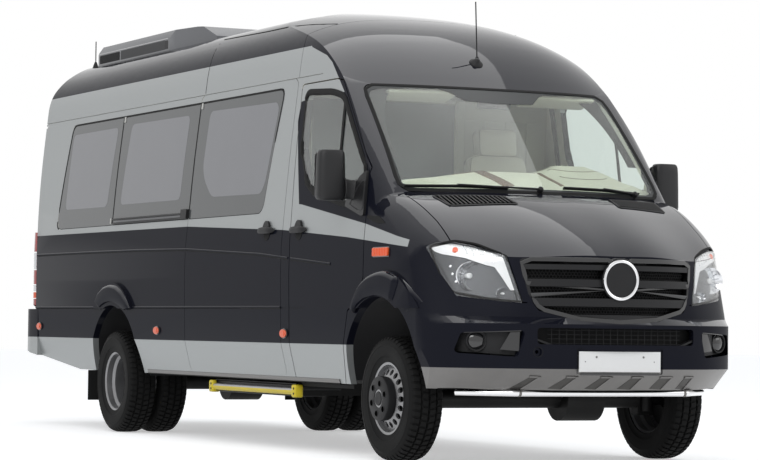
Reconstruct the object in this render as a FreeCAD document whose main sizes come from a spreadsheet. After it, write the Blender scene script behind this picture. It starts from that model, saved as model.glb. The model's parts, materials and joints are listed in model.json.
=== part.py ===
"""Minibus on a raised four-wheel-drive chassis, as separate pieces in millimetres.

Frame: +Z up, the nose points to -Y, the driver's side is +X and the side with
the sliding door is -X. The origin is on the ground, at the middle of the box
that bounds the vehicle. Every size below is kept in the sheet and is read or
bound from there. A table of shares holds fractions of named sizes.
"""

import math
import os

import FreeCAD
import Part
import Sketcher
from FreeCAD import Placement, Rotation, Vector

PARTS_FOLDER = "parts"

SIZES = {
    # Driving dimensions of the vehicle
    "overall_length": 7345,
    "front_overhang": 1000,
    "wheelbase": 4325,
    "cab_length": 1395,
    "body_half_width": 1000,
    "crown_height": 2790,
    # Heights of the body's lines
    "sill_height": 427,
    "skid_height": 545,
    "skirt_height": 657,
    "bumper_top_height": 790,
    "ledge_height": 828,
    "groove_height": 872,
    "lip_height": 1166,
    "crease_height": 1268,
    "belt_height": 1471,
    "cowl_height": 1545,
    "header_height": 2202,
    "gutter_height": 2290,
    # Walls, glass and gaps
    "wall_thickness": 45,
    "glass_thickness": 6,
    "seam_width": 5,
    "door_gap": 8,
    "panel_gap": 6,
    "seat_clearance": 0.3,
    "moving_clearance": 8,
    "windscreen_bow": 18,
    "seal_width": 20,
    "seal_depth": 12,
    "window_rebate": 16,
    "window_gap": 4,
    "divider_width": 14,
    "overrun": 30,
    # Floor and bulkhead
    "floor_height": 760,
    "floor_thickness": 50,
    "bulkhead_thickness": 30,
    "bulkhead_setback": 150,
    # Wheels and track
    "tyre_diameter": 714,
    "tyre_width": 205,
    "rim_flange_diameter": 440,
    "rim_seat_diameter": 404,
    "rim_width": 172,
    "disc_thickness": 10,
    "disc_bowl_depth": 46,
    "hub_diameter": 104,
    "hub_length": 96,
    "bowl_diameter": 220,
    "rim_window_diameter": 34,
    "rim_window_circle": 300,
    "rim_window_count": 18,
    "front_track": 1710,
    "front_disc_offset": 95,
    "twin_spacing": 236,
    "rear_disc_track": 1540,
    "kingpin_offset": 90,
    "kingpin_diameter": 24,
    "fork_length": 110,
    "fork_width": 70,
    "fork_half_height": 95,
    "fork_thickness": 20,
    # Arches and flares
    "arch_radius": 486,
    "front_arch_rise": 93,
    "front_arch_setback": 15,
    "rear_arch_rise": 50,
    "liner_thickness": 4,
    "liner_inner_offset": 520,
    "flare_proud": 22,
    "flare_foot_height": 870,
    "front_flare_radius": 528,
    "front_flare_height": 559,
    "front_flare_lead": 54,
    "rear_flare_radius": 475,
    "rear_flare_height": 581,
    "rear_flare_lead": 18,
    # Sliding door, windows and rear doors
    "sliding_door_length": 1575,
    "sliding_door_bottom": 445,
    "corner_radius": 60,
    "window_corner_radius": 90,
    "rear_door_bottom": 885,
    "rear_door_half_width": 886,
    "rear_glass_bottom": 1500,
    "rear_glass_top": 2130,
    "rear_glass_side_margin": 130,
    # Bumper, grille and lamps
    "slot_half_width": 499,
    "slot_height": 90,
    "grille_margin": 16,
    "badge_diameter": 200,
    "badge_height": 1035,
    "plate_width": 520,
    "plate_height": 112,
    "plate_thickness": 4,
    "plate_centre_height": 586,
    "plate_hole_pitch": 440,
    "plate_hole_diameter": 7,
    "skid_tube_diameter": 36,
    "tow_hole_diameter": 22,
    "tow_hole_depth": 60,
    "tow_hole_offset": 500,
    "tow_hole_height": 637,
    "tow_boss_diameter": 50,
    # Rear bumper and tail lamps
    "rear_bumper_bottom": 519,
    "rear_bumper_top": 869,
    "tail_lamp_bottom": 888,
    "tail_lamp_top": 1462,
    # Chassis
    "rail_offset": 430,
    "rail_width": 70,
    "rail_height": 120,
    "rail_bottom": 500,
    "rail_wall": 5,
    "cross_member_width": 90,
    "jack_pad_size": 90,
    "jack_pad_drop": 14,
    "axle_tube_diameter": 110,
    "axle_ball_diameter": 260,
    "axle_ball_length": 250,
    "spring_thickness": 48,
    "spring_width": 70,
    "spring_length": 1350,
    "propshaft_diameter": 80,
    "engine_length": 820,
    "engine_width": 560,
    "engine_height": 620,
    "engine_bottom": 560,
    "gearbox_length": 700,
    "gearbox_width": 300,
    "gearbox_height": 200,
    "fuel_tank_length": 900,
    "fuel_tank_width": 330,
    "fuel_tank_height": 260,
    "silencer_length": 700,
    "silencer_diameter": 220,
    "exhaust_pipe_diameter": 60,
    "mudflap_height": 330,
    "mudflap_bottom": 211,
    "mudflap_thickness": 8,
    # Step
    "step_length": 1376,
    "step_station": 1275,
    "step_inset": 55,
    "step_depth": 300,
    "step_thickness": 36,
    "step_bar_depth": 30,
    "step_bar_height": 82,
    "step_bottom": 336,
    "step_case_height": 75,
    # Mirrors
    "mirror_width": 165,
    "mirror_height": 292,
    "mirror_depth": 120,
    "mirror_outer": 1215,
    "mirror_bottom": 1492,
    "mirror_station": 400,
    "mirror_arm_height": 125,
    # Roof gear
    "roof_unit_length": 1840,
    "roof_unit_width": 1440,
    "roof_unit_top": 2855,
    "roof_unit_start": 3620,
    "antenna_length": 370,
    "antenna_lean": 4,
    "antenna_diameter": 8,
    "antenna_base_diameter": 60,
    # Inside
    "seat_width": 430,
    "seat_depth": 500,
    "seat_full_height": 1260,
    "headrest_width": 280,
    "seat_pitch": 780,
    "seat_rows": 5,
    "first_row_station": 1750,
    "cab_seat_station": 780,
    "dash_depth": 420,
    "dash_top": 1500,
    "dash_bottom": 1120,
    "steering_wheel_diameter": 390,
    "steering_wheel_rim": 30,
    "steering_wheel_height": 1540,
    "steering_wheel_station": 640,
    "steering_column_angle": 35,
    "steering_column_diameter": 60,
    "driver_offset": 460,
}


class Sizes:
    """The sheet of driving dimensions, read by name."""

    def __init__(self, doc, values):
        self.sheet = doc.addObject("Spreadsheet::Sheet", "Sizes")
        for row, (name, value) in enumerate(values.items(), start=1):
            self.sheet.set(f"A{row}", name)
            self.sheet.set(f"B{row}", str(value))
            self.sheet.setAlias(f"B{row}", name)
        doc.recompute()

    def __getattr__(self, name):
        return float(self.sheet.get(name))


doc = FreeCAD.newDocument("Minibus")
size = Sizes(doc, SIZES)
pieces = []

# Places that follow from the driving dimensions
half_length = size.overall_length / 2
front_axle = size.front_overhang - half_length
rear_axle = front_axle + size.wheelbase
rear_overhang = half_length - rear_axle
pillar_end = front_axle + size.cab_length
wheel_height = size.tyre_diameter / 2
sliding_door_end = pillar_end + size.sliding_door_length
roof_limit = size.crown_height + size.crown_height
side_limit = size.body_half_width + size.body_half_width

# Half widths of the body at its lines, as shares of the half width
SIDE_WIDTH_SHARES = (0.935, 0.991, 0.996, 1.0, 0.996, 0.978)
SHOULDER_SHARES = ((0.942, 0.663), (0.890, 0.8208), (0.862, 0.889), (0.815, 0.934), (0.700, 0.9677))
SECTION_CROWN_SHARE = 1.02
BULGE_SHARE = 0.47

# Lengthwise slices of the body, from the middle to the side. Shares of: half
# width; front overhang for the bumper, ledge, lip and cowl; lip height; cowl
# height; cab length and crown height for the header; crown height; rear
# overhang; bumper depth for the skid's foot.
SLICE_SHARES = (
    (0.000, -1.000, -0.985, -0.967, 1.000, -0.170, 1.000, 0.393, 0.7892, 1.0000, 0.9590, 0.86),
    (0.340, -0.976, -0.935, -0.925, 0.997, -0.135, 1.000, 0.404, 0.7895, 0.9957, 0.9570, 0.84),
    (0.609, -0.905, -0.835, -0.780, 0.992, -0.060, 0.998, 0.430, 0.7900, 0.9803, 0.9505, 0.80),
    (0.743, -0.830, -0.760, -0.690, 1.005, -0.015, 0.996, 0.453, 0.7900, 0.9642, 0.9420, 0.76),
    (0.858, -0.735, -0.672, -0.590, 1.025, 0.016, 0.993, 0.482, 0.7900, 0.9427, 0.9230, 0.72),
    (0.941, -0.615, -0.585, -0.465, 1.045, 0.060, 0.975, 0.5125, 0.7885, 0.9176, 0.8910, 0.70),
    (0.979, -0.530, -0.515, -0.400, 1.020, 0.110, 0.940, 0.545, 0.7850, 0.9050, 0.8540, 0.68),
    (1.030, -0.360, -0.350, -0.300, 0.950, 0.190, 0.880, 0.590, 0.7780, 0.8850, 0.8000, 0.66),
)
HOOD_RISE_SHARES = ((0.12, 0.20), (0.35, 0.49), (0.62, 0.757), (0.86, 0.93))
FOREHEAD_SHARES = ((0.133, 0.308), (0.26, 0.532), (0.396, 0.694), (0.577, 0.83), (0.793, 0.932))
FOREHEAD_END_SHARE = 1.434
REAR_ROOF_SHARES = ((-0.165, 0.986), (-0.10, 0.970), (-0.0535, 0.950), (-0.03, 0.915))
ROOF_DROP_SHARE = 0.278
REAR_KINK_SHARE = 0.466


# Helpers for curves, outlines and prisms


def scaled(shares, length, height, start=0.0):
    """Turns (share, share) pairs into (place, height) pairs."""
    return [(start + u * length, v * height) for u, v in shares]


def rounded_wire(points, radius):
    """Closed wire through 3-D points, its corners rounded by tangent arcs."""
    count = len(points)
    radii = radius if isinstance(radius, (list, tuple)) else [radius] * count
    starts = []
    ends = []
    arcs = []
    for i, corner in enumerate(points):
        before = points[i - 1] - corner
        after = points[(i + 1) % count] - corner
        turn = before.getAngle(after)
        if radii[i] <= 0 or abs(turn - math.pi) < 0.01:
            starts.append(corner)
            ends.append(corner)
            arcs.append(None)
            continue
        reach = min(radii[i] / math.tan(turn / 2), before.Length * 0.48, after.Length * 0.48)
        inner = before.normalize()
        outer = after.normalize()
        first = corner + inner * reach
        last = corner + outer * reach
        bend = reach * math.tan(turn / 2)
        middle_way = (inner + outer).normalize()
        middle = corner + middle_way * (bend / math.sin(turn / 2) - bend)
        starts.append(first)
        ends.append(last)
        arcs.append(Part.Arc(first, middle, last).toShape())
    edges = []
    for i in range(count):
        if arcs[i]:
            edges.append(arcs[i])
        following = starts[(i + 1) % count]
        if ends[i].distanceToPoint(following) > size.seat_clearance / 10:
            edges.append(Part.makeLine(ends[i], following))
    return Part.Wire(Part.__sortEdges__(edges))


def prism_yz(points, x_from, x_to, radius=0):
    """Outline of (y, z) points, extruded along X."""
    wire = rounded_wire([Vector(x_from, y, z) for y, z in points], radius)
    return Part.Face(wire).extrude(Vector(x_to - x_from, 0, 0))


def prism_xz(points, y_from, y_to, radius=0):
    """Outline of (x, z) points, extruded along Y."""
    wire = rounded_wire([Vector(x, y_from, z) for x, z in points], radius)
    return Part.Face(wire).extrude(Vector(0, y_to - y_from, 0))


def prism_xy(points, z_from, z_to, radius=0):
    """Outline of (x, y) points, extruded along Z."""
    wire = rounded_wire([Vector(x, y, z_from) for x, y in points], radius)
    return Part.Face(wire).extrude(Vector(0, 0, z_to - z_from))


def block(x_from, x_to, y_from, y_to, z_from, z_to):
    """Box between two corners."""
    corner = Vector(min(x_from, x_to), min(y_from, y_to), min(z_from, z_to))
    return Part.makeBox(abs(x_to - x_from), abs(y_to - y_from), abs(z_to - z_from), corner)


def grown(points, distance):
    """Outline of 2-D points moved outwards by a distance (inwards if negative)."""
    area = sum(a[0] * b[1] - b[0] * a[1] for a, b in zip(points, points[1:] + points[:1]))
    side = distance if area > 0 else -distance
    moved = []
    for i, (px, py) in enumerate(points):
        ax, ay = points[i - 1]
        bx, by = points[(i + 1) % len(points)]
        first = Vector(px - ax, py - ay, 0).normalize()
        second = Vector(bx - px, by - py, 0).normalize()
        normal = Vector(first.y, -first.x, 0) + Vector(second.y, -second.x, 0)
        normal = normal * (side / normal.dot(Vector(first.y, -first.x, 0)))
        moved.append((px + normal.x, py + normal.y))
    return moved


def mirrored(shape):
    """Copy of a shape on the vehicle's other side."""
    return shape.mirror(Vector(0, 0, 0), Vector(1, 0, 0))


def tube_path(points, radius):
    """Open wire of straight runs joined by tangent arcs."""
    edges = []
    start = points[0]
    for before, corner, after in zip(points, points[1:], points[2:]):
        inward = before - corner
        outward = after - corner
        turn = inward.getAngle(outward)
        reach = radius / math.tan(turn / 2)
        inward.normalize()
        outward.normalize()
        first = corner + inward * reach
        last = corner + outward * reach
        middle_way = (inward + outward).normalize()
        middle = corner + middle_way * (radius / math.sin(turn / 2) - radius)
        edges.append(Part.makeLine(start, first))
        edges.append(Part.Arc(first, middle, last).toShape())
        start = last
    edges.append(Part.makeLine(start, points[-1]))
    return Part.Wire(edges)


def tube(points, diameter, bend_radius):
    """Solid round bar along straight runs and arcs."""
    path = tube_path(points, bend_radius)
    circle = Part.makeCircle(diameter / 2, points[0], points[1] - points[0])
    return path.makePipeShell([Part.Wire(circle)], True, True)


def sheet_piece(label, shape):
    """Stores a shape that is worked out from the sheet as a named piece."""
    holder = doc.addObject("Part::Feature", label)
    holder.Label = label
    holder.Shape = shape
    pieces.append(holder)
    return holder


def bind(obj, **expressions):
    """Binds properties to expressions of the sheet; two underscores mean a dot."""
    for prop, expression in expressions.items():
        obj.setExpression(prop.replace("__", "."), expression)


def place(obj, along_x="0", along_y="0", along_z="0"):
    """Binds a placement's base to three expressions."""
    bind(obj, Placement__Base__x=along_x, Placement__Base__y=along_y, Placement__Base__z=along_z)


def bound_box(name, length, width, height, at):
    """Part::Box with its sizes and its corner bound to the sheet."""
    box = doc.addObject("Part::Box", name)
    bind(box, Length=length, Width=width, Height=height)
    place(box, *at)
    return box


def bound_cylinder(name, radius, height, at, rotation):
    """Part::Cylinder with its sizes and its centre bound to the sheet."""
    cylinder = doc.addObject("Part::Cylinder", name)
    cylinder.Placement = Placement(Vector(0, 0, 0), rotation)
    bind(cylinder, Radius=radius, Height=height)
    place(cylinder, *at)
    return cylinder


def fused(label, parts):
    """Part::MultiFuse of several objects, as a named piece."""
    union = doc.addObject("Part::MultiFuse", label)
    union.Label = label
    union.Shapes = parts
    pieces.append(union)
    return union


FRONT_Y = "(Sizes.front_overhang - Sizes.overall_length / 2)"
REAR_Y = "(Sizes.front_overhang + Sizes.wheelbase - Sizes.overall_length / 2)"
ALONG_X = Rotation(Vector(0, 1, 0), 90)
ALONG_Y = Rotation(Vector(1, 0, 0), -90)


# Body skin: lengthwise slices lofted across the width, trimmed by the section


def inset_slice(points, distance):
    """Moves a closed slice inwards along its corners' bisectors."""
    moved = []
    count = len(points)
    for i, corner in enumerate(points):
        first = (corner - points[i - 1]).normalize()
        second = (points[(i + 1) % count] - corner).normalize()
        normal = Vector(0, -first.z, first.y)
        other = Vector(0, -second.z, second.y)
        bisector = (normal + other) * (1 / (1 + normal.dot(other)))
        moved.append(corner - bisector * distance)
    return moved


def slice_runs(row, distance):
    """One lengthwise slice as runs of points, anticlockwise from the skid."""
    (_, bumper, ledge, lip, lip_rise, cowl, cowl_rise, header, header_rise, roof, rear, skid) = row
    nose = size.front_overhang
    low = size.sill_height - size.overrun - 2 * max(distance, 0)
    roof_height = size.crown_height * roof
    back = rear_axle + rear * rear_overhang

    def point(y, z):
        return Vector(0, y, z)

    foot = point(front_axle + bumper * skid * nose, low)
    skid_top = point(front_axle + bumper * nose, size.skid_height)
    bumper_top = point(front_axle + bumper * nose, size.bumper_top_height)
    ledge_point = point(front_axle + ledge * nose, size.ledge_height)
    lip_point = point(front_axle + lip * nose, size.lip_height * lip_rise)
    cowl_point = point(front_axle + cowl * nose, size.cowl_height * cowl_rise)
    head = point(front_axle + header * size.cab_length, size.crown_height * header_rise)
    roof_start = point(front_axle + FOREHEAD_END_SHARE * size.cab_length, roof_height)
    roof_end = point(back - ROOF_DROP_SHARE * rear_overhang, roof_height)
    glass_normal = Vector(0, cowl_point.z - head.z, head.y - cowl_point.y).normalize()
    bowed = (cowl_point + head) * 0.5 + glass_normal * size.windscreen_bow
    hood = [lip_point]
    for run, rise in HOOD_RISE_SHARES:
        step = cowl_point - lip_point
        hood.append(point(lip_point.y + run * step.y, lip_point.z + rise * step.z))
    forehead = [head]
    for run, rise in FOREHEAD_SHARES:
        step = roof_start - head
        forehead.append(point(head.y + run * step.y, head.z + rise * step.z))
    tail = [roof_end]
    for run, rise in REAR_ROOF_SHARES:
        tail.append(point(back + run * rear_overhang, roof_height * rise))
    runs = [
        [foot], [skid_top], [bumper_top], [ledge_point], hood, [cowl_point, bowed],
        forehead, [roof_start], tail[:-1], tail[-1:],
        [point(back, size.crown_height * REAR_KINK_SHARE)], [point(back, low)],
    ]
    flat = [p for run in runs for p in run]
    if distance:
        flat = inset_slice(flat, distance)
    result = []
    index = 0
    for run in runs:
        ends = flat[index:index + len(run)] + [flat[(index + len(run)) % len(flat)]]
        result.append(ends)
        index += len(run)
    return result


def slice_wire(row, side, distance):
    """Closed wire of one slice at its place across the width."""
    across = Vector(side * row[0] * size.body_half_width, 0, 0)
    edges = []
    for run in slice_runs(row, distance):
        run = [p + across for p in run]
        if len(run) == 2:
            edges.append(Part.makeLine(*run))
        else:
            curve = Part.BSplineCurve()
            curve.interpolate(run)
            edges.append(curve.toShape())
    return Part.Wire(edges)


def section_prism(distance):
    """Cross-section of the body, extruded over its length."""
    start = -size.overall_length
    bulge_height = size.crease_height * (1 - BULGE_SHARE) + size.groove_height * BULGE_SHARE
    bottom = size.sill_height if distance <= 0 else size.sill_height - size.overrun
    heights = (
        bottom, size.skirt_height, size.groove_height,
        bulge_height, size.crease_height, size.belt_height,
    )
    low = []
    for share, height in zip(SIDE_WIDTH_SHARES, heights):
        low.append(Vector(distance - share * size.body_half_width, start, height))
    shoulder = [low[-1]]
    for share, rise in SHOULDER_SHARES:
        shoulder.append(Vector(distance - share * size.body_half_width, start, rise * size.crown_height))
    curve = Part.BSplineCurve()
    curve.interpolate(shoulder)
    crown = Vector(0, start, SECTION_CROWN_SHARE * size.crown_height)
    edges = [Part.makeLine(a, b) for a, b in zip(low, low[1:])]
    edges.append(curve.toShape())
    edges.append(Part.makeLine(shoulder[-1], crown))
    other = [mirrored(edge) for edge in edges]
    sill = Part.makeLine(low[0], Vector(-low[0].x, low[0].y, low[0].z))
    wire = Part.Wire(Part.__sortEdges__(edges + other + [sill]))
    return Part.Face(wire).extrude(Vector(0, 2 * size.overall_length, 0))


def body_solid(distance):
    """The body's outer form, moved inwards by a distance."""
    wires = [slice_wire(row, -1, distance) for row in reversed(SLICE_SHARES[1:])]
    wires += [slice_wire(row, 1, distance) for row in SLICE_SHARES]
    loft = Part.makeLoft(wires, True, False, False)
    return loft.common(section_prism(distance))


outer_form = body_solid(0)
glass_form = body_solid(size.glass_thickness)
inner_form = body_solid(size.wall_thickness)
deep_form = body_solid(size.wall_thickness + size.seal_depth)
flare_form = body_solid(-size.flare_proud)
glass_skin = outer_form.cut(glass_form)

# The near side and the far side of a prism that crosses one wall
right = -side_limit
left = side_limit
nose_start = -size.overall_length

# Wheel arches: an opening, a crescent flare round it and a liner behind it


def disc_yz(radius, y, z, x_from, x_to):
    """Round bar along X."""
    start = Vector(x_from, y, z)
    return Part.makeCylinder(radius, x_to - x_from, start, Vector(1, 0, 0))


front_arch = (front_axle + size.front_arch_setback, wheel_height + size.front_arch_rise)
rear_arch = (rear_axle, wheel_height + size.rear_arch_rise)
front_flare = (front_axle - size.front_flare_lead, size.front_flare_height, size.front_flare_radius)
rear_flare = (rear_axle - size.rear_flare_lead, size.rear_flare_height, size.rear_flare_radius)


def flare(y, z, radius):
    """Crescent that stands proud of the body round a wheel arch, on both sides."""
    disc = disc_yz(radius, y, z, right, left)
    keep = block(right, left, nose_start, -nose_start, size.flare_foot_height, size.crown_height)
    return disc.common(keep).common(flare_form).cut(inner_form)


arches = [disc_yz(size.arch_radius, y, z, right, left) for y, z in (front_arch, rear_arch)]
skin = outer_form.cut(inner_form)
skin = skin.fuse([flare(*front_flare), flare(*rear_flare)]).cut(arches)

# The lower edge rises behind the rear wheel: shares of rear overhang and sill height
TAIL_RISE_SHARES = ((0.400, 0.995), (0.804, 1.2155), (1.10, 1.376), (1.10, 0.0), (0.400, 0.0))
below_tail = prism_yz(
    scaled(TAIL_RISE_SHARES, rear_overhang, size.sill_height, rear_axle), right, left)
skin = skin.cut(below_tail)

# Outlines seen from the side, as shares of cab length and crown height
FRONT_DOOR_SHARES = (
    (0.159, 0.5018), (0.159, 0.374), (0.272, 0.3130), (0.312, 0.3080), (0.412, 0.1430),
    (0.910, 0.1430), (0.910, 0.4348), (0.953, 0.804), (0.591, 0.804), (0.526, 0.7985),
    (0.159, 0.6029),
)
DOOR_GLASS_SHARES = (
    (0.190, 0.5960), (0.240, 0.5340), (0.373, 0.5300), (0.697, 0.5606), (0.790, 0.5850),
    (0.885, 0.6600), (0.897, 0.7885), (0.624, 0.7780), (0.498, 0.7640),
)
front_door = scaled(FRONT_DOOR_SHARES, size.cab_length, size.crown_height, front_axle)
door_glass = scaled(DOOR_GLASS_SHARES, size.cab_length, size.crown_height, front_axle)
sliding_door = [
    (pillar_end, size.sliding_door_bottom), (sliding_door_end, size.sliding_door_bottom),
    (sliding_door_end, size.gutter_height), (pillar_end, size.gutter_height),
]

# Side windows: lengths as shares of the wheelbase behind the front axle
WINDOW_TOP_SHARE = 0.8022
WINDOW_BOTTOM_SHARE = 0.5251
WINDOW_FRONT_SHARES = (0.3669, 0.4012)
WINDOW_REAR_SHARES = (1.2671, 1.2969)
DIVIDER_SHARES = (0.6858, 1.0208)
window_top = WINDOW_TOP_SHARE * size.crown_height
window_bottom = WINDOW_BOTTOM_SHARE * size.crown_height
window_front = [front_axle + s * size.wheelbase for s in WINDOW_FRONT_SHARES]
window_rear = [front_axle + s * size.wheelbase for s in WINDOW_REAR_SHARES]
dividers = [front_axle + s * size.wheelbase for s in DIVIDER_SHARES]


def window_outline(number):
    """Outline of one of the three side windows and the radii of its corners."""
    gap = size.divider_width / 2
    corner = size.window_corner_radius
    edge = size.window_gap
    first = [dividers[0] + gap] * 2
    last = [dividers[1] - gap] * 2
    radii = [edge] * 4
    if number == 0:
        first = window_front
        last = [dividers[0] - gap] * 2
        radii = [corner, edge, edge, corner / 2]
    elif number == 2:
        first = [dividers[1] + gap] * 2
        last = window_rear
        radii = [edge, corner, corner / 2, edge]
    points = [
        (first[1], window_bottom), (last[1], window_bottom),
        (last[0], window_top), (first[0], window_top),
    ]
    return points, radii


def window_cut(points, radii, prism, near, far):
    """What a flush window takes from the wall: a rebate and a hole."""
    margin = size.window_rebate
    rebate = prism(grown(points, size.window_gap), near, far, radii)
    smaller = [max(r - margin, size.window_gap) for r in radii]
    hole = prism(grown(points, -margin), near, far, smaller)
    return rebate.common(glass_skin).fuse(hole)


def window_pane(points, radii, prism, near, far):
    """The flush pane that lies in the rebate."""
    return prism(points, near, far, radii).common(glass_skin)


side_windows = [window_outline(n) for n in range(3)]
side_cuts = [window_cut(p, r, prism_yz, right, 0) for p, r in side_windows]
side_panes = [window_pane(p, r, prism_yz, right, 0) for p, r in side_windows]

door_radius = size.corner_radius / 2
door_hole = prism_yz(grown(front_door, size.door_gap / 2), right, 0, door_radius)
door_form = prism_yz(grown(front_door, -size.door_gap / 2), right, 0, door_radius)
glass_radii = [door_radius] * len(door_glass)
door_cut = window_cut(door_glass, glass_radii, prism_yz, right, 0)
door_pane = window_pane(door_glass, glass_radii, prism_yz, right, 0)
sliding_form = prism_yz(sliding_door, right, 0, size.corner_radius)

# Outlines of the nose: widths as shares of the half width, lengths as shares
# of the front overhang and heights as shares of the crown height
BONNET_PLAN_SHARES = (
    (0.0, -1.2), (0.830, -1.2), (0.845, -0.40), (0.872, -0.075),
    (0.743, -0.080), (0.609, -0.118), (0.340, -0.190), (0.0, -0.222),
)
BUMPER_LINE_SHARES = (
    (-1.2, 0.3235), (-0.85, 0.3235), (-0.66, 0.336), (-0.437, 0.336), (-0.437, 0.1), (-1.2, 0.1),
)
LAMP_SHARES = (
    (0.609, 0.4160), (0.530, 0.3000), (0.790, 0.3000), (0.858, 0.3420), (0.903, 0.3790),
    (0.946, 0.4345), (0.900, 0.4435), (0.831, 0.4440), (0.740, 0.4360), (0.660, 0.4250),
)
GRILLE_SHARES = (
    (0.551, 0.4120), (0.514, 0.3420), (0.462, 0.3110), (0.250, 0.2920), (0.0, 0.2860),
    (-0.250, 0.2920), (-0.462, 0.3110), (-0.514, 0.3420), (-0.551, 0.4120),
)
WINDSCREEN_SHARES = ((0.868, 0.5535), (-0.868, 0.5535), (-0.818, 0.7885), (0.818, 0.7885))
WINDSCREEN_REAR_SHARE = 0.60
LAMP_REAR_SHARE = -0.38

bonnet_side = [(x, front_axle + y) for x, y in scaled(
    BONNET_PLAN_SHARES, size.body_half_width, size.front_overhang)]
bonnet_plan = bonnet_side + [(-x, y) for x, y in reversed(bonnet_side) if x]
bumper_line = scaled(BUMPER_LINE_SHARES, size.front_overhang, size.crown_height, front_axle)
lamp_outline = scaled(LAMP_SHARES, -size.body_half_width, size.crown_height)
grille_outline = scaled(GRILLE_SHARES, size.body_half_width, size.crown_height)
windscreen_outline = scaled(WINDSCREEN_SHARES, size.body_half_width, size.crown_height)
lamp_rear = front_axle + LAMP_REAR_SHARE * size.front_overhang
windscreen_rear = front_axle + WINDSCREEN_REAR_SHARE * size.cab_length

lamp_radius = size.corner_radius / 3


def lamp_prism(growth):
    """Prism of both headlamps' outline, grown by a distance."""
    one = prism_xz(grown(lamp_outline, growth), nose_start, lamp_rear, lamp_radius)
    return one.fuse(mirrored(one))


lamp_form = lamp_prism(0)
grille_form = prism_xz(grille_outline, nose_start, front_axle, lamp_radius)
grille_clear = prism_xz(grown(grille_outline, size.panel_gap), nose_start, front_axle, lamp_radius)
bumper_form = prism_yz(bumper_line, right, left)
bumper_clear = prism_yz(grown(bumper_line, size.panel_gap), right, left)
bonnet_hole = prism_xy(bonnet_plan, size.ledge_height, size.header_height)
bonnet_form = prism_xy(grown(bonnet_plan, -size.panel_gap), size.ledge_height, size.header_height)
screen_radius = size.corner_radius
screen_radii = [screen_radius] * len(windscreen_outline)
screen_cut = window_cut(windscreen_outline, screen_radii, prism_xz, nose_start, windscreen_rear)
screen_pane = window_pane(windscreen_outline, screen_radii, prism_xz, nose_start, windscreen_rear)

# Zones of the shell seen from the side: each point is a share of the cab
# length behind the front axle and a share of the crown height
CAP_ZONE_SHARES = ((0.30, 0.7905), (0.46, 0.7905), (0.60, 0.8208), (1.0, 0.8208), (1.0, 1.1), (0.3, 1.1))
FENDER_ZONE_SHARES = (
    (-1.0, 0.1), (0.43, 0.1), (0.43, 0.33), (0.17, 0.40), (0.17, 0.503), (-0.02, 0.548), (-1.0, 0.548),
)
SIDE_ZONE_START_SHARE = 0.75
cap_zone = prism_yz(scaled(CAP_ZONE_SHARES, size.cab_length, size.crown_height, front_axle), right, left)
fender_zone = prism_yz(
    scaled(FENDER_ZONE_SHARES, size.cab_length, size.crown_height, front_axle), right, left)
side_start = front_axle + SIDE_ZONE_START_SHARE * size.cab_length
side_zone = block(right, 0, side_start, size.overall_length, 0, size.gutter_height)
roof_zone = block(right, left, pillar_end, size.overall_length, size.gutter_height, roof_limit)

# Rear doors and tail lamps
rear_wall_start = rear_axle + rear_overhang * 0.86
rear_door_top = size.gutter_height - size.door_gap
rear_opening = [
    (size.rear_door_half_width, size.rear_door_bottom), (size.rear_door_half_width, rear_door_top),
    (-size.rear_door_half_width, rear_door_top), (-size.rear_door_half_width, size.rear_door_bottom),
]
rear_end = size.overall_length
rear_hole = prism_xz(grown(rear_opening, size.door_gap), rear_wall_start, rear_end, door_radius)
rear_leaf = [
    (-size.door_gap / 2, size.rear_door_bottom), (-size.door_gap / 2, rear_door_top),
    (-size.rear_door_half_width, rear_door_top), (-size.rear_door_half_width, size.rear_door_bottom),
]
rear_glass = [
    (-size.rear_glass_side_margin / 2, size.rear_glass_bottom),
    (-size.rear_glass_side_margin / 2, size.rear_glass_top),
    (-size.rear_door_half_width + size.rear_glass_side_margin, size.rear_glass_top),
    (-size.rear_door_half_width + size.rear_glass_side_margin, size.rear_glass_bottom),
]
rear_radii = [door_radius] * len(rear_glass)
leaf_form = prism_xz(rear_leaf, rear_wall_start, rear_end, [0, 0, door_radius, door_radius])
leaf_cut = window_cut(rear_glass, rear_radii, prism_xz, rear_wall_start, rear_end)
leaf_pane = window_pane(rear_glass, rear_radii, prism_xz, rear_wall_start, rear_end)

TAIL_LAMP_REAR_SHARE = 0.85
tail_lamp_start = rear_axle + TAIL_LAMP_REAR_SHARE * rear_overhang
tail_lamp_edge = size.rear_door_half_width + size.door_gap + size.door_gap
tail_form = block(
    right, -tail_lamp_edge, tail_lamp_start, rear_end, size.tail_lamp_bottom, size.tail_lamp_top)
tail_form = tail_form.fuse(mirrored(tail_form))

# Rear bumper: an outline seen from above, shares of half width and overhang
REAR_BUMPER_SHARES = (
    (0.997, 0.805), (1.003, 0.880), (0.985, 0.934), (0.940, 0.971), (0.700, 0.993), (0.0, 1.0),
)
bumper_plan = [(x, rear_axle + y) for x, y in scaled(
    REAR_BUMPER_SHARES, size.body_half_width, rear_overhang)]
bumper_plan = bumper_plan + [(-x, y) for x, y in reversed(bumper_plan) if x]
rear_bumper_form = prism_xy(bumper_plan, size.rear_bumper_bottom, size.rear_bumper_top)
rear_bumper_hollow = prism_xy(
    grown(bumper_plan, -size.wall_thickness), size.rear_bumper_bottom,
    size.rear_bumper_top - size.bulkhead_thickness)
rear_bumper_mouth = block(
    -size.rear_door_half_width, size.rear_door_half_width, bumper_plan[0][1],
    bumper_plan[0][1] + size.wall_thickness + size.seam_width, size.rear_bumper_bottom,
    size.rear_bumper_top - size.bulkhead_thickness)
rear_bumper_hollow = rear_bumper_hollow.fuse(rear_bumper_mouth)

# The body's rear wall starts at the bumper, which has nothing below it
under_bumper = block(
    right, left, rear_axle + REAR_BUMPER_SHARES[0][1] * rear_overhang, rear_end, 0,
    size.rear_bumper_top)

# Fine grooves where fixed panels meet
seam = size.seam_width / 2


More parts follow.
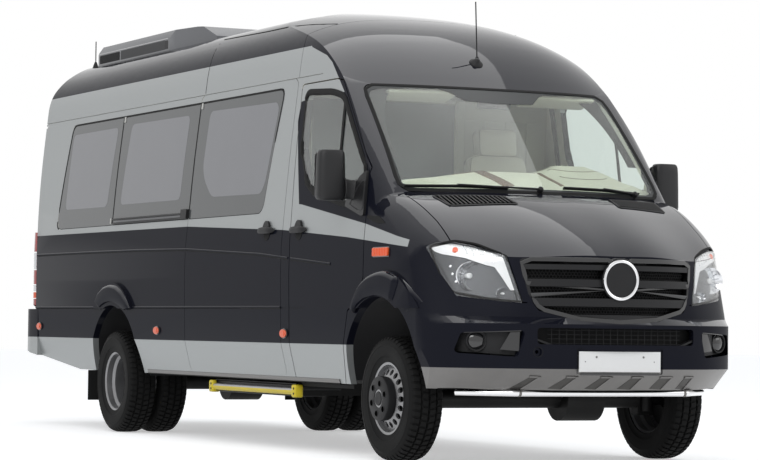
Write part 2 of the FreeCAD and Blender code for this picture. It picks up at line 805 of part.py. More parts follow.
def outline_seam(outline, prism, near, far, radius):
    """Groove along an outline, as deep as the glass is thick."""
    ring = prism(grown(outline, seam), near, far, radius)
    return ring.cut(prism(grown(outline, -seam), near, far, radius)).common(glass_skin)


rub_groove = block(
    right, left, side_start, tail_lamp_start, size.groove_height - seam, size.groove_height + seam)
gutter_groove = block(
    right, left, side_start, rear_end, size.gutter_height - seam, size.gutter_height + seam)
cap_groove = block(
    right, left, pillar_end - seam, pillar_end + seam, size.gutter_height, roof_limit)
fixed_grooves = glass_skin.common(rub_groove.fuse([gutter_groove, cap_groove]))
sliding_seam = outline_seam(sliding_door, prism_yz, right, 0, size.corner_radius)


def body_pieces():
    """Panels of the fixed shell."""
    nose_openings = [bonnet_hole, bumper_form, lamp_form, grille_form]
    both_doors = door_hole.fuse(mirrored(door_hole))
    fenders = skin.common(fender_zone).cut([both_doors] + nose_openings)
    middle = block(-size.badge_diameter, size.badge_diameter, nose_start, rear_end, 0, roof_limit)
    sheet_piece("fenders", fenders.cut(middle))
    cap = skin.common(cap_zone).cut(screen_cut).cut(fixed_grooves)
    sheet_piece("roof_cap", cap)
    sheet_piece("roof", skin.common(roof_zone).cut(fixed_grooves))

    side = skin.common(side_zone).cut([door_hole, rear_hole, tail_form, under_bumper, cap_zone])
    side = side.cut(side_cuts).cut(fixed_grooves)
    sheet_piece("side_left", mirrored(side))
    sheet_piece("side_right", side.cut([sliding_form, sliding_seam]))
    slider = skin.common(sliding_form).cut(side_cuts + [fixed_grooves, sliding_seam])
    sheet_piece("sliding_door", slider)

    frame = skin.common(block(right, left, nose_start, side_start, 0, roof_limit))
    frame = frame.cut([cap_zone, fender_zone, both_doors, screen_cut] + nose_openings)
    cab_shelf_top = size.cowl_height - size.wall_thickness - size.bulkhead_setback / 2
    shelf = block(
        right, left, front_axle - size.bulkhead_setback, front_axle + size.bulkhead_setback,
        cab_shelf_top - size.bulkhead_thickness, cab_shelf_top)
    sheet_piece("cab_frame", frame.fuse(shelf.common(inner_form)))
    return cab_shelf_top


shelf_top = body_pieces()
sheet_piece("windscreen", screen_pane)
sheet_piece("side_glass", Part.makeCompound(side_panes + [mirrored(pane) for pane in side_panes]))

door_shell = skin.common(door_form).cut(door_cut)
door_shell = door_shell.cut(fixed_grooves)
for label, shape in (("front_door", door_shell), ("door_glass", door_pane)):
    sheet_piece(label + "_right", shape)
    sheet_piece(label + "_left", mirrored(shape))

leaf = skin.common(leaf_form).cut(leaf_cut)
for label, shape in (("rear_door", leaf), ("rear_glass", leaf_pane)):
    sheet_piece(label + "_right", shape)
    sheet_piece(label + "_left", mirrored(shape))

# Nose: bonnet, grille, headlamps, bumper and skid plate
bonnet = skin.common(bonnet_form).cut([lamp_prism(size.panel_gap), bumper_clear, grille_form])
sheet_piece("bonnet", bonnet)


def slatted_grille():
    """Frame of the grille with level slats and a plain round badge seat."""
    grille = skin.common(grille_form)
    window = prism_xz(grown(grille_outline, -size.grille_margin), nose_start, front_axle)
    slots = []
    for low, high in GRILLE_GAP_SHARES:
        slots.append(block(
            right, left, nose_start, front_axle, low * size.crown_height, high * size.crown_height))
    grille = grille.cut([slot.common(window) for slot in slots])
    badge_face = front_axle - BADGE_STATION_SHARE * size.front_overhang
    seat = Part.makeCylinder(
        size.badge_diameter / 2, size.wall_thickness,
        Vector(0, badge_face, size.badge_height), Vector(0, 1, 0))
    return grille.fuse(seat)


# Heights of the gaps between the grille's slats, as shares of crown height
GRILLE_GAP_SHARES = ((0.3022, 0.3183), (0.3344, 0.3570), (0.3717, 0.3903), (0.4005, 0.4068))
BADGE_STATION_SHARE = 0.985
sheet_piece("grille", slatted_grille())

lamp_body = lamp_form.cut(bumper_form)
lens = glass_skin.common(lamp_body)
housing_wall = glass_form.cut(inner_form).common(lamp_body.cut(lamp_prism(-size.seal_depth)))
housing_back = inner_form.cut(deep_form).common(lamp_body)
sheet_piece("headlamp_lenses", lens)
sheet_piece("headlamp_housings", housing_wall.fuse(housing_back))

# Openings in the bumper: shares of half width and crown height
FOG_SHARES = ((0.600, 0.2180), (0.890, 0.2250), (0.860, 0.2650), (0.560, 0.2705))
STOP_SHARES = (0.480, 0.520)
PLATE_STATION_SHARE = 0.981
slot_middle = (size.skirt_height + size.bumper_top_height) / 2
slot_outline = [
    (size.slot_half_width, slot_middle - size.slot_height / 2),
    (size.slot_half_width, slot_middle + size.slot_height / 2),
    (-size.slot_half_width, slot_middle + size.slot_height / 2),
    (-size.slot_half_width, slot_middle - size.slot_height / 2),
]
fog_outline = scaled(FOG_SHARES, -size.body_half_width, size.crown_height)
plate_back = front_axle - PLATE_STATION_SHARE * size.front_overhang


def front_bumper():
    """Bumper with its air slot, lamp recesses, plate seat, towing socket and stops."""
    shell = skin.common(bumper_form).cut(grille_clear)
    upper = shell.common(block(right, left, nose_start, rear_end, size.skid_height, roof_limit))
    slot = prism_xz(slot_outline, nose_start, front_axle, lamp_radius)
    fog = prism_xz(fog_outline, nose_start, lamp_rear, lamp_radius)
    half_plate = size.plate_width / 2 + size.panel_gap
    low = size.plate_centre_height - size.plate_height / 2 - size.panel_gap
    high = size.plate_centre_height + size.plate_height / 2 + size.panel_gap
    plate_seat = block(-half_plate, half_plate, nose_start, plate_back, low, high)
    upper = upper.cut([slot, fog, mirrored(fog), plate_seat])
    boss = Part.makeCylinder(
        size.tow_boss_diameter / 2, size.overall_length,
        Vector(-size.tow_hole_offset, nose_start, size.tow_hole_height), Vector(0, 1, 0))
    boss_end = tow_face + size.tow_hole_depth + size.wall_thickness
    boss = boss.common(block(right, left, tow_face, boss_end, 0, roof_limit)).common(outer_form)
    hole = Part.makeCylinder(
        size.tow_hole_diameter / 2, size.tow_hole_depth + size.overrun,
        Vector(-size.tow_hole_offset, tow_face - size.overrun, size.tow_hole_height), Vector(0, 1, 0))
    spot = Part.makeCylinder(
        size.tow_boss_diameter / 2, size.overrun,
        Vector(-size.tow_hole_offset, tow_face - size.overrun, size.tow_hole_height), Vector(0, 1, 0))
    line = bumper_line[0][1]
    stops = []
    for side in (-1, 1):
        near, far = [side * s * size.body_half_width for s in STOP_SHARES]
        top = line + size.panel_gap - size.seat_clearance
        stops.append(skin.common(block(near, far, nose_start, front_axle, line - size.overrun, top)))
    whole = upper.fuse([boss] + stops).cut([hole, spot, grille_clear])
    return whole, shell.cut(plate_seat)


TOW_STATION_SHARE = 0.940
tow_face = front_axle - TOW_STATION_SHARE * size.front_overhang
upper_bumper, bumper_shell = front_bumper()
sheet_piece("bumper_front", upper_bumper)

# Skid plate and the bright tube under it: shares of half width and overhang
TUBE_SHARES = ((-0.799, -0.560), (-0.560, -0.800), (0.560, -0.800), (0.799, -0.560))
skid = bumper_shell.common(block(right, left, nose_start, rear_end, 0, size.skid_height))
tube_level = size.sill_height - size.skid_tube_diameter / 2 - size.seat_clearance
tube_points = [
    Vector(x * size.body_half_width, front_axle + y * size.front_overhang, tube_level)
    for x, y in TUBE_SHARES
]
skid_tube = tube(tube_points, size.skid_tube_diameter, 2 * size.skid_tube_diameter)
sheet_piece("skid_plate", skid)
sheet_piece("skid_tube", skid_tube)


def number_plate():
    """Blank plate with a row of two holes."""
    low = size.plate_centre_height - size.plate_height / 2
    plate = block(
        -size.plate_width / 2, size.plate_width / 2, plate_back - size.plate_thickness, plate_back,
        low, low + size.plate_height)
    holes = []
    for side in (-1, 1):
        start = Vector(side * size.plate_hole_pitch / 2, nose_start, size.plate_centre_height)
        holes.append(Part.makeCylinder(
            size.plate_hole_diameter / 2, size.overall_length, start, Vector(0, 1, 0)))
    return plate.cut(holes)


sheet_piece("number_plate", number_plate())


# Rear bumper and tail lamps
rear_bumper = rear_bumper_form.cut([rear_bumper_hollow, below_tail])
sheet_piece("bumper_rear", rear_bumper)
sheet_piece("tail_lamps", skin.common(tail_form))

# Roof unit: outline from the side in shares of its length and of its rise
# above the crown, from the front in shares of its width, and from above in
# shares of its width and length
ROOF_UNIT_SIDE_SHARES = (
    (-0.07, -1.5), (-0.07, -0.5), (0.01, 0.66), (0.22, 1.0), (0.90, 1.0), (0.975, 0.66), (1.0, 0.0),
    (1.0, -1.5),
)
ROOF_UNIT_FRONT_SHARES = (
    (-0.5, -1.5), (-0.5, -0.20), (-0.485, 0.66), (-0.22, 1.0), (0.22, 1.0), (0.485, 0.66),
    (0.5, -0.20), (0.5, -1.5),
)
ROOF_UNIT_PLAN_SHARES = (
    (-0.5, 1.1), (-0.5, 0.22), (-0.40, -0.07), (0.40, -0.07), (0.5, 0.22), (0.5, 1.1),
)
unit_rise = size.roof_unit_top - size.crown_height
unit_side = [
    (front_axle + size.roof_unit_start + u * size.roof_unit_length, size.crown_height + v * unit_rise)
    for u, v in ROOF_UNIT_SIDE_SHARES]
unit_front = [
    (u * size.roof_unit_width, size.crown_height + v * unit_rise) for u, v in ROOF_UNIT_FRONT_SHARES]
unit_plan = [
    (u * size.roof_unit_width, front_axle + size.roof_unit_start + v * size.roof_unit_length)
    for u, v in ROOF_UNIT_PLAN_SHARES]
roof_unit = prism_yz(unit_side, right, left).common(
    prism_xz(unit_front, nose_start, rear_end)).common(
    prism_xy(unit_plan, size.crown_height / 2, roof_limit))
sheet_piece("roof_unit", roof_unit.cut(outer_form))


def antenna(x, y, z, length, lean):
    """Round foot on the roof with a thin leaning rod."""
    foot_height = size.antenna_base_diameter
    foot = Part.makeCone(
        size.antenna_base_diameter / 2, size.antenna_diameter, foot_height,
        Vector(x, y, z - foot_height / 2), Vector(0, 0, 1))
    rod = Part.makeCylinder(
        size.antenna_diameter / 2, length, Vector(x, y, z), Vector(0, math.sin(lean), math.cos(lean)))
    return foot.fuse(rod).cut(outer_form)


FRONT_ANTENNA_SHARES = (0.531, 0.8545)
REAR_ANTENNA_SHARES = (-0.700, 1.289, 0.9700)
front_foot = (
    0, front_axle + FRONT_ANTENNA_SHARES[0] * size.cab_length,
    FRONT_ANTENNA_SHARES[1] * size.crown_height)
rear_foot = (
    REAR_ANTENNA_SHARES[0] * size.body_half_width,
    front_axle + REAR_ANTENNA_SHARES[1] * size.wheelbase, REAR_ANTENNA_SHARES[2] * size.crown_height)
front_whip = antenna(*front_foot, size.antenna_length, math.radians(size.antenna_lean))
rear_whip = antenna(*rear_foot, size.antenna_length / 2, 0)
sheet_piece("antennas", Part.makeCompound([front_whip, rear_whip]))

# Inside: floor on bearers, bulkhead, wheel housings, dashboard
bulkhead_start = front_axle + size.bulkhead_setback
floor_bottom = size.floor_height - size.floor_thickness
floor_end = rear_axle + TAIL_LAMP_REAR_SHARE * rear_overhang
inner_wall = size.liner_inner_offset


def wheel_housing(y, z, growth):
    """Half round space over a wheel, on both sides, grown by a distance."""
    radius = size.arch_radius + growth
    near = disc_yz(radius, y, z, -size.body_half_width, -inner_wall + growth)
    return near.fuse(mirrored(near))


def liner(y, z):
    """Thin half round sheet over a wheel with its inner cheek."""
    sheet = wheel_housing(y, z, size.liner_thickness).cut(wheel_housing(y, z, 0))
    above = block(right, left, nose_start, rear_end, z, roof_limit)
    cheek_cut = block(-inner_wall - seam, inner_wall + seam, nose_start, rear_end, 0, rail_top + seam)
    return sheet.common(above).cut(cheek_cut).common(inner_form)


rail_top = size.rail_bottom + size.rail_height
liners = [liner(*front_arch), liner(*rear_arch)]
flap_front = rear_arch[0] + size.arch_radius + size.liner_thickness
flap = block(
    -size.body_half_width + size.panel_gap, -inner_wall - size.wall_thickness, flap_front,
    flap_front + size.mudflap_thickness, size.mudflap_bottom, size.mudflap_bottom + size.mudflap_height)
flap = flap.common(inner_form.fuse(block(right, left, nose_start, rear_end, 0, size.sill_height)))
sheet_piece("wheel_housings", Part.makeCompound(liners))
sheet_piece("mudflaps", Part.makeCompound([flap, mirrored(flap)]))

# Places of the cross bearers, as shares of the wheelbase behind the front axle
BEARER_SHARES = (0.10, 0.36, 0.55, 0.80, 1.20, 1.38)


def floor_and_bulkhead():
    """Floor slab on cross bearers with the bulkhead at its front."""
    slab = deep_form.common(
        block(right, left, bulkhead_start, floor_end, floor_bottom, size.floor_height))
    wall = deep_form.common(block(
        right, left, bulkhead_start - size.bulkhead_thickness, bulkhead_start, floor_bottom,
        shelf_top - size.bulkhead_thickness))
    bearers = []
    for share in BEARER_SHARES:
        start = front_axle + share * size.wheelbase
        reach = inner_form if share != BEARER_SHARES[0] else deep_form
        bearers.append(reach.common(block(
            right, left, start, start + size.cross_member_width, rail_top, floor_bottom)))
    spaces = [wheel_housing(*arch, size.liner_thickness + size.seat_clearance)
              for arch in (front_arch, rear_arch)]
    return slab.fuse([wall] + bearers).cut(spaces + [rear_bumper])


floor = floor_and_bulkhead()
sheet_piece("floor", floor)

# Dashboard seen from the side: shares of its depth, and heights as shares of
# its rise from its lower edge to its top
DASH_SHARES = (
    (-0.60, 0.90), (-0.50, 0.99), (0.20, 1.02), (0.62, 1.0), (0.95, 0.80), (1.0, 0.45),
    (0.90, 0.0), (0.02, 0.0), (0.02, 0.90),
)
# Padded top with the hood of the clocks: from the side as above, and from
# the front in shares of the body's half width and of that rise
DASH_PAD_SIDE_SHARES = (
    (-0.55, 0.90), (-0.45, 1.10), (-0.10, 1.30), (0.35, 1.52), (0.55, 1.66), (0.72, 1.66),
    (0.76, 1.40), (0.70, 0.90),
)
DASH_PAD_FRONT_SHARES = (
    (-0.860, 0.90), (-0.860, 1.22), (-0.760, 1.30), (-0.480, 1.38), (-0.214, 1.49), (0.150, 1.49),
    (0.270, 1.55), (0.360, 1.64), (0.540, 1.64), (0.640, 1.52), (0.700, 1.36), (0.860, 1.22),
    (0.860, 0.90),
)
dash_rise = size.dash_top - size.dash_bottom
dash_outline = [
    (bulkhead_start + u * size.dash_depth, size.dash_bottom + v * dash_rise) for u, v in DASH_SHARES]
dash_shape = prism_yz(dash_outline, right, left, [0] * 2 + [lamp_radius] * 4 + [0] * 3)
pad_side = [
    (bulkhead_start + u * size.dash_depth, size.dash_bottom + v * dash_rise)
    for u, v in DASH_PAD_SIDE_SHARES]
pad_front = [
    (u * size.body_half_width, size.dash_bottom + v * dash_rise) for u, v in DASH_PAD_FRONT_SHARES]
dash_pad = prism_yz(pad_side, right, left).common(prism_xz(pad_front, nose_start, rear_end))
dash_shape = dash_shape.fuse(dash_pad).common(deep_form)


def seal_ring(outline, prism, near, far, shift):
    """Seal that follows an opening's edge, just inside the wall."""
    ring = prism(grown(outline, size.seal_width), near, far)
    ring = ring.cut(prism(grown(outline, -size.seal_width), near, far))
    ring = ring.common(inner_form).cut(deep_form)
    ring.translate(shift)
    return ring.cut([floor, dash_shape])


# The seal stays open at the hinge's upper corner, where the door's edge swings inwards
corner_y, corner_z = front_door[-1]
corner_reach = 3 * size.seal_width
corner_relief = block(
    right, left, corner_y - corner_reach, corner_y + corner_reach,
    corner_z - corner_reach, corner_z + corner_reach)
door_seal = seal_ring(front_door, prism_yz, right, 0, Vector(4 * size.seat_clearance, 0, 0))
door_seal = door_seal.cut(corner_relief)
sheet_piece("door_seals", Part.makeCompound([door_seal, mirrored(door_seal)]))

# Seats seen from the side: shares of the seat's depth and of its full height
SEAT_SHARES = (
    (0.0, 0.25), (0.0, 0.385), (0.78, 0.360), (0.98, 0.86), (1.0, 1.0), (1.20, 1.0), (1.22, 0.86),
    (1.06, 0.25),
)
SEAT_RADIUS_SHARES = (0.3, 0.7, 0.3, 0.6, 0.7, 0.7, 0.6, 0.6)
PEDESTAL_SHARES = (0.15, 0.85)


def seat(x, y, base):
    """One seat: cushion and back as a rounded bar, headrest and pedestal."""
    outline = [(y + u * size.seat_depth, base + v * size.seat_full_height) for u, v in SEAT_SHARES]
    half = size.seat_width / 2
    radii = [share * size.corner_radius for share in SEAT_RADIUS_SHARES]
    shape = prism_yz(outline, x - half, x + half, radii)
    side_cut = block(
        x - half, x + half, y, y + 2 * size.seat_depth, base + 0.88 * size.seat_full_height,
        base + 2 * size.seat_full_height)
    head = side_cut.common(block(
        x - size.headrest_width / 2, x + size.headrest_width / 2, y, y + 2 * size.seat_depth,
        base, base + 2 * size.seat_full_height))
    shape = shape.cut(side_cut).fuse(shape.common(head))
    legs = block(
        x - half / 2, x + half / 2, y + PEDESTAL_SHARES[0] * size.seat_depth,
        y + PEDESTAL_SHARES[1] * size.seat_depth, base, base + 0.25 * size.seat_full_height)
    housing = wheel_housing(*rear_arch, size.liner_thickness + size.seat_clearance)
    return shape.fuse(legs.cut(housing))


sheet_piece("front_seats", seat(
    size.driver_offset, front_axle + size.cab_seat_station, size.floor_height))

SEAT_COLUMN_SHARES = (0.700, 0.235, -0.690)
rows = []
for row in range(int(size.seat_rows)):
    row_y = front_axle + size.first_row_station + row * size.seat_pitch
    for column, share in enumerate(SEAT_COLUMN_SHARES):
        if column == 2 and row_y < sliding_door_end:
            continue
        rows.append(seat(share * size.body_half_width, row_y, size.floor_height))
sheet_piece("passenger_seats", Part.makeCompound(rows))

# Chassis: all of it is made of primitives bound to the sheet
RAIL_FRONT_SHARE = 0.86
RAIL_REAR_SHARE = 0.955
CROSS_SHARES = (0.21, 0.58, 0.868, 1.156, 1.36)
ENGINE_START_SHARE = 0.80
GEARBOX_START_SHARE = 0.02
SILENCER_SHARE = 0.62


def joined(name, parts):
    """Part::MultiFuse of several objects, used inside another object."""
    union = doc.addObject("Part::MultiFuse", name)
    union.Shapes = parts
    return union


def reduced(label, base, tool):
    """Part::Cut of two objects, as a named piece."""
    rest = doc.addObject("Part::Cut", label)
    rest.Label = label
    rest.Base = base
    rest.Tool = tool
    pieces.append(rest)
    return rest


def gathered(label, parts):
    """Part::Compound of several objects, as a named piece."""
    group = doc.addObject("Part::Compound", label)
    group.Label = label
    group.Links = parts
    pieces.append(group)
    return group


RAIL_START = f"{FRONT_Y} - {RAIL_FRONT_SHARE} * Sizes.front_overhang"
RAIL_LENGTH = (
    f"{RAIL_FRONT_SHARE} * Sizes.front_overhang + Sizes.wheelbase"
    f" + {RAIL_REAR_SHARE} * (Sizes.overall_length - Sizes.front_overhang - Sizes.wheelbase)")


def chassis_frame():
    """Two hollow rails, cross members and jacking pads."""
    rails = []
    hollows = []
    for side, name in ((-1, "right"), (1, "left")):
        middle = f"{side} * Sizes.rail_offset"
        rails.append(bound_box(
            f"rail_{name}", "Sizes.rail_width", RAIL_LENGTH, "Sizes.rail_height",
            (f"{middle} - Sizes.rail_width / 2", RAIL_START, "Sizes.rail_bottom")))
        hollows.append(bound_box(
            f"rail_hollow_{name}", "Sizes.rail_width - 2 * Sizes.rail_wall",
            f"{RAIL_LENGTH} + 2 * Sizes.overrun", "Sizes.rail_height - 2 * Sizes.rail_wall",
            (f"{middle} - Sizes.rail_width / 2 + Sizes.rail_wall", f"{RAIL_START} - Sizes.overrun",
             "Sizes.rail_bottom + Sizes.rail_wall")))
        for end, share in (("front", CROSS_SHARES[0]), ("rear", CROSS_SHARES[2])):
            rails.append(bound_box(
                f"jack_pad_{name}_{end}", "Sizes.jack_pad_size", "Sizes.jack_pad_size",
                "Sizes.jack_pad_drop",
                (f"{middle} - Sizes.jack_pad_size / 2", f"{FRONT_Y} + {share} * Sizes.wheelbase",
                 "Sizes.rail_bottom - Sizes.jack_pad_drop")))
    for number, share in enumerate(CROSS_SHARES):
        rails.append(bound_box(
            f"cross_member_{number}", "2 * Sizes.rail_offset - Sizes.rail_width",
            "Sizes.cross_member_width", "Sizes.rail_height / 2",
            ("Sizes.rail_width / 2 - Sizes.rail_offset", f"{FRONT_Y} + {share} * Sizes.wheelbase",
             "Sizes.rail_bottom + Sizes.rail_height / 2")))
    return reduced("chassis_frame", joined("rails_solid", rails), joined("rails_hollow", hollows))


chassis_frame()

beam_top = rail_top - size.rail_wall
beam_half = size.rail_offset + size.rail_width / 2
front_beam = inner_form.common(block(
    -beam_half, beam_half, nose_start,
    front_axle - RAIL_FRONT_SHARE * size.front_overhang, size.rail_bottom + size.rail_wall, beam_top))
rear_beam = rear_bumper_hollow.common(block(
    -beam_half, beam_half, rear_axle + RAIL_REAR_SHARE * rear_overhang,
    rear_end, size.rear_bumper_bottom, beam_top))
sheet_piece("bumper_beams", Part.makeCompound([front_beam, rear_beam]))

# Engine, gearbox and transfer case
fused("engine", [
    bound_box(
        "engine_block", "Sizes.engine_width", "Sizes.engine_length", "Sizes.engine_height",
        ("-Sizes.engine_width / 2", f"{FRONT_Y} - {ENGINE_START_SHARE} * Sizes.front_overhang",
         "Sizes.engine_bottom")),
    bound_box(
        "engine_arms", "2 * Sizes.rail_offset - Sizes.rail_width", "Sizes.cross_member_width",
        "Sizes.rail_height / 2",
        ("Sizes.rail_width / 2 - Sizes.rail_offset",
         f"{FRONT_Y} - {ENGINE_START_SHARE / 2} * Sizes.front_overhang",
         "Sizes.rail_bottom + Sizes.rail_height / 2")),
    bound_box(
        "gearbox", "Sizes.gearbox_width", "Sizes.gearbox_length", "Sizes.gearbox_height",
        ("-Sizes.gearbox_width / 2", f"{FRONT_Y} + {GEARBOX_START_SHARE} * Sizes.front_overhang",
         "Sizes.rail_bottom + Sizes.rail_height - Sizes.rail_wall - Sizes.gearbox_height")),
    bound_box(
        "transfer_case", "Sizes.rail_offset - Sizes.rail_width", "Sizes.gearbox_length / 3",
        "Sizes.gearbox_height * 0.7",
        ("0", f"{FRONT_Y} + {GEARBOX_START_SHARE} * Sizes.front_overhang + Sizes.gearbox_length * 2 / 3",
         "Sizes.rail_bottom + Sizes.rail_height - Sizes.rail_wall - Sizes.gearbox_height")),
])

AXLE_Z = "Sizes.tyre_diameter / 2"
KINGPIN_X = "(Sizes.front_track / 2 - Sizes.kingpin_offset)"
SPRING_Z = f"({AXLE_Z} + Sizes.axle_tube_diameter / 2 - Sizes.rail_wall)"


def springs(end, axle_y):
    """Leaf springs over an axle with the shackles that carry the rails."""
    parts = []
    for side, name in ((-1, "right"), (1, "left")):
        start_x = f"{side} * Sizes.rail_offset - Sizes.spring_width / 2"
        parts.append(bound_box(
            f"spring_{end}_{name}", "Sizes.spring_width", "Sizes.spring_length",
            "Sizes.spring_thickness",
            (start_x, f"{axle_y} - Sizes.spring_length / 2", SPRING_Z)))
        for number in range(2):
            way = 2 * number - 1
            parts.append(bound_box(
                f"shackle_{end}_{name}_{number}", "Sizes.spring_width", "Sizes.spring_thickness",
                f"Sizes.rail_bottom - {SPRING_Z}",
                (start_x,
                 f"{axle_y} + {way} * (Sizes.spring_length - Sizes.spring_thickness) / 2"
                 " - Sizes.spring_thickness / 2", SPRING_Z)))
    return parts


def axle_core(end, axle_y, reach, ball_x):
    """Round axle tube with the housing of its final drive."""
    return [
        bound_cylinder(
            f"axle_tube_{end}", "Sizes.axle_tube_diameter / 2", f"2 * ({reach})",
            (f"-({reach})", axle_y, AXLE_Z), ALONG_X),
        bound_cylinder(
            f"axle_ball_{end}", "Sizes.axle_ball_diameter / 2", "Sizes.axle_ball_length",
            (f"{ball_x} - Sizes.axle_ball_length / 2", axle_y, AXLE_Z), ALONG_X),
    ]


def front_axle_piece():
    """Front axle: tube, final drive, springs, shaft and the forks of the kingpins."""
    fork_x = f"{KINGPIN_X} - Sizes.fork_length * 0.68"
    ball_x = "(Sizes.rail_offset - Sizes.rail_width) * 0.8"
    parts = axle_core("front", FRONT_Y, f"{fork_x} + Sizes.rail_wall", ball_x)
    parts += springs("front", FRONT_Y)
    parts.append(bound_cylinder(
        "front_shaft", "Sizes.propshaft_diameter / 2",
        f"{GEARBOX_START_SHARE} * Sizes.front_overhang + Sizes.gearbox_length * 2 / 3",
        (ball_x, FRONT_Y, "Sizes.tyre_diameter / 2 + Sizes.propshaft_diameter * 0.8"), ALONG_Y))
    pins = []
    for side, name in ((-1, "right"), (1, "left")):
        low_x = fork_x if side == 1 else f"-({KINGPIN_X} + Sizes.fork_length * 0.32)"
        for level, height in (("low", f"{AXLE_Z} - Sizes.fork_half_height"),
                              ("high", f"{AXLE_Z} + Sizes.fork_half_height - Sizes.fork_thickness")):
            parts.append(bound_box(
                f"fork_{name}_{level}", "Sizes.fork_length", "Sizes.fork_width",
                "Sizes.fork_thickness",
                (low_x, f"{FRONT_Y} - Sizes.fork_width / 2", height)))
        web_x = fork_x if side == 1 else f"-({fork_x}) - Sizes.fork_thickness"
        parts.append(bound_box(
            f"fork_{name}_web", "Sizes.fork_thickness", "Sizes.fork_width",
            "2 * Sizes.fork_half_height",
            (web_x, f"{FRONT_Y} - Sizes.fork_width / 2", f"{AXLE_Z} - Sizes.fork_half_height")))
        pins.append(bound_cylinder(
            f"pin_hole_{name}", "Sizes.kingpin_diameter / 2 + Sizes.seat_clearance",
            "4 * Sizes.fork_half_height",
            (f"{side} * {KINGPIN_X}", FRONT_Y, f"{AXLE_Z} - 2 * Sizes.fork_half_height"),
            Rotation()))
    return reduced("axle_front", joined("axle_front_solid", parts), joined("pin_holes", pins))


front_axle_piece()
SHAFT_START = f"{FRONT_Y} + {GEARBOX_START_SHARE} * Sizes.front_overhang + Sizes.gearbox_length"
fused("axle_rear", axle_core(
    "rear", REAR_Y, "Sizes.rear_disc_track / 2 - Sizes.disc_thickness - Sizes.seat_clearance", "0"
) + springs("rear", REAR_Y) + [bound_cylinder(
    "rear_shaft", "Sizes.propshaft_diameter / 2", f"{REAR_Y} - ({SHAFT_START})",
    ("0", SHAFT_START, "Sizes.tyre_diameter / 2 + Sizes.propshaft_diameter * 0.8"), ALONG_Y)])

for side, name in ((-1, "right"), (1, "left")):
    hub_face = "Sizes.front_track / 2 + Sizes.front_disc_offset - Sizes.disc_thickness - Sizes.seat_clearance"
    spindle_x = f"{KINGPIN_X}" if side == 1 else f"-({hub_face})"
    flange_x = f"{hub_face} - Sizes.fork_thickness" if side == 1 else f"-({hub_face})"
    fused(f"knuckle_{name}", [
        bound_cylinder(
            f"kingpin_{name}", "Sizes.kingpin_diameter / 2", "2 * Sizes.fork_half_height",
            (f"{side} * {KINGPIN_X}", FRONT_Y, f"{AXLE_Z} - Sizes.fork_half_height"), Rotation()),
        bound_cylinder(
            f"knuckle_body_{name}", "Sizes.axle_tube_diameter / 2 - Sizes.rail_wall",
            "2 * (Sizes.fork_half_height - Sizes.fork_thickness - Sizes.seat_clearance)",
            (f"{side} * {KINGPIN_X}", FRONT_Y,
             f"{AXLE_Z} - Sizes.fork_half_height + Sizes.fork_thickness + Sizes.seat_clearance"),
            Rotation()),
        bound_cylinder(
            f"spindle_{name}", "Sizes.hub_diameter * 0.4", f"{hub_face} - {KINGPIN_X}",
            (spindle_x, FRONT_Y, AXLE_Z), ALONG_X),
        bound_cylinder(
            f"hub_flange_{name}", "Sizes.hub_diameter * 0.58", "Sizes.fork_thickness",
            (flange_x, FRONT_Y, AXLE_Z), ALONG_X),
    ])

pieces.append(bound_box(
    "fuel_tank", "Sizes.fuel_tank_width", "Sizes.fuel_tank_length", "Sizes.fuel_tank_height",
    ("Sizes.rail_offset + Sizes.rail_width / 2", f"{FRONT_Y} + {BEARER_SHARES[1]} * Sizes.wheelbase",
     "Sizes.rail_bottom + Sizes.rail_height - Sizes.fuel_tank_height")))

EXHAUST_X = "-(Sizes.engine_width / 2 - Sizes.exhaust_pipe_diameter * 0.8)"
EXHAUST_Z = "(Sizes.rail_bottom - Sizes.exhaust_pipe_diameter / 3)"
HANGER_Z = f"Sizes.rail_bottom + Sizes.rail_height / 2 - {EXHAUST_Z}"
fused("exhaust", [
    bound_cylinder(
        "exhaust_down", "Sizes.exhaust_pipe_diameter / 2", f"Sizes.engine_bottom - {EXHAUST_Z}",
        (EXHAUST_X, f"{FRONT_Y} - Sizes.exhaust_pipe_diameter", EXHAUST_Z), Rotation()),
    bound_cylinder(
        "exhaust_pipe", "Sizes.exhaust_pipe_diameter / 2",
        f"{RAIL_LENGTH} - {RAIL_FRONT_SHARE} * Sizes.front_overhang - Sizes.cross_member_width",
        (EXHAUST_X, f"{FRONT_Y} - Sizes.exhaust_pipe_diameter", EXHAUST_Z), ALONG_Y),
    bound_cylinder(
        "silencer", "Sizes.silencer_diameter / 2", "Sizes.silencer_length",
        (EXHAUST_X, f"{FRONT_Y} + {SILENCER_SHARE} * Sizes.wheelbase", EXHAUST_Z), ALONG_Y),
] + [bound_box(
    f"hanger_{number}", "Sizes.exhaust_pipe_diameter / 2", "Sizes.exhaust_pipe_diameter / 2",
    HANGER_Z, (EXHAUST_X, f"{FRONT_Y} + {share} * Sizes.wheelbase", EXHAUST_Z))
    for number, share in enumerate(CROSS_SHARES)])


# Wheels: each profile turns about the wheel's own X axis. Rim corners are
# shares of the half rim width and of the flange radius; tyre corners are
# shares of the half tyre width and of the height from the seat to the tread.
RIM_OUTER_SHARES = (
    (-1.0, 0.955), (-1.0, 1.0), (-0.907, 1.0), (-0.860, 0.918), (-0.395, 0.909), (-0.209, 0.836),
    (0.256, 0.836), (0.442, 0.909), (0.860, 0.918), (0.907, 1.0), (1.0, 1.0), (1.0, 0.955),
    (0.953, 0.873),
)
RIM_INNER_SHARES = ((0.256, 0.795), (-0.209, 0.795), (-0.395, 0.868), (-0.860, 0.877))
TYRE_SHARES = (
    (0.719, 0.0), (0.719, 0.121), (0.956, 0.277), (1.0, 0.534), (0.946, 0.793), (0.820, 0.929),
    (0.585, 0.987), (0.0, 1.0),
)
OUTWARD = Rotation()
INWARD = Rotation(Vector(0, 0, 1), 180)


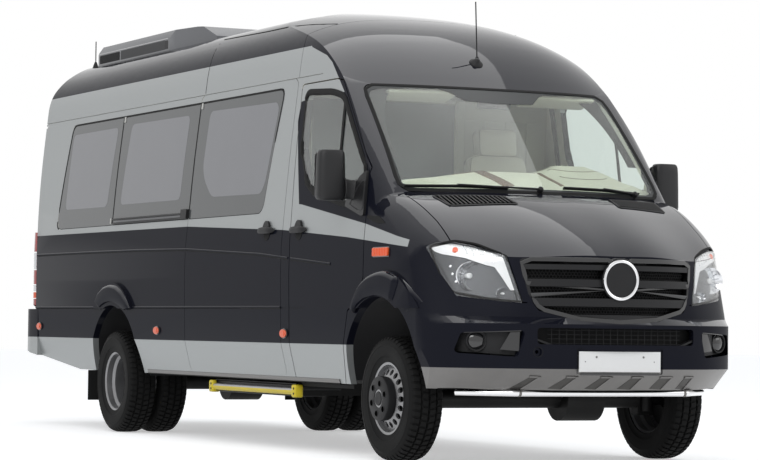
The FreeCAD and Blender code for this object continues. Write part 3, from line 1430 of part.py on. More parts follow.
def origin_plane(body, role):
    """One of the body's own base planes."""
    return [feature for feature in body.Origin.OriginFeatures if feature.Role == role][0]


def turned_body(name, corners):
    """PartDesign body turned about X from a sketch with bound corners."""
    body = doc.addObject("PartDesign::Body", name)
    sketch = body.newObject("Sketcher::SketchObject", f"{name}_profile")
    sketch.AttachmentSupport = [(origin_plane(body, "XY_Plane"), "")]
    sketch.MapMode = "FlatFace"
    values = [[float(size.sheet.evalExpression(text)) for text in corner] for corner in corners]
    count = len(corners)
    for i in range(count):
        start = Vector(*values[i], 0)
        end = Vector(*values[(i + 1) % count], 0)
        sketch.addGeometry(Part.LineSegment(start, end), False)
    for i in range(count):
        sketch.addConstraint(Sketcher.Constraint("Coincident", i, 2, (i + 1) % count, 1))
    for i, (along, away) in enumerate(corners):
        number = sketch.addConstraint(Sketcher.Constraint("DistanceX", -1, 1, i, 1, values[i][0]))
        sketch.setExpression(f"Constraints[{number}]", along)
        if values[i][1] == 0:
            sketch.addConstraint(Sketcher.Constraint("PointOnObject", i, 1, -1))
            continue
        number = sketch.addConstraint(Sketcher.Constraint("DistanceY", -1, 1, i, 1, values[i][1]))
        sketch.setExpression(f"Constraints[{number}]", away)
    turned = body.newObject("PartDesign::Revolution", f"{name}_turned")
    turned.Profile = sketch
    turned.ReferenceAxis = (sketch, ["H_Axis"])
    turned.Angle = 360
    return body


def rim_body(name, disc, hub):
    """Pressed rim whose disc stands at a distance from its middle plane."""
    rim_radius = "Sizes.rim_flange_diameter / 2"
    middle = "Sizes.rim_width"

    def rim_corner(share, rise):
        return f"{middle} + {share} * Sizes.rim_width / 2", f"{rise} * {rim_radius}"

    joint = f"{middle} + {disc} - Sizes.disc_bowl_depth"
    face = f"{middle} + {disc}"
    back = f"{face} - Sizes.disc_thickness"
    hub_radius = "Sizes.hub_diameter / 2"
    centres = {
        "outside": [(face, hub_radius), (f"{face} + Sizes.hub_length / 2", hub_radius),
                    (f"{face} + Sizes.hub_length / 2", "0"), (back, "0")],
        "inside": [(face, "0"), (f"{back} - Sizes.hub_length", "0"),
                   (f"{back} - Sizes.hub_length", hub_radius), (back, hub_radius)],
        "none": [(face, "0"), (back, "0")],
    }
    corners = [rim_corner(*pair) for pair in RIM_OUTER_SHARES]
    corners.append((f"{joint} + Sizes.disc_thickness / 2", f"0.864 * {rim_radius}"))
    corners.append((face, "Sizes.bowl_diameter / 2 + Sizes.disc_thickness * 0.2"))
    corners += centres[hub]
    corners.append((back, "Sizes.bowl_diameter / 2 - Sizes.disc_thickness * 0.4"))
    corners.append((f"{joint} - Sizes.disc_thickness * 0.7", f"0.845 * {rim_radius}"))
    corners += [rim_corner(*pair) for pair in RIM_INNER_SHARES]
    body = turned_body(name, corners)
    doc.recompute()
    sketch = body.newObject("Sketcher::SketchObject", f"{name}_window")
    sketch.AttachmentSupport = [(origin_plane(body, "YZ_Plane"), "")]
    sketch.MapMode = "FlatFace"
    ring = size.rim_window_circle / 2
    sketch.addGeometry(
        Part.Circle(Vector(ring, 0, 0), Vector(0, 0, 1), size.rim_window_diameter / 2), False)
    sketch.addConstraint(Sketcher.Constraint("PointOnObject", 0, 3, -1))
    number = sketch.addConstraint(Sketcher.Constraint("DistanceX", -1, 1, 0, 3, ring))
    sketch.setExpression(f"Constraints[{number}]", "Sizes.rim_window_circle / 2")
    number = sketch.addConstraint(Sketcher.Constraint("Diameter", 0, size.rim_window_diameter))
    sketch.setExpression(f"Constraints[{number}]", "Sizes.rim_window_diameter")
    doc.recompute()
    window = body.newObject("PartDesign::Pocket", f"{name}_pocket")
    window.Profile = sketch
    window.Type = "ThroughAll"
    window.Midplane = True
    doc.recompute()
    pattern = body.newObject("PartDesign::PolarPattern", f"{name}_windows")
    pattern.Originals = [window]
    pattern.Axis = (sketch, ["N_Axis"])
    pattern.Angle = 360
    bind(pattern, Occurrences="Sizes.rim_window_count")
    body.Tip = pattern
    return body


def tyre_body(name):
    """Tyre on its rim's seats."""
    seat_radius = "(Sizes.rim_seat_diameter / 2 + Sizes.seat_clearance)"
    corners = []
    pairs = list(TYRE_SHARES) + [(-u, v) for u, v in reversed(TYRE_SHARES) if u]
    for share, rise in pairs:
        along = f"Sizes.tyre_width + {share} * Sizes.tyre_width / 2"
        away = f"{seat_radius} + {rise} * (Sizes.tyre_diameter / 2 - {seat_radius})"
        corners.append((along, away))
    return turned_body(name, corners)


def put_wheel(body, centre, offset, outward, axle_y):
    """Moves a wheel part to its axle; the offset is its middle plane's place."""
    body.Placement = Placement(Vector(0, 0, 0), OUTWARD if outward else INWARD)
    way = "-" if outward else "+"
    place(body, f"{centre} {way} {offset}", axle_y, AXLE_Z)


TWIN_OUTER = "(Sizes.rear_disc_track / 2 + Sizes.twin_spacing / 2)"
TWIN_INNER = "(Sizes.rear_disc_track / 2 - Sizes.twin_spacing / 2)"
for side, name in ((-1, "right"), (1, "left")):
    on_left = side == 1
    centre = f"{side} * Sizes.front_track / 2"
    rim = rim_body(f"rim_front_{name}", "Sizes.front_disc_offset", "outside")
    put_wheel(rim, centre, "Sizes.rim_width", on_left, FRONT_Y)
    pieces.append(rim)
    tyre = tyre_body(f"tyre_front_{name}")
    put_wheel(tyre, centre, "Sizes.tyre_width", on_left, FRONT_Y)
    pieces.append(tyre)

    rims = []
    tyres = []
    for ring, middle, faces_out, hub in (
            ("outer", TWIN_OUTER, not on_left, "inside"), ("inner", TWIN_INNER, on_left, "none")):
        rim = rim_body(f"rim_{ring}_{name}", "Sizes.twin_spacing / 2", hub)
        put_wheel(rim, f"{side} * {middle}", "Sizes.rim_width", faces_out, REAR_Y)
        rims.append(rim)
        tyre = tyre_body(f"tyre_{ring}_{name}")
        put_wheel(tyre, f"{side} * {middle}", "Sizes.tyre_width", faces_out, REAR_Y)
        tyres.append(tyre)
    gathered(f"rims_rear_{name}", rims)
    gathered(f"tyres_rear_{name}", tyres)

# Step under the sliding door: a drawer in a flat case
STEP_X = "(Sizes.body_half_width - 2 * Sizes.wall_thickness + Sizes.step_thickness)"
STEP_Y = f"({FRONT_Y} + Sizes.step_station)"
CASE_X = "(Sizes.rail_offset + Sizes.rail_width / 2)"
CASE_END_X = f"({STEP_X} - Sizes.step_bar_depth)"
case_start = f"{STEP_Y} + Sizes.step_inset"
case_width = "Sizes.step_length - 2 * Sizes.step_inset"
case_box = bound_box(
    "case_box", f"{CASE_END_X} - {CASE_X}", case_width, "Sizes.step_case_height",
    (f"-{CASE_END_X}", case_start, "Sizes.step_bottom"))
case_hollow = bound_box(
    "case_hollow", f"{CASE_END_X} - {CASE_X}", f"{case_width} - 2 * Sizes.rail_wall",
    "Sizes.step_case_height - 2 * Sizes.rail_wall",
    (f"-{CASE_END_X} - Sizes.rail_wall", f"{case_start} + Sizes.rail_wall",
     "Sizes.step_bottom + Sizes.rail_wall"))
hangers = [bound_box(
    f"case_hanger_{number}", "Sizes.cross_member_width", "Sizes.cross_member_width",
    "Sizes.rail_bottom + Sizes.rail_height - Sizes.step_bottom - Sizes.step_case_height + Sizes.rail_wall",
    (f"-{CASE_X} - 2 * Sizes.cross_member_width", f"{FRONT_Y} + {share} * Sizes.wheelbase",
     "Sizes.step_bottom + Sizes.step_case_height - Sizes.rail_wall"))
    for number, share in enumerate(BEARER_SHARES[1:3])]
reduced("step_case", joined("case_solid", [case_box] + hangers), case_hollow)

plate_z = "Sizes.step_bottom + Sizes.step_case_height / 2"
runner_z = "Sizes.step_bottom + Sizes.rail_wall + Sizes.seat_clearance"
runner_start = f"{case_start} + Sizes.rail_wall + Sizes.moving_clearance"
runner_end = f"{case_start} + {case_width} - Sizes.rail_wall - Sizes.moving_clearance - Sizes.step_thickness"
step_parts = [
    bound_box(
        "step_bar", "Sizes.step_bar_depth - Sizes.moving_clearance", "Sizes.step_length",
        "Sizes.step_bar_height",
        (f"-{STEP_X}", STEP_Y, "Sizes.step_bottom - Sizes.moving_clearance")),
    bound_box(
        "step_plate", "Sizes.step_depth + Sizes.moving_clearance",
        f"{runner_end} - ({runner_start})", "Sizes.step_thickness / 2",
        (f"-{CASE_END_X} - Sizes.moving_clearance", runner_start, plate_z)),
]
for number, start in enumerate((runner_start, runner_end)):
    step_parts.append(bound_box(
        f"step_runner_{number}", "Sizes.step_depth + Sizes.moving_clearance",
        "Sizes.step_thickness",
        "Sizes.step_case_height - 2 * Sizes.rail_wall - 2 * Sizes.seat_clearance",
        (f"-{CASE_END_X} - Sizes.moving_clearance", start, runner_z)))
fused("step", step_parts)

# Steering wheel with its column
wheel_centre = Vector(
    size.driver_offset, front_axle + size.steering_wheel_station, size.steering_wheel_height)
lean = math.radians(size.steering_column_angle)
column_way = Vector(0, math.cos(lean), math.sin(lean))


def steering_wheel():
    """Rim, spokes and hub of the steering wheel."""
    rim_radius = size.steering_wheel_diameter / 2
    ring = Part.makeTorus(rim_radius, size.steering_wheel_rim / 2, wheel_centre, column_way)
    half_hub = size.steering_wheel_rim
    hub = Part.makeCylinder(
        size.steering_column_diameter, 2 * half_hub, wheel_centre - column_way * half_hub, column_way)
    upward = column_way.cross(Vector(1, 0, 0)) * -1
    spokes = []
    for way in (Vector(1, 0, 0), Vector(-1, 0, 0), upward * -1):
        spokes.append(Part.makeCylinder(
            size.steering_wheel_rim / 2, rim_radius, wheel_centre, way))
    return ring.fuse([hub] + spokes), wheel_centre - column_way * (half_hub + size.seat_clearance)


wheel_shape, column_end = steering_wheel()
sheet_piece("steering_wheel", wheel_shape)
column = Part.makeCylinder(
    size.steering_column_diameter / 2, size.dash_depth, column_end, column_way * -1)
column = column.common(block(
    right, left, nose_start, rear_end, size.dash_bottom + size.overrun, roof_limit))
sheet_piece("dashboard", dash_shape.fuse(column))


def mirror(side):
    """Mirror housing on its arm."""
    outer = side * size.mirror_outer
    inner = side * (size.mirror_outer - size.mirror_width)
    station = front_axle + size.mirror_station
    top = size.mirror_bottom + size.mirror_height
    front = station - 0.35 * size.mirror_depth
    back = station + 0.5 * size.mirror_depth
    plan = [(inner, front), (outer, station - 0.2 * size.mirror_depth), (outer, back), (inner, back)]
    face = [(inner, size.mirror_bottom), (outer, size.mirror_bottom), (outer, top), (inner, top)]
    housing = prism_xz(face, front, back, lamp_radius).common(
        prism_xy(plan, size.mirror_bottom, top))
    arm = block(
        side * 0.9 * size.body_half_width, inner + side * size.wall_thickness,
        front + size.wall_thickness / 2, back - size.wall_thickness / 2,
        size.mirror_bottom, size.mirror_bottom + size.mirror_arm_height)
    return housing.fuse(arm.cut(outer_form))


right_mirror = mirror(-1)
sheet_piece("mirror_right", right_mirror)
sheet_piece("mirror_left", mirrored(right_mirror))

doc.recompute()
os.makedirs(PARTS_FOLDER, exist_ok=True)
for piece in pieces:
    shape = piece.Shape
    failed = {"Invalid", "Error"} & set(piece.State)
    if failed or shape.isNull() or not shape.isValid():
        raise RuntimeError(f"{piece.Label} did not build")
    shape.exportStep(os.path.join(PARTS_FOLDER, f"{piece.Label}.step"))
    print(piece.Label, len(shape.Solids), round(shape.Volume / 1e6, 2))
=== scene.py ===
"""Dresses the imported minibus: finishes, trim, lamps, wheels, cab, studio and camera."""

import json
import logging
import math
from dataclasses import dataclass
from enum import Enum
from typing import Callable, Iterable, Sequence

import bmesh
import bpy
import numpy as np
from mathutils import Matrix, Vector
from mathutils.bvhtree import BVHTree

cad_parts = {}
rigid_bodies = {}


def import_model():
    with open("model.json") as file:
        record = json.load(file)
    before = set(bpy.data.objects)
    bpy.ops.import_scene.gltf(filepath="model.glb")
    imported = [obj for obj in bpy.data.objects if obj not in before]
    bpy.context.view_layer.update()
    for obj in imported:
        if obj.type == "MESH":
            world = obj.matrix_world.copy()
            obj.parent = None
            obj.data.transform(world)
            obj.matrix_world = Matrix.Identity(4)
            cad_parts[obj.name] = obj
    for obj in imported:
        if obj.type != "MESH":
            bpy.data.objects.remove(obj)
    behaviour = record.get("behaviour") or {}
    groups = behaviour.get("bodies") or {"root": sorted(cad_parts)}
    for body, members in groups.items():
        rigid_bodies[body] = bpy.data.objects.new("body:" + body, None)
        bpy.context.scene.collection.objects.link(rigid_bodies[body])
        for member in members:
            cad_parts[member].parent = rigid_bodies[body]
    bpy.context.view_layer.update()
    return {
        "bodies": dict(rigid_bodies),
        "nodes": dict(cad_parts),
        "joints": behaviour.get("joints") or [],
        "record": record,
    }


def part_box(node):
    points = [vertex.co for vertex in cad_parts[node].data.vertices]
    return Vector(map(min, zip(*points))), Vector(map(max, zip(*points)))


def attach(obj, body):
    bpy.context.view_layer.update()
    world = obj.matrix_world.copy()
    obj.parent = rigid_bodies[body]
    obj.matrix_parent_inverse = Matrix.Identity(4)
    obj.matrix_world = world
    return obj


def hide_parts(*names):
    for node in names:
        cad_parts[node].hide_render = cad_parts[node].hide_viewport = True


LOG = logging.getLogger("minibus")
FRONT_AXLE_Y = -2.6725
MM = 0.001
SIDE_START, FRONT_START, REAR_START, TOP_START = 3000.0, -3000.0, 9000.0, 5000.0
PROBE_DEPTH = 3.0
Mesh = bmesh.types.BMesh
Point2 = tuple[float, float]
Color = tuple[float, float, float]
Place = tuple[Vector, Vector]
ORIGIN = Vector((0, 0, 0))
ACROSS = Vector((1, 0, 0))
FORWARD = Vector((0, -1, 0))
REARWARD = Vector((0, 1, 0))
OUTER_NODES = (
    "fenders", "roof_cap", "roof", "side_left", "side_right", "sliding_door", "cab_frame",
    "front_door_right", "front_door_left", "rear_door_right", "rear_door_left", "bonnet",
    "bumper_front", "bumper_rear", "side_glass", "door_glass_right", "door_glass_left",
    "rear_glass_right", "rear_glass_left", "skid_plate", "tail_lamps", "headlamp_lenses")


def at(x: float, y: float, z: float) -> Vector:
    """Turns millimetres measured from the front axle into the row frame.

    Args:
        x: Towards the driver's side.
        y: Rearwards from the front axle.
        z: Up from the ground.

    Returns:
        The point in metres.
    """
    return Vector((x * MM, y * MM + FRONT_AXLE_Y, z * MM))


class Side(Enum):
    """The two sides of the vehicle."""

    RIGHT = -1
    LEFT = 1

    @property
    def word(self) -> str:
        """The side's name in node and body names."""
        return self.name.lower()


class Graph:
    """A short way to build node trees."""

    def __init__(self, tree: bpy.types.NodeTree) -> None:
        """Keeps the tree that receives the nodes."""
        self.tree = tree

    def node(self, kind: str, inputs: dict | None = None, **settings: object) -> bpy.types.Node:
        """Adds a node.

        Args:
            kind: The node's type name.
            inputs: Values or output sockets by input name or number.
            **settings: Properties set on the node.

        Returns:
            The new node.
        """
        made = self.tree.nodes.new(kind)
        for key, value in settings.items():
            setattr(made, key, value)
        for key, value in (inputs or {}).items():
            if isinstance(value, bpy.types.NodeSocket):
                self.tree.links.new(value, made.inputs[key])
            else:
                made.inputs[key].default_value = value
        return made

    def math(self, operation: str, *values: object, clamp: bool = False) -> bpy.types.NodeSocket:
        """Adds a Math node and returns its output."""
        made = self.node("ShaderNodeMath", dict(enumerate(values)), operation=operation, use_clamp=clamp)
        return made.outputs[0]

    def mix(self, factor: object, first: object, second: object) -> bpy.types.NodeSocket:
        """Mixes two colours and returns the result's socket."""
        made = self.tree.nodes.new("ShaderNodeMix")
        made.data_type = "RGBA"
        for socket, value in ((made.inputs[0], factor), (made.inputs[6], first), (made.inputs[7], second)):
            if isinstance(value, bpy.types.NodeSocket):
                self.tree.links.new(value, socket)
            elif socket.type == "RGBA":
                socket.default_value = (*value[:3], 1)
            else:
                socket.default_value = value
        return made.outputs[2]

    def curve(self, value: object, points: Sequence[Point2]) -> bpy.types.NodeSocket:
        """Follows straight runs between points.

        Args:
            value: The socket with the place along the curve.
            points: Pairs of place and height, in metres, rising in place.

        Returns:
            The height's socket.
        """
        low, high = points[0][0], points[-1][0]
        base = min(p[1] for p in points)
        span = max(p[1] for p in points) - base
        place = self.math("DIVIDE", self.math("SUBTRACT", value, low), high - low)
        made = self.node("ShaderNodeFloatCurve", {"Value": place})
        handle = made.mapping.curves[0]
        handle.points[0].location = (0, (points[0][1] - base) / span)
        handle.points[1].location = (1, (points[-1][1] - base) / span)
        for across, up in points[1:-1]:
            handle.points.new((across - low) / (high - low), (up - base) / span)
        for point in handle.points:
            point.handle_type = "VECTOR"
        made.mapping.update()
        return self.math("ADD", self.math("MULTIPLY", made.outputs[0], span), base)

    def step(self, value: object, edge: object, width: float = 0.0015) -> bpy.types.NodeSocket:
        """A mask that is 1 where the value is above the edge."""
        difference = self.math("SUBTRACT", value, edge)
        return self.math("ADD", self.math("DIVIDE", difference, width), 0.5, clamp=True)


def new_group(name: str, inputs: Sequence[tuple], outputs: Sequence[tuple]) -> tuple[Graph, dict, dict]:
    """Starts a shader node group.

    Args:
        name: The group's name.
        inputs: Name, socket type and default of each input.
        outputs: Name and socket type of each output.

    Returns:
        The graph, its input sockets and the group output node's sockets.
    """
    tree = bpy.data.node_groups.new(name, "ShaderNodeTree")
    for label, kind, default in inputs:
        socket = tree.interface.new_socket(label, in_out="INPUT", socket_type=kind)
        socket.default_value = default
    for label, kind in outputs:
        tree.interface.new_socket(label, in_out="OUTPUT", socket_type=kind)
    graph = Graph(tree)
    start = graph.node("NodeGroupInput")
    end = graph.node("NodeGroupOutput")
    sources = {socket.name: socket for socket in start.outputs if socket.name}
    sinks = {socket.name: socket for socket in end.inputs if socket.name}
    return graph, sources, sinks


class Effects:
    """Shader node groups that several finishes share."""

    def __init__(self) -> None:
        """Builds each group once."""
        self.grain = self._grain()
        self.weave = self._weave()
        self.inside = self._inside()

    @staticmethod
    def _grain() -> bpy.types.NodeTree:
        """Fine noise for colour, roughness and height."""
        graph, source, sink = new_group(
            "surface_grain",
            [("Scale", "NodeSocketFloat", 300.0), ("Patch Scale", "NodeSocketFloat", 3.0)],
            [("Height", "NodeSocketFloat"), ("Patch", "NodeSocketFloat")])
        place = graph.node("ShaderNodeTexCoord").outputs["Object"]
        fine = graph.node("ShaderNodeTexNoise", {"Vector": place, "Scale": source["Scale"], "Detail": 3.0})
        wide = graph.node(
            "ShaderNodeTexNoise", {"Vector": place, "Scale": source["Patch Scale"], "Detail": 4.0})
        graph.tree.links.new(fine.outputs[0], sink["Height"])
        graph.tree.links.new(wide.outputs[0], sink["Patch"])
        return graph.tree

    @staticmethod
    def _weave() -> bpy.types.NodeTree:
        """Crossed threads as a height and a mask."""
        graph, source, sink = new_group(
            "thread_weave", [("Threads", "NodeSocketFloat", 900.0)],
            [("Height", "NodeSocketFloat"), ("Mask", "NodeSocketFloat")])
        place = graph.node("ShaderNodeTexCoord").outputs["Object"]
        waves = []
        for direction in ("X", "Y", "Z"):
            wave = graph.node(
                "ShaderNodeTexWave", {"Vector": place, "Scale": source["Threads"], "Distortion": 0.4},
                bands_direction=direction)
            waves.append(wave.outputs[1])
        height = graph.math("MAXIMUM", graph.math("MAXIMUM", waves[0], waves[1]), waves[2])
        graph.tree.links.new(height, sink["Height"])
        graph.tree.links.new(graph.math("MULTIPLY", waves[0], waves[2]), sink["Mask"])
        return graph.tree

    @staticmethod
    def _inside() -> bpy.types.NodeTree:
        """A mask that is 1 on faces that look into the cabin."""
        graph, _, sink = new_group("cabin_side", [], [("Mask", "NodeSocketFloat")])
        coord = graph.node("ShaderNodeTexCoord")
        place = graph.node("ShaderNodeSeparateXYZ", {0: coord.outputs["Object"]})
        normal = graph.node("ShaderNodeSeparateXYZ", {0: coord.outputs["Normal"]})
        centre_y = graph.node(
            "ShaderNodeClamp", {"Value": place.outputs[1], "Min": FRONT_AXLE_Y + 0.9, "Max": 2.6})
        away = [
            graph.math("MULTIPLY", place.outputs[0], normal.outputs[0]),
            graph.math("MULTIPLY", graph.math("SUBTRACT", place.outputs[1], centre_y.outputs[0]),
                       normal.outputs[1]),
            graph.math("MULTIPLY", graph.math("SUBTRACT", place.outputs[2], 1.5), normal.outputs[2]),
        ]
        total = graph.math("ADD", graph.math("ADD", away[0], away[1]), away[2])
        between = graph.step(0.985, graph.math("ABSOLUTE", place.outputs[0]))
        behind_cowl = graph.step(place.outputs[1], FRONT_AXLE_Y + 0.2)
        above_floor = graph.step(place.outputs[2], 0.70)
        cabin = graph.math("MULTIPLY", between, graph.math("MULTIPLY", behind_cowl, above_floor))
        facing = graph.step(-0.02, total, 0.01)
        graph.tree.links.new(graph.math("MULTIPLY", facing, cabin), sink["Mask"])
        return graph.tree


@dataclass(frozen=True)
class Finish:
    """A surface finish that one material shows."""

    name: str
    color: Color
    roughness: float
    metallic: float = 0.0
    coat: float = 0.0
    sheen: float = 0.0
    grain_scale: float = 400.0
    grain_depth: float = 0.0
    patch_scale: float = 3.0
    patch: float = 0.08
    weave: float = 0.0
    emission: float = 0.0
    specular: float = 0.5

    def build(self, effects: Effects) -> bpy.types.Material:
        """Builds the material.

        Args:
            effects: The shared node groups.

        Returns:
            The new material.
        """
        material = bpy.data.materials.new(self.name)
        material.use_nodes = True
        material.diffuse_color = (*self.color, 1)
        graph = Graph(material.node_tree)
        shader = material.node_tree.nodes["Principled BSDF"]
        grain = graph.node(
            "ShaderNodeGroup", node_tree=effects.grain)
        grain.inputs["Scale"].default_value = self.grain_scale
        grain.inputs["Patch Scale"].default_value = self.patch_scale
        darker = tuple(c * (1 - self.patch * 2) for c in self.color)
        lighter = tuple(min(1.0, c * (1 + self.patch)) for c in self.color)
        color = graph.mix(grain.outputs["Patch"], darker, lighter)
        rough = graph.math("ADD", graph.math("MULTIPLY", grain.outputs["Patch"], self.patch * 1.5),
                           self.roughness - self.patch * 0.75)
        height = grain.outputs["Height"]
        if self.weave:
            weave = graph.node("ShaderNodeGroup", node_tree=effects.weave)
            weave.inputs["Threads"].default_value = self.weave
            height = weave.outputs["Height"]
            color = graph.mix(weave.outputs["Mask"], darker, color)
        links = material.node_tree.links
        links.new(color, shader.inputs["Base Color"])
        links.new(rough, shader.inputs["Roughness"])
        shader.inputs["Metallic"].default_value = self.metallic
        shader.inputs["Coat Weight"].default_value = self.coat
        shader.inputs["Coat Roughness"].default_value = 0.04
        shader.inputs["Sheen Weight"].default_value = self.sheen
        shader.inputs["Specular IOR Level"].default_value = self.specular
        if self.emission:
            shader.inputs["Emission Color"].default_value = (*self.color, 1)
            shader.inputs["Emission Strength"].default_value = self.emission
        if self.grain_depth:
            bump = graph.node("ShaderNodeBump", {"Height": height, "Strength": self.grain_depth,
                                                 "Distance": 0.002})
            links.new(bump.outputs[0], shader.inputs["Normal"])
        return material


@dataclass(frozen=True)
class Glass:
    """Clear or tinted glass whose shadow lets light in."""

    name: str
    tint: Color
    clearness: float
    roughness: float = 0.0

    def build(self) -> bpy.types.Material:
        """Builds the material and returns it."""
        material = bpy.data.materials.new(self.name)
        material.use_nodes = True
        material.diffuse_color = (*self.tint, 0.4)
        graph = Graph(material.node_tree)
        nodes = material.node_tree.nodes
        shader = nodes["Principled BSDF"]
        shader.inputs["Base Color"].default_value = (*self.tint, 1)
        shader.inputs["Roughness"].default_value = self.roughness
        shader.inputs["IOR"].default_value = 1.45
        shader.inputs["Transmission Weight"].default_value = self.clearness
        clear = graph.node("ShaderNodeBsdfTransparent", {0: (*self.tint, 1)})
        path = graph.node("ShaderNodeLightPath")
        mixed = graph.node(
            "ShaderNodeMixShader",
            {0: path.outputs["Is Shadow Ray"], 1: shader.outputs[0], 2: clear.outputs[0]})
        output = nodes["Material Output"]
        material.node_tree.links.new(mixed.outputs[0], output.inputs["Surface"])
        return material


@dataclass(frozen=True)
class Livery:
    """Two-tone paint: silver bands over dark metallic, cream trim inside."""

    name: str = "two_tone_paint"
    dark: Color = (0.0075, 0.0082, 0.0140)
    silver: Color = (0.36, 0.375, 0.375)
    trim: Color = (0.60, 0.575, 0.50)
    belt: tuple = ((-0.40, 1.205), (0.458, 1.284), (1.39, 1.350), (2.97, 1.414), (6.30, 1.426))
    stripe_top: tuple = ((-0.40, 1.240), (-0.33, 1.251), (0.21, 1.354), (1.155, 1.500), (6.30, 1.70))
    window_edge: tuple = (
        (1.40, 1.150), (1.500, 1.185), (2.018, 1.335), (2.140, 1.318), (2.152, 0.700),
        (2.230, 0.790), (2.351, 0.93), (2.40, 1.02), (2.473, 1.27), (2.60, 1.30))
    roof_line: float = 2.480
    skirt_line: float = 0.657

    def build(self, effects: Effects) -> bpy.types.Material:
        """Builds the paint.

        Args:
            effects: The shared node groups.

        Returns:
            The new material.
        """
        material = bpy.data.materials.new(self.name)
        material.use_nodes = True
        graph = Graph(material.node_tree)
        links = material.node_tree.links
        shader = material.node_tree.nodes["Principled BSDF"]
        place = graph.node(
            "ShaderNodeSeparateXYZ", {0: graph.node("ShaderNodeTexCoord").outputs["Object"]})
        along = graph.math("SUBTRACT", place.outputs[1], FRONT_AXLE_Y)
        up = place.outputs[2]
        above_belt = graph.step(up, graph.curve(along, self.belt))
        below_roof = graph.step(self.roof_line, up)
        behind_window = graph.step(along, graph.curve(up, self.window_edge))
        in_stripe = graph.math(
            "MULTIPLY", graph.step(graph.curve(along, self.stripe_top), up),
            graph.math("MULTIPLY", graph.step(along, -0.33), graph.step(1.52, up)))
        band = graph.math("MULTIPLY", above_belt, below_roof)
        band = graph.math("MULTIPLY", band, graph.math("MAXIMUM", behind_window, in_stripe))
        skirt = graph.math("MULTIPLY", graph.step(self.skirt_line, up), graph.step(along, 0.42))
        mask = graph.math("MAXIMUM", band, skirt)
        grain = graph.node("ShaderNodeGroup", node_tree=effects.grain)
        grain.inputs["Scale"].default_value = 2600.0
        grain.inputs["Patch Scale"].default_value = 0.8
        flake = graph.math("MULTIPLY_ADD", grain.outputs["Height"], 0.5, 0.75)
        dark = graph.mix(flake, (0.006, 0.0065, 0.012), self.dark)
        color = graph.mix(mask, dark, self.silver)
        inside = graph.node("ShaderNodeGroup", node_tree=effects.inside)
        color = graph.mix(inside.outputs["Mask"], color, self.trim)
        links.new(color, shader.inputs["Base Color"])
        painted = graph.math("SUBTRACT", 1.0, inside.outputs["Mask"])
        metallic = graph.math("MULTIPLY", graph.math("MULTIPLY_ADD", mask, 0.5, 0.1), painted)
        links.new(metallic, shader.inputs["Metallic"])
        # Faces that look up get a heavier coat than the sides: a painted stronger reflection on tops.
        slope = graph.node("ShaderNodeSeparateXYZ", {
            0: graph.node("ShaderNodeTexCoord").outputs["Normal"]}).outputs[2]
        upward = graph.math("MULTIPLY_ADD", slope, 2.2, -0.25, clamp=True)
        coat = graph.math("MULTIPLY_ADD", upward, 0.84, 0.16)
        links.new(graph.math("MULTIPLY", painted, coat), shader.inputs["Coat Weight"])
        rough = graph.math("MULTIPLY_ADD", grain.outputs["Patch"], 0.06, 0.34)
        rough = graph.math("MULTIPLY_ADD", inside.outputs["Mask"], 0.3, rough)
        links.new(rough, shader.inputs["Roughness"])
        shader.inputs["Coat Roughness"].default_value = 0.03
        shader.inputs["Coat IOR"].default_value = 1.5
        shader.inputs["Specular IOR Level"].default_value = 0.0
        return material


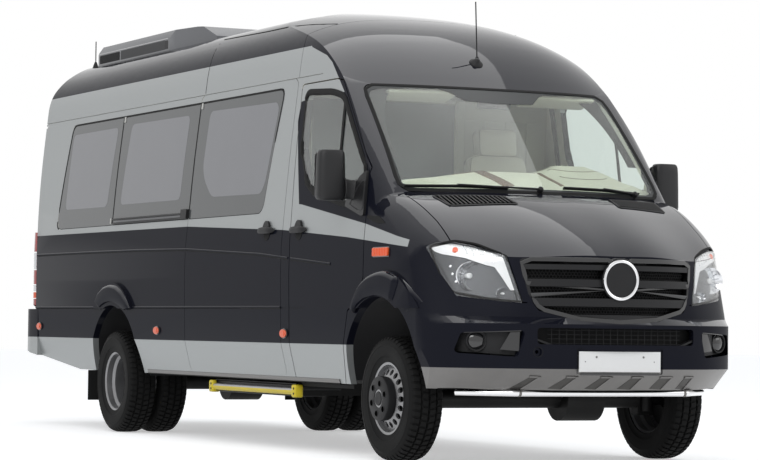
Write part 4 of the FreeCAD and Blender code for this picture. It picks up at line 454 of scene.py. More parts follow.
class Finishes:
    """Every material of the vehicle, by a plain name."""

    def __init__(self) -> None:
        """Builds the shared groups and the materials."""
        self.effects = Effects()
        self.paint = Livery().build(self.effects)
        plain = [
            Finish("black_plastic", (0.012, 0.012, 0.013), 0.50, grain_scale=900, grain_depth=0.25,
                   specular=0.25),
            Finish("gloss_black", (0.010, 0.010, 0.011), 0.12, coat=0.6, patch=0.02),
            Finish("mirror_black", (0.012, 0.012, 0.013), 0.42, grain_scale=1200, grain_depth=0.2,
                   specular=0.35),
            Finish("rubber", (0.009, 0.009, 0.009), 0.75, grain_scale=600, grain_depth=0.15,
                   specular=0.2),
            Finish("tyre_rubber", (0.0065, 0.0065, 0.0065), 0.72, grain_scale=260, grain_depth=0.25,
                   patch_scale=6, patch=0.15, specular=0.15),
            Finish("rim_silver", (0.27, 0.27, 0.275), 0.35, metallic=0.75, coat=0.2, patch_scale=12,
                   patch=0.10),
            Finish("chrome", (0.75, 0.75, 0.76), 0.08, metallic=1.0, patch=0.02),
            Finish("satin_steel", (0.19, 0.185, 0.18), 0.38, metallic=0.9, patch_scale=7, patch=0.12),
            Finish("lamp_bright", (0.72, 0.73, 0.75), 0.18, metallic=0.9, patch=0.03),
            Finish("lamp_grey", (0.075, 0.078, 0.085), 0.30, metallic=0.5, patch=0.03),
            Finish("lamp_red", (0.34, 0.008, 0.008), 0.15, coat=1.0, patch=0.03),
            Finish("lamp_orange", (0.78, 0.085, 0.004), 0.3, coat=0.25, patch=0.05, emission=0.05),
            Finish("lamp_white", (0.75, 0.75, 0.76), 0.2, coat=1.0, patch=0.02),
            Finish("plate_white", (0.80, 0.80, 0.79), 0.4, patch=0.02),
            Finish("chassis_black", (0.008, 0.008, 0.008), 0.55, patch_scale=5, patch=0.2, specular=0.25),
            Finish("cast_metal", (0.16, 0.16, 0.16), 0.5, metallic=0.7, grain_depth=0.3),
            Finish("dull_steel", (0.20, 0.19, 0.18), 0.45, metallic=0.8, patch=0.2),
            Finish("floor_vinyl", (0.09, 0.09, 0.095), 0.6, grain_scale=200, grain_depth=0.2),
            Finish("cream_plastic", (0.66, 0.63, 0.52), 0.5, grain_scale=900, grain_depth=0.2, patch=0.04),
            Finish("cream_leather", (0.56, 0.52, 0.43), 0.45, grain_scale=420, grain_depth=0.35,
                   sheen=0.1, patch=0.06),
            Finish("wood_trim", (0.16, 0.075, 0.035), 0.3, coat=0.8, patch_scale=14, patch=0.35),
            Finish("step_yellow", (0.72, 0.56, 0.02), 0.45, patch_scale=10, patch=0.10),
            Finish("step_tread", (0.50, 0.50, 0.48), 0.4, metallic=0.8, patch=0.1),
            # Darker steel for the skid plate's grooves: painted shade, since the grooves face down.
            Finish("skid_shade", (0.075, 0.072, 0.068), 0.5, metallic=0.6, patch_scale=7, patch=0.12),
            Finish("roof_grey", (0.12, 0.123, 0.132), 0.35, coat=0.4, patch=0.05),
            # Lighter grey of the side panes: the glass's tint with its reflection painted in.
            Finish("pane_grey", (0.175, 0.177, 0.190), 0.16, coat=0.2, patch=0.03, specular=0.3),
            Finish("tint_grey", (0.075, 0.079, 0.080), 0.12, coat=0.2, patch=0.03, specular=0.25),
            # Near-black without shine: painted shade inside recesses and openings.
            Finish("deep_black", (0.0015, 0.0015, 0.0015), 0.8, patch=0.1, specular=0.0),
            Finish("mesh_grey", (0.060, 0.060, 0.062), 0.6, weave=260, grain_depth=0.4, specular=0.2),
            Finish("bar_steel", (0.42, 0.42, 0.43), 0.35, metallic=0.85, patch_scale=7, patch=0.08),
            Finish("border_black", (0.030, 0.033, 0.034), 0.30, patch=0.02, specular=0.25),
            Finish("seat_piping", (0.30, 0.27, 0.21), 0.5, patch=0.05),
            Finish("partition_cream", (0.38, 0.36, 0.29), 0.55, grain_scale=700, grain_depth=0.25),
            Finish("partition_glass", (0.038, 0.052, 0.053), 0.2, patch=0.03, specular=0.3),
        ]
        self.by_name = {finish.name: finish.build(self.effects) for finish in plain}
        self.by_name["two_tone_paint"] = self.paint
        for glass in (
                Glass("screen_glass", (0.80, 0.86, 0.83), 1.0),
                Glass("lamp_glass", (0.97, 0.98, 0.98), 1.0),
                Glass("tinted_glass", (0.10, 0.105, 0.105), 0.6)):
            self.by_name[glass.name] = glass.build()

    def __getitem__(self, name: str) -> bpy.types.Material:
        """The material of that name."""
        return self.by_name[name]


def soften_tree() -> bpy.types.NodeTree:
    """Geometry nodes that merge a node's loose triangles and smooth its curved faces."""
    tree = bpy.data.node_groups.new("soften_faces", "GeometryNodeTree")
    tree.interface.new_socket("Geometry", in_out="INPUT", socket_type="NodeSocketGeometry")
    angle = tree.interface.new_socket("Crease Angle", in_out="INPUT", socket_type="NodeSocketFloat")
    angle.default_value = math.radians(24)
    tree.interface.new_socket("Geometry", in_out="OUTPUT", socket_type="NodeSocketGeometry")
    graph = Graph(tree)
    start = graph.node("NodeGroupInput")
    merged = graph.node("GeometryNodeMergeByDistance", {"Geometry": start.outputs[0], "Distance": 2e-5})
    smooth = graph.node("GeometryNodeSetShadeSmooth", {0: merged.outputs[0], "Shade Smooth": True})
    edge = graph.node("GeometryNodeInputMeshEdgeAngle")
    sharp = graph.node(
        "FunctionNodeCompare", {0: edge.outputs[0], 1: start.outputs["Crease Angle"]},
        operation="GREATER_THAN")
    creased = graph.node(
        "GeometryNodeSetShadeSmooth",
        {0: smooth.outputs[0], "Selection": sharp.outputs[0], "Shade Smooth": False}, domain="EDGE")
    end = graph.node("NodeGroupOutput")
    tree.links.new(creased.outputs[0], end.inputs[0])
    return tree


class SkinProbe:
    """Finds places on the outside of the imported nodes."""

    def __init__(self, nodes: dict, names: Iterable[str]) -> None:
        """Collects the faces of the named nodes into one search tree."""
        points: list[Vector] = []
        faces: list[tuple[int, ...]] = []
        for name in names:
            mesh = nodes[name].data
            start = len(points)
            points.extend(vertex.co.copy() for vertex in mesh.vertices)
            faces.extend(tuple(start + i for i in face.vertices) for face in mesh.polygons)
        self.tree = BVHTree.FromPolygons(points, faces)

    def hit(self, origin: Vector, way: Vector) -> Place:
        """The first face along a ray.

        Args:
            origin: The ray's start.
            way: Its direction.

        Returns:
            The place and the outward normal.
        """
        place, normal, _, _ = self.tree.ray_cast(origin, way)
        if place is None:
            nearest = self.tree.find_nearest(origin + way * PROBE_DEPTH)
            place, normal = nearest[0], nearest[1]
        if normal.dot(way) > 0:
            normal = -normal
        return place, normal

    def side(self, y: float, z: float, side: Side) -> Place:
        """The skin seen from one side, from axle-frame millimetres."""
        start = at(side.value * SIDE_START, y, z)
        return self.hit(start, Vector((-side.value, 0, 0)))

    def front(self, x: float, z: float) -> Place:
        """The skin seen from the front, from millimetres."""
        return self.hit(at(x, FRONT_START, z), REARWARD)

    def rear(self, x: float, z: float) -> Place:
        """The skin seen from the back, from millimetres."""
        return self.hit(at(x, REAR_START, z), FORWARD)

    def top(self, x: float, y: float) -> Place:
        """The skin seen from above, from axle-frame millimetres."""
        return self.hit(at(x, y, TOP_START), Vector((0, 0, -1)))


class Workshop:
    """Makes pieces and hands them to the bodies they ride on."""

    def __init__(self, frame: dict, finishes: Finishes) -> None:
        """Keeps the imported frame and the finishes."""
        self.frame = frame
        self.finishes = finishes
        self.soften = soften_tree()

    def add(self, name: str, mesh: Mesh, finish: str | Sequence[str], body: str,
            slot: str, smooth: float = 30.0) -> bpy.types.Object:
        """Turns a mesh into a piece of the vehicle.

        Args:
            name: The piece's name.
            mesh: Its mesh, in the row frame.
            finish: The name of its finish, or one for each material index.
            body: The CAD body it rides on.
            slot: The record's material slot; not used.
            smooth: Edges sharper than this many degrees stay creased.

        Returns:
            The new object.
        """
        data = bpy.data.meshes.new(name)
        mesh.to_mesh(data)
        mesh.free()
        names = [finish] if isinstance(finish, str) else list(finish)
        for entry in names:
            data.materials.append(self.finishes[entry])
        data.shade_smooth()
        piece = bpy.data.objects.new(name, data)
        bpy.context.scene.collection.objects.link(piece)
        data.set_sharp_from_angle(angle=math.radians(smooth))
        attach(piece, body)
        return piece

    def dress(self, node: str, finish: str) -> None:
        """Gives a CAD node its finish and smooth curved faces."""
        piece = self.frame["nodes"][node]
        for slot in piece.material_slots:
            slot.material = self.finishes[finish]
        if not piece.material_slots:
            piece.data.materials.append(self.finishes[finish])
        modifier = piece.modifiers.new("soften", "NODES")
        modifier.node_group = self.soften


# Mesh helpers


def turns(count: int) -> list[float]:
    """Angles evenly spread round a full turn."""
    return [2 * math.pi * k / count for k in range(count)]


def squared(value: float, power: float) -> float:
    """A sine or cosine pushed outwards, for a rounded square."""
    return math.copysign(abs(value) ** power, value)


def join(*meshes: Mesh) -> Mesh:
    """Puts several meshes into the first one and returns it."""
    target = meshes[0]
    for other in meshes[1:]:
        data = bpy.data.meshes.new("part")
        other.to_mesh(data)
        other.free()
        target.from_mesh(data)
        bpy.data.meshes.remove(data)
    return target


def rounded_box(centre: Vector, size: Vector, bevel: float, segments: int = 3,
                turn: Matrix | None = None, index: int = 0) -> Mesh:
    """A box with rounded edges.

    Args:
        centre: The middle of the box.
        size: Its full lengths.
        bevel: The edge radius.
        segments: Steps round each edge.
        turn: A turn about the middle.
        index: The material index of its faces.

    Returns:
        The mesh.
    """
    mesh = bmesh.new()
    bmesh.ops.create_cube(mesh, size=1.0)
    bmesh.ops.scale(mesh, vec=size, verts=mesh.verts)
    if bevel > 0:
        bmesh.ops.bevel(
            mesh, geom=mesh.edges[:], offset=min(bevel, 0.49 * min(size)), segments=segments,
            affect="EDGES", profile=0.5)
    if turn:
        bmesh.ops.transform(mesh, matrix=turn, verts=mesh.verts)
    bmesh.ops.translate(mesh, vec=centre, verts=mesh.verts)
    for face in mesh.faces:
        face.material_index = index
    return mesh


def lathe(profile: Sequence[Point2], centre: Vector, axis: Vector, segments: int = 48,
          index: int = 0, closed: bool = False) -> Mesh:
    """Turns a profile about an axis.

    Args:
        profile: Pairs of place along the axis and radius.
        centre: The axis' zero point.
        axis: The axis' direction.
        segments: Steps round the axis.
        index: The material index of its faces.
        closed: Joins the last profile point to the first.

    Returns:
        The mesh.
    """
    mesh = bmesh.new()
    axis = axis.normalized()
    side = axis.orthogonal().normalized()
    up = axis.cross(side)
    rings = []
    for along, radius in profile:
        if radius < 1e-6:
            rings.append([mesh.verts.new(centre + axis * along)] * segments)
            continue
        ring = []
        for angle in turns(segments):
            spoke = side * math.cos(angle) + up * math.sin(angle)
            ring.append(mesh.verts.new(centre + axis * along + spoke * radius))
        rings.append(ring)
    pairs = list(zip(rings, rings[1:]))
    if closed:
        pairs.append((rings[-1], rings[0]))
    for first, second in pairs:
        for step in range(segments):
            other = (step + 1) % segments
            corners = [first[step], first[other], second[other], second[step]]
            unique = list(dict.fromkeys(corners))
            if len(unique) > 2:
                face = mesh.faces.new(unique)
                face.material_index = index
    bmesh.ops.recalc_face_normals(mesh, faces=mesh.faces)
    return mesh


def sweep(path: Sequence[Vector], section: Callable[[int], Sequence[Vector]], closed: bool = False,
          index: int = 0) -> Mesh:
    """Skins a row of sections.

    Args:
        path: The points of the row; only their number counts.
        section: Gives the corners of one section, in the row frame.
        closed: Joins the last section to the first.
        index: The material index of its faces.

    Returns:
        The mesh.
    """
    mesh = bmesh.new()
    rings = [[mesh.verts.new(corner) for corner in section(i)] for i in range(len(path))]
    pairs = list(zip(rings, rings[1:]))
    if closed:
        pairs.append((rings[-1], rings[0]))
    count = len(rings[0])
    for first, second in pairs:
        for step in range(count):
            other = (step + 1) % count
            face = mesh.faces.new((first[step], first[other], second[other], second[step]))
            face.material_index = index
    if not closed:
        for ring in (rings[0], rings[-1]):
            mesh.faces.new(ring).material_index = index
    bmesh.ops.recalc_face_normals(mesh, faces=mesh.faces)
    return mesh


def rod(path: Sequence[Vector], radius: float, segments: int = 12, closed: bool = False,
        index: int = 0) -> Mesh:
    """A round bar along a row of points."""
    points = list(path)
    count = len(points)
    ways = []
    for i in range(count):
        before = points[i - 1] if (closed or i) else points[0]
        after = points[(i + 1) % count] if (closed or i < count - 1) else points[-1]
        ways.append((after - before).normalized())
    side = ways[0].orthogonal().normalized()
    frames = []
    for way in ways:
        side = (side - way * side.dot(way)).normalized()
        frames.append((side.copy(), way.cross(side)))

    def section(i: int) -> list[Vector]:
        """The corners of one round section."""
        first, second = frames[i]
        corners = []
        for angle in turns(segments):
            corners.append(points[i] + (first * math.cos(angle) + second * math.sin(angle)) * radius)
        return corners

    return sweep(points, section, closed, index)


def band(places: Sequence[Place], width: float, rise: float, sink: float = 0.002,
         closed: bool = False, index: int = 0) -> Mesh:
    """A flat strip that follows the skin.

    Args:
        places: Place and normal of each point of the strip's middle line.
        width: The strip's width.
        rise: How far it stands proud.
        sink: How deep it reaches into the skin.
        closed: Joins its ends.
        index: The material index of its faces.

    Returns:
        The mesh.
    """
    count = len(places)

    def section(i: int) -> list[Vector]:
        """The strip's corners at one place."""
        before = places[i - 1][0] if (closed or i) else places[0][0]
        after = places[(i + 1) % count][0] if (closed or i < count - 1) else places[-1][0]
        place, normal = places[i]
        across = normal.cross((after - before).normalized()).normalized() * (width / 2)
        edge = min(rise, width) * 0.35
        inner = across * (1 - 2 * edge / width)
        return [
            place - across - normal * sink, place - across + normal * (rise - edge),
            place - inner + normal * rise, place + inner + normal * rise,
            place + across + normal * (rise - edge), place + across - normal * sink,
        ]

    return sweep([p for p, _ in places], section, closed, index)


def filled(outline: Sequence[Point2], grid: float, lift: Callable[[float, float], tuple],
           rise: float, sink: float, index: int = 0) -> Mesh:
    """A plate with an outline, laid on the skin.

    Args:
        outline: Corners in the plane of the view, in millimetres.
        grid: The distance between the plate's inner points, in millimetres.
        lift: Gives the place and normal on the skin for a point of the plane.
        rise: How far the plate stands proud, in metres.
        sink: How deep its rim reaches, in metres.
        index: The material index of its faces.

    Returns:
        The mesh.
    """
    mesh = bmesh.new()
    mesh.faces.new([mesh.verts.new((u, v, 0)) for u, v in outline])
    for axis in range(2):
        low = min(p[axis] for p in outline)
        high = max(p[axis] for p in outline)
        steps = max(1, int((high - low) / grid))
        for step in range(1, steps):
            place = Vector((0, 0, 0))
            place[axis] = low + (high - low) * step / steps
            normal = Vector((0, 0, 0))
            normal[axis] = 1
            geometry = mesh.verts[:] + mesh.edges[:] + mesh.faces[:]
            bmesh.ops.bisect_plane(mesh, geom=geometry, plane_co=place, plane_no=normal, dist=1e-4)
    lifted = {}
    for vertex in mesh.verts:
        lifted[vertex] = lift(vertex.co.x, vertex.co.y)
    lower = {}
    for vertex, (place, normal) in lifted.items():
        vertex.co = place + normal * rise
        lower[vertex] = place - normal * sink
    rim = [edge for edge in mesh.edges if edge.is_boundary]
    made = {vertex: mesh.verts.new(lower[vertex]) for edge in rim for vertex in edge.verts}
    for edge in rim:
        first, second = edge.verts
        mesh.faces.new((first, second, made[second], made[first]))
    bmesh.ops.recalc_face_normals(mesh, faces=mesh.faces)
    for face in mesh.faces:
        face.material_index = index
    return mesh


def smooth_outline(points: Sequence[Point2], radius: float, steps: int = 5) -> list[Point2]:
    """Rounds the corners of a closed outline.

    Args:
        points: The corners.
        radius: How far from a corner its rounding starts.
        steps: Points of each rounding.

    Returns:
        The rounded outline.
    """
    result = []
    count = len(points)
    for i in range(count):
        corner = Vector(points[i])
        before = Vector(points[i - 1]) - corner
        after = Vector(points[(i + 1) % count]) - corner
        reach = min(radius, before.length * 0.45, after.length * 0.45)
        start = corner + before.normalized() * reach
        end = corner + after.normalized() * reach
        for step in range(steps + 1):
            t = step / steps
            spot = start * (1 - t) ** 2 + corner * 2 * t * (1 - t) + end * t ** 2
            result.append((spot.x, spot.y))
    return result


def along_path(points: Sequence[Point2], step: float, closed: bool = False) -> list[Point2]:
    """Points every so often along straight runs."""
    result = []
    pairs = list(zip(points, points[1:]))
    if closed:
        pairs.append((points[-1], points[0]))
    for first, second in pairs:
        run = Vector(second) - Vector(first)
        count = max(1, round(run.length / step))
        for i in range(count):
            spot = Vector(first) + run * (i / count)
            result.append((spot.x, spot.y))
    if not closed:
        result.append(tuple(points[-1]))
    return result


class Repeater:
    """Repeats a small mesh with geometry nodes and makes the result plain."""

    def __init__(self) -> None:
        """Builds the trees for rings and for rows."""
        self.ring_tree = self._ring()
        self.rows_tree = self._rows()

    @staticmethod
    def _new_tree(name: str, inputs: Sequence[tuple]) -> tuple[Graph, bpy.types.Node]:
        """Starts a tree with a mesh input and named sizes."""
        tree = bpy.data.node_groups.new(name, "GeometryNodeTree")
        tree.interface.new_socket("Geometry", in_out="INPUT", socket_type="NodeSocketGeometry")
        for label, kind in inputs:
            tree.interface.new_socket(label, in_out="INPUT", socket_type=kind)
        tree.interface.new_socket("Geometry", in_out="OUTPUT", socket_type="NodeSocketGeometry")
        graph = Graph(tree)
        return graph, graph.node("NodeGroupInput")

    @staticmethod
    def _end_tree(graph: Graph, start: bpy.types.Node, points: object, turn: object) -> None:
        """Puts the mesh on the points, makes it real and gives it its finish."""
        placed = graph.node(
            "GeometryNodeInstanceOnPoints",
            {"Points": points, "Instance": start.outputs["Geometry"], "Rotation": turn})
        real = graph.node("GeometryNodeRealizeInstances", {0: placed.outputs[0]})
        finished = graph.node(
            "GeometryNodeSetMaterial", {"Geometry": real.outputs[0], "Material": start.outputs["Material"]})
        end = graph.node("NodeGroupOutput")
        graph.tree.links.new(finished.outputs[0], end.inputs[0])

    def _ring(self) -> bpy.types.NodeTree:
        """Copies turned about the X axis."""
        graph, start = self._new_tree("repeat_round_axis", (
            ("Count", "NodeSocketInt"), ("Phase", "NodeSocketFloat"), ("Material", "NodeSocketMaterial")))
        number = graph.node("GeometryNodeInputIndex").outputs[0]
        share = graph.math("DIVIDE", number, start.outputs["Count"])
        angle = graph.math("MULTIPLY_ADD", share, 2 * math.pi, start.outputs["Phase"])
        points = graph.node("GeometryNodePoints", {"Count": start.outputs["Count"]})
        turn = graph.node("FunctionNodeEulerToRotation",
                          {0: graph.node("ShaderNodeCombineXYZ", {0: angle}).outputs[0]})
        self._end_tree(graph, start, points.outputs[0], turn.outputs[0])
        return graph.tree

    def _rows(self) -> bpy.types.NodeTree:
        """Copies in rows, with every second row shifted."""
        graph, start = self._new_tree("repeat_in_rows", (
            ("Along", "NodeSocketInt"), ("Step Along", "NodeSocketVector"), ("Rows", "NodeSocketInt"),
            ("Step Rows", "NodeSocketVector"), ("Shift", "NodeSocketFloat"),
            ("Material", "NodeSocketMaterial")))
        number = graph.node("GeometryNodeInputIndex").outputs[0]
        along = start.outputs["Along"]
        row = graph.math("FLOOR", graph.math("DIVIDE", graph.math("ADD", number, 0.5), along))
        place = graph.math("SUBTRACT", number, graph.math("MULTIPLY", row, along))
        odd = graph.math("MODULO", row, 2.0)
        place = graph.math("ADD", place, graph.math("MULTIPLY", odd, start.outputs["Shift"]))
        first = graph.node(
            "ShaderNodeVectorMath", {0: start.outputs["Step Along"], "Scale": place}, operation="SCALE")
        second = graph.node(
            "ShaderNodeVectorMath", {0: start.outputs["Step Rows"], "Scale": row}, operation="SCALE")
        total = graph.node("ShaderNodeVectorMath", {0: first.outputs[0], 1: second.outputs[0]})
        count = graph.math("MULTIPLY", along, start.outputs["Rows"])
        points = graph.node(
            "GeometryNodePoints", {"Count": count, "Position": total.outputs[0]})
        self._end_tree(graph, start, points.outputs[0], (0.0, 0.0, 0.0))
        return graph.tree

    @staticmethod
    def _apply(tree: bpy.types.NodeTree, block: Mesh, values: dict,
               index: int) -> Mesh:
        """Runs a tree on a block and returns the plain result."""
        data = bpy.data.meshes.new("block")
        block.to_mesh(data)
        block.free()
        holder = bpy.data.objects.new("block", data)
        bpy.context.scene.collection.objects.link(holder)
        modifier = holder.modifiers.new("repeat", "NODES")
        modifier.node_group = tree
        for item in tree.interface.items_tree:
            if item.item_type == "SOCKET" and item.in_out == "INPUT" and item.name in values:
                modifier[item.identifier] = values[item.name]
        graph = bpy.context.evaluated_depsgraph_get()
        result = bpy.data.meshes.new_from_object(holder.evaluated_get(graph))
        bpy.data.objects.remove(holder)
        bpy.data.meshes.remove(data)
        mesh = bmesh.new()
        mesh.from_mesh(result)
        bpy.data.meshes.remove(result)
        for face in mesh.faces:
            face.material_index = index
        return mesh

    def ring(self, block: Mesh, count: int, finish: bpy.types.Material,
             phase: float = 0.0, index: int = 0) -> Mesh:
        """Repeats a block about the X axis.

        Args:
            block: The block, at its place beside the axis.
            count: How many there are.
            finish: The material that the copies get.
            phase: The first one's turn.
            index: The material index of the result's faces.

        Returns:
            The mesh.
        """
        values = {"Count": count, "Phase": phase, "Material": finish}
        return self._apply(self.ring_tree, block, values, index)

    def rows(self, block: Mesh, along: int, step: Vector, finish: bpy.types.Material,
             rows: int = 1, row_step: Vector = ORIGIN, shift: float = 0.0,
             index: int = 0) -> Mesh:
        """Repeats a block in rows.

        Args:
            block: The first block, at its place.
            along: How many there are in a row.
            step: From one block to the next.
            finish: The material that the copies get.
            rows: How many rows there are.
            row_step: From one row to the next.
            shift: The share of a step that every second row is moved by.
            index: The material index of the result's faces.

        Returns:
            The mesh.
        """
        values = {"Along": along, "Step Along": tuple(step), "Rows": rows,
                  "Step Rows": tuple(row_step), "Shift": shift, "Material": finish}
        return self._apply(self.rows_tree, block, values, index)


def ellipse(u: float, v: float, half_u: float, half_v: float, steps: int = 24) -> list[Point2]:
    """Points round an ellipse."""
    return [(u + half_u * math.cos(a), v + half_v * math.sin(a)) for a in turns(steps)]


def rectangle(low_u: float, high_u: float, low_v: float, high_v: float,
              radius: float = 0.0) -> list[Point2]:
    """A rectangle's outline with rounded corners."""
    corners = [(low_u, low_v), (high_u, low_v), (high_u, high_v), (low_u, high_v)]
    return smooth_outline(corners, radius) if radius else corners


def even_points(points: Sequence[Point2], count: int) -> list[Point2]:
    """Spreads a number of points evenly along a smooth line through points."""
    runs = [0.0]
    for first, second in zip(points, points[1:]):
        runs.append(runs[-1] + math.dist(first, second))
    places = np.linspace(0, runs[-1], count)
    across = np.interp(places, runs, [p[0] for p in points])
    up = np.interp(places, runs, [p[1] for p in points])
    for values in (across, up):
        for _ in range(2):
            values[1:-1] = (values[:-2] + 2 * values[1:-1] + values[2:]) / 4
    return [(float(u), float(v)) for u, v in zip(across, up)]


@dataclass
class Trim:
    """What the sub-assemblies share: the workshop, the skin and the repeater."""

    workshop: Workshop
    probe: SkinProbe
    repeater: Repeater

    def skin(self, *names: str) -> SkinProbe:
        """A probe of the named CAD nodes alone."""
        return SkinProbe(self.workshop.frame["nodes"], names)

    def on_side(self, side: Side) -> Callable[[float, float], tuple]:
        """Lifts a point of the side view onto the skin."""
        return lambda y, z: self.probe.side(y, z, side)

    def on_front(self, y_u: float = 1.0) -> Callable[[float, float], tuple]:
        """Lifts a point of the front view onto the skin, mirrored for a negative factor."""
        return lambda x, z: self.probe.front(x * y_u, z)

    def side_plate(self, outline: Sequence[Point2], side: Side, rise: float, sink: float = 0.002,
                   grid: float = 60, index: int = 0) -> Mesh:
        """A plate on the vehicle's side with a rim of its own thickness."""
        return filled(outline, grid, self.on_side(side), rise, sink, index)

    def side_band(self, points: Sequence[Point2], side: Side, width: float, rise: float,
                  closed: bool = False, step: float = 80, index: int = 0,
                  sink: float = 0.002) -> Mesh:
        """A strip along a line of the vehicle's side."""
        places = [self.probe.side(y, z, side) for y, z in along_path(points, step, closed)]
        return band(places, width, rise, sink, closed, index)


@dataclass
class SideTrim(Trim):
    """Handles, lamps, seals, rails and lines on the vehicle's sides."""

    handle_length: float = 0.240
    handle_height: float = 0.042
    handle_reach: float = 0.030
    markers: tuple = ((5904, 738), (3469, 721), (1340, 716))
    window_outline: tuple = ((1735, 1465), (5609, 1465), (5480, 2238), (1587, 2238))
    dividers: tuple = (2966, 4415)
    door_glass: tuple = (
        (265, 1663), (335, 1490), (520, 1479), (972, 1564), (1102, 1632), (1235, 1841), (1251, 2190),
        (870, 2168), (695, 2130))
    flare_outer: tuple = (
        (352, 850), (338, 873), (287, 950), (217, 1011), (112, 1056), (7, 1077), (-79, 1084),
        (-165, 1071), (-285, 1036), (-387, 991), (-454, 946), (-500, 905))
    flare_inner: tuple = (
        (322, 838), (316, 849), (259, 888), (154, 922), (5, 937), (-108, 925), (-194, 902),
        (-263, 872), (-330, 842), (-372, 832))
    rear_flare_outer: tuple = (
        (4675, 889), (4630, 930), (4559, 985), (4450, 1028), (4326, 1045), (4200, 1033),
        (4092, 996), (4000, 935), (3936, 874))
    rear_flare_inner: tuple = (
        (4573, 861), (4530, 881), (4476, 896), (4400, 911), (4320, 916), (4240, 911),
        (4164, 895), (4110, 880), (4067, 861))
    creases: tuple = (
        ((5993, 1280), (4896, 1279), (3878, 1275), (2949, 1263), (1726, 1209), (1292, 1177)),
        ((6010, 880), (4680, 880)), ((3925, 880), (2664, 879), (1400, 878)))
    door_crease: tuple = ((1250, 1174), (960, 1153), (672, 1132))
    panes: tuple = (
        ((4561, 1600), (5449, 1606), (5447, 2166), (4505, 2168)),
        ((3155, 1600), (4292, 1605), (4234, 2175), (3138, 2168)),
        ((1795, 1588), (2601, 1598), (2745, 1709), (2799, 1799), (2784, 2173), (1690, 2159),
         (1652, 2120), (1662, 2036), (1704, 1795), (1738, 1652)))

    def build(self) -> None:
        """Builds both sides."""
        for side in Side:
            door = f"door_front_{side.word}"
            self._handle(side, 1146, 1342, door, "front")
            if side is Side.RIGHT:
                self._handle(side, 1632, 1350, "body", "sliding")
                self._slider_rail(side)
            self._markers(side)
            self._repeater(side)
            self._window_lines(side)
            self._panes(side)
            self._flare(side, "front", self.flare_outer, self.flare_inner)
            self._flare(side, "rear", self.rear_flare_outer, self.rear_flare_inner)
            self._creases(side, "side_creases", self.creases, "body")
            self._creases(side, "door_crease", [self.door_crease], door)
            self._door_glass(side, door)
            self._mirror_plate(side, door)
            self._sill(side)
            LOG.info("side trim on the %s", side.word)

    def _flare(self, side: Side, end: str, line: tuple, edge: tuple) -> None:
        """The raised lip round a wheel's arch."""
        outer = even_points(line, 40)
        inner = even_points(edge, 40)
        places = [self.probe.side(y, z, side)[0] for y, z in outer]
        way = side.value

        def section(i: int) -> list[Vector]:
            """The lip's section at one place of the arch."""
            (y0, z0), (y1, z1) = outer[i], inner[i]
            reach = abs(places[i].x) / MM
            share = math.sin(math.pi * min(1.0, max(0.0, i / 39))) ** 0.35
            rows = ((0.0, -3), (0.02, 4), (0.10, 8 + 7 * share), (0.22, 10 + 9 * share),
                    (0.80, 6 + 9 * share), (0.95, 2 + 8 * share), (1.0, -14), (0.9, -18), (0.3, -12))
            return [at(way * (reach + out), y0 + (y1 - y0) * t, z0 + (z1 - z0) * t) for t, out in rows]

        lip = sweep(outer, section)
        self.workshop.add(f"arch_flare_{end}_{side.word}", lip, "two_tone_paint", "body",
                          "paint_dark", 50)

    def _creases(self, side: Side, name: str, lines: Sequence, body: str) -> None:
        """Pressed lines along the panels, each a ridge over a dark line that paints the shade of its
        groove.
        """
        strips = []
        for line in lines:
            strips.append(self.side_band(line, side, 0.012, 0.004, step=60))
            # The dark line just below each ridge is painted shade of the groove.
            under = [(y, z - 9) for y, z in line]
            strips.append(self.side_band(under, side, 0.007, 0.0015, step=60, index=1))
        self.workshop.add(f"{name}_{side.word}", join(*strips), ("two_tone_paint", "rubber"), body,
                          "paint_dark", 50)

    def _panes(self, side: Side) -> None:
        """Lighter grey fields inside the windows' dark borders: the glass's tint with a painted reflection.
        """
        glass = self.skin("side_glass")
        fields = [filled(smooth_outline(outline, 55, 7), 90, lambda y, z: glass.side(y, z, side), 0.0006,
                         0.0006) for outline in self.panes]
        self.workshop.add(f"window_fields_{side.word}", join(*fields), "pane_grey", "body", "glass")

    def _handle(self, side: Side, y: float, z: float, body: str, name: str) -> None:
        """A bar handle over a round recess."""
        place, normal = self.probe.side(y, z, side)
        along = REARWARD
        along = (along - normal * along.dot(normal)).normalized()
        up = Vector((0, 0, 1)) - normal * normal.z
        up = (up - along * up.dot(along)).normalized()
        count = 21

        def section(i: int) -> list[Vector]:
            """One oval section of the bar."""
            t = -0.998 + 1.996 * i / (count - 1)
            full = max(0.0, 1 - abs(t) ** 5) ** 0.5
            half_high = self.handle_height / 2 * full * (1 - 0.12 * t * t)
            half_deep = 0.011 * full
            lift = self.handle_reach * (1 - 0.75 * t ** 4) - 0.004
            centre = place + along * (t * self.handle_length / 2) + normal * lift
            return [centre + up * (half_high * math.cos(a)) + normal * (half_deep * math.sin(a))
                    for a in turns(16)]

        bar = sweep([place] * count, section)
        recess = self.side_plate(ellipse(y, z, 52, 62), side, 0.0022, grid=18, index=1)
        cap = self.side_plate(
            [p for p in ellipse(y, z, 50, 62, 32) if p[1] >= z - 1], side, 0.014, grid=18)
        feet = [rounded_box(place + along * (s * 0.085) + normal * 0.010, Vector((0.02, 0.03, 0.03)),
                            0.006) for s in (-1, 1)]
        self.workshop.add(
            f"handle_{name}_{side.word}", join(bar, recess, cap, *feet),
            ("black_plastic", "rubber"), body, "black_plastic", 40)

    def _markers(self, side: Side) -> None:
        """Three oval marker lamps along the skirt."""
        meshes = []
        for y, z in self.markers:
            meshes.append(self.side_plate(ellipse(y, z, 48, 25), side, 0.013, grid=14))
            meshes.append(self.side_plate(ellipse(y, z, 27, 14), side, 0.016, grid=10))
            ring = [self.probe.side(v, w, side) for v, w in ellipse(y, z, 50, 27, 28)]
            meshes.append(band(ring, 0.007, 0.009, closed=True, index=1))
        self.workshop.add(f"side_markers_{side.word}", join(*meshes), ("lamp_orange", "gloss_black"),
                          "body", "lamp_red", 40)

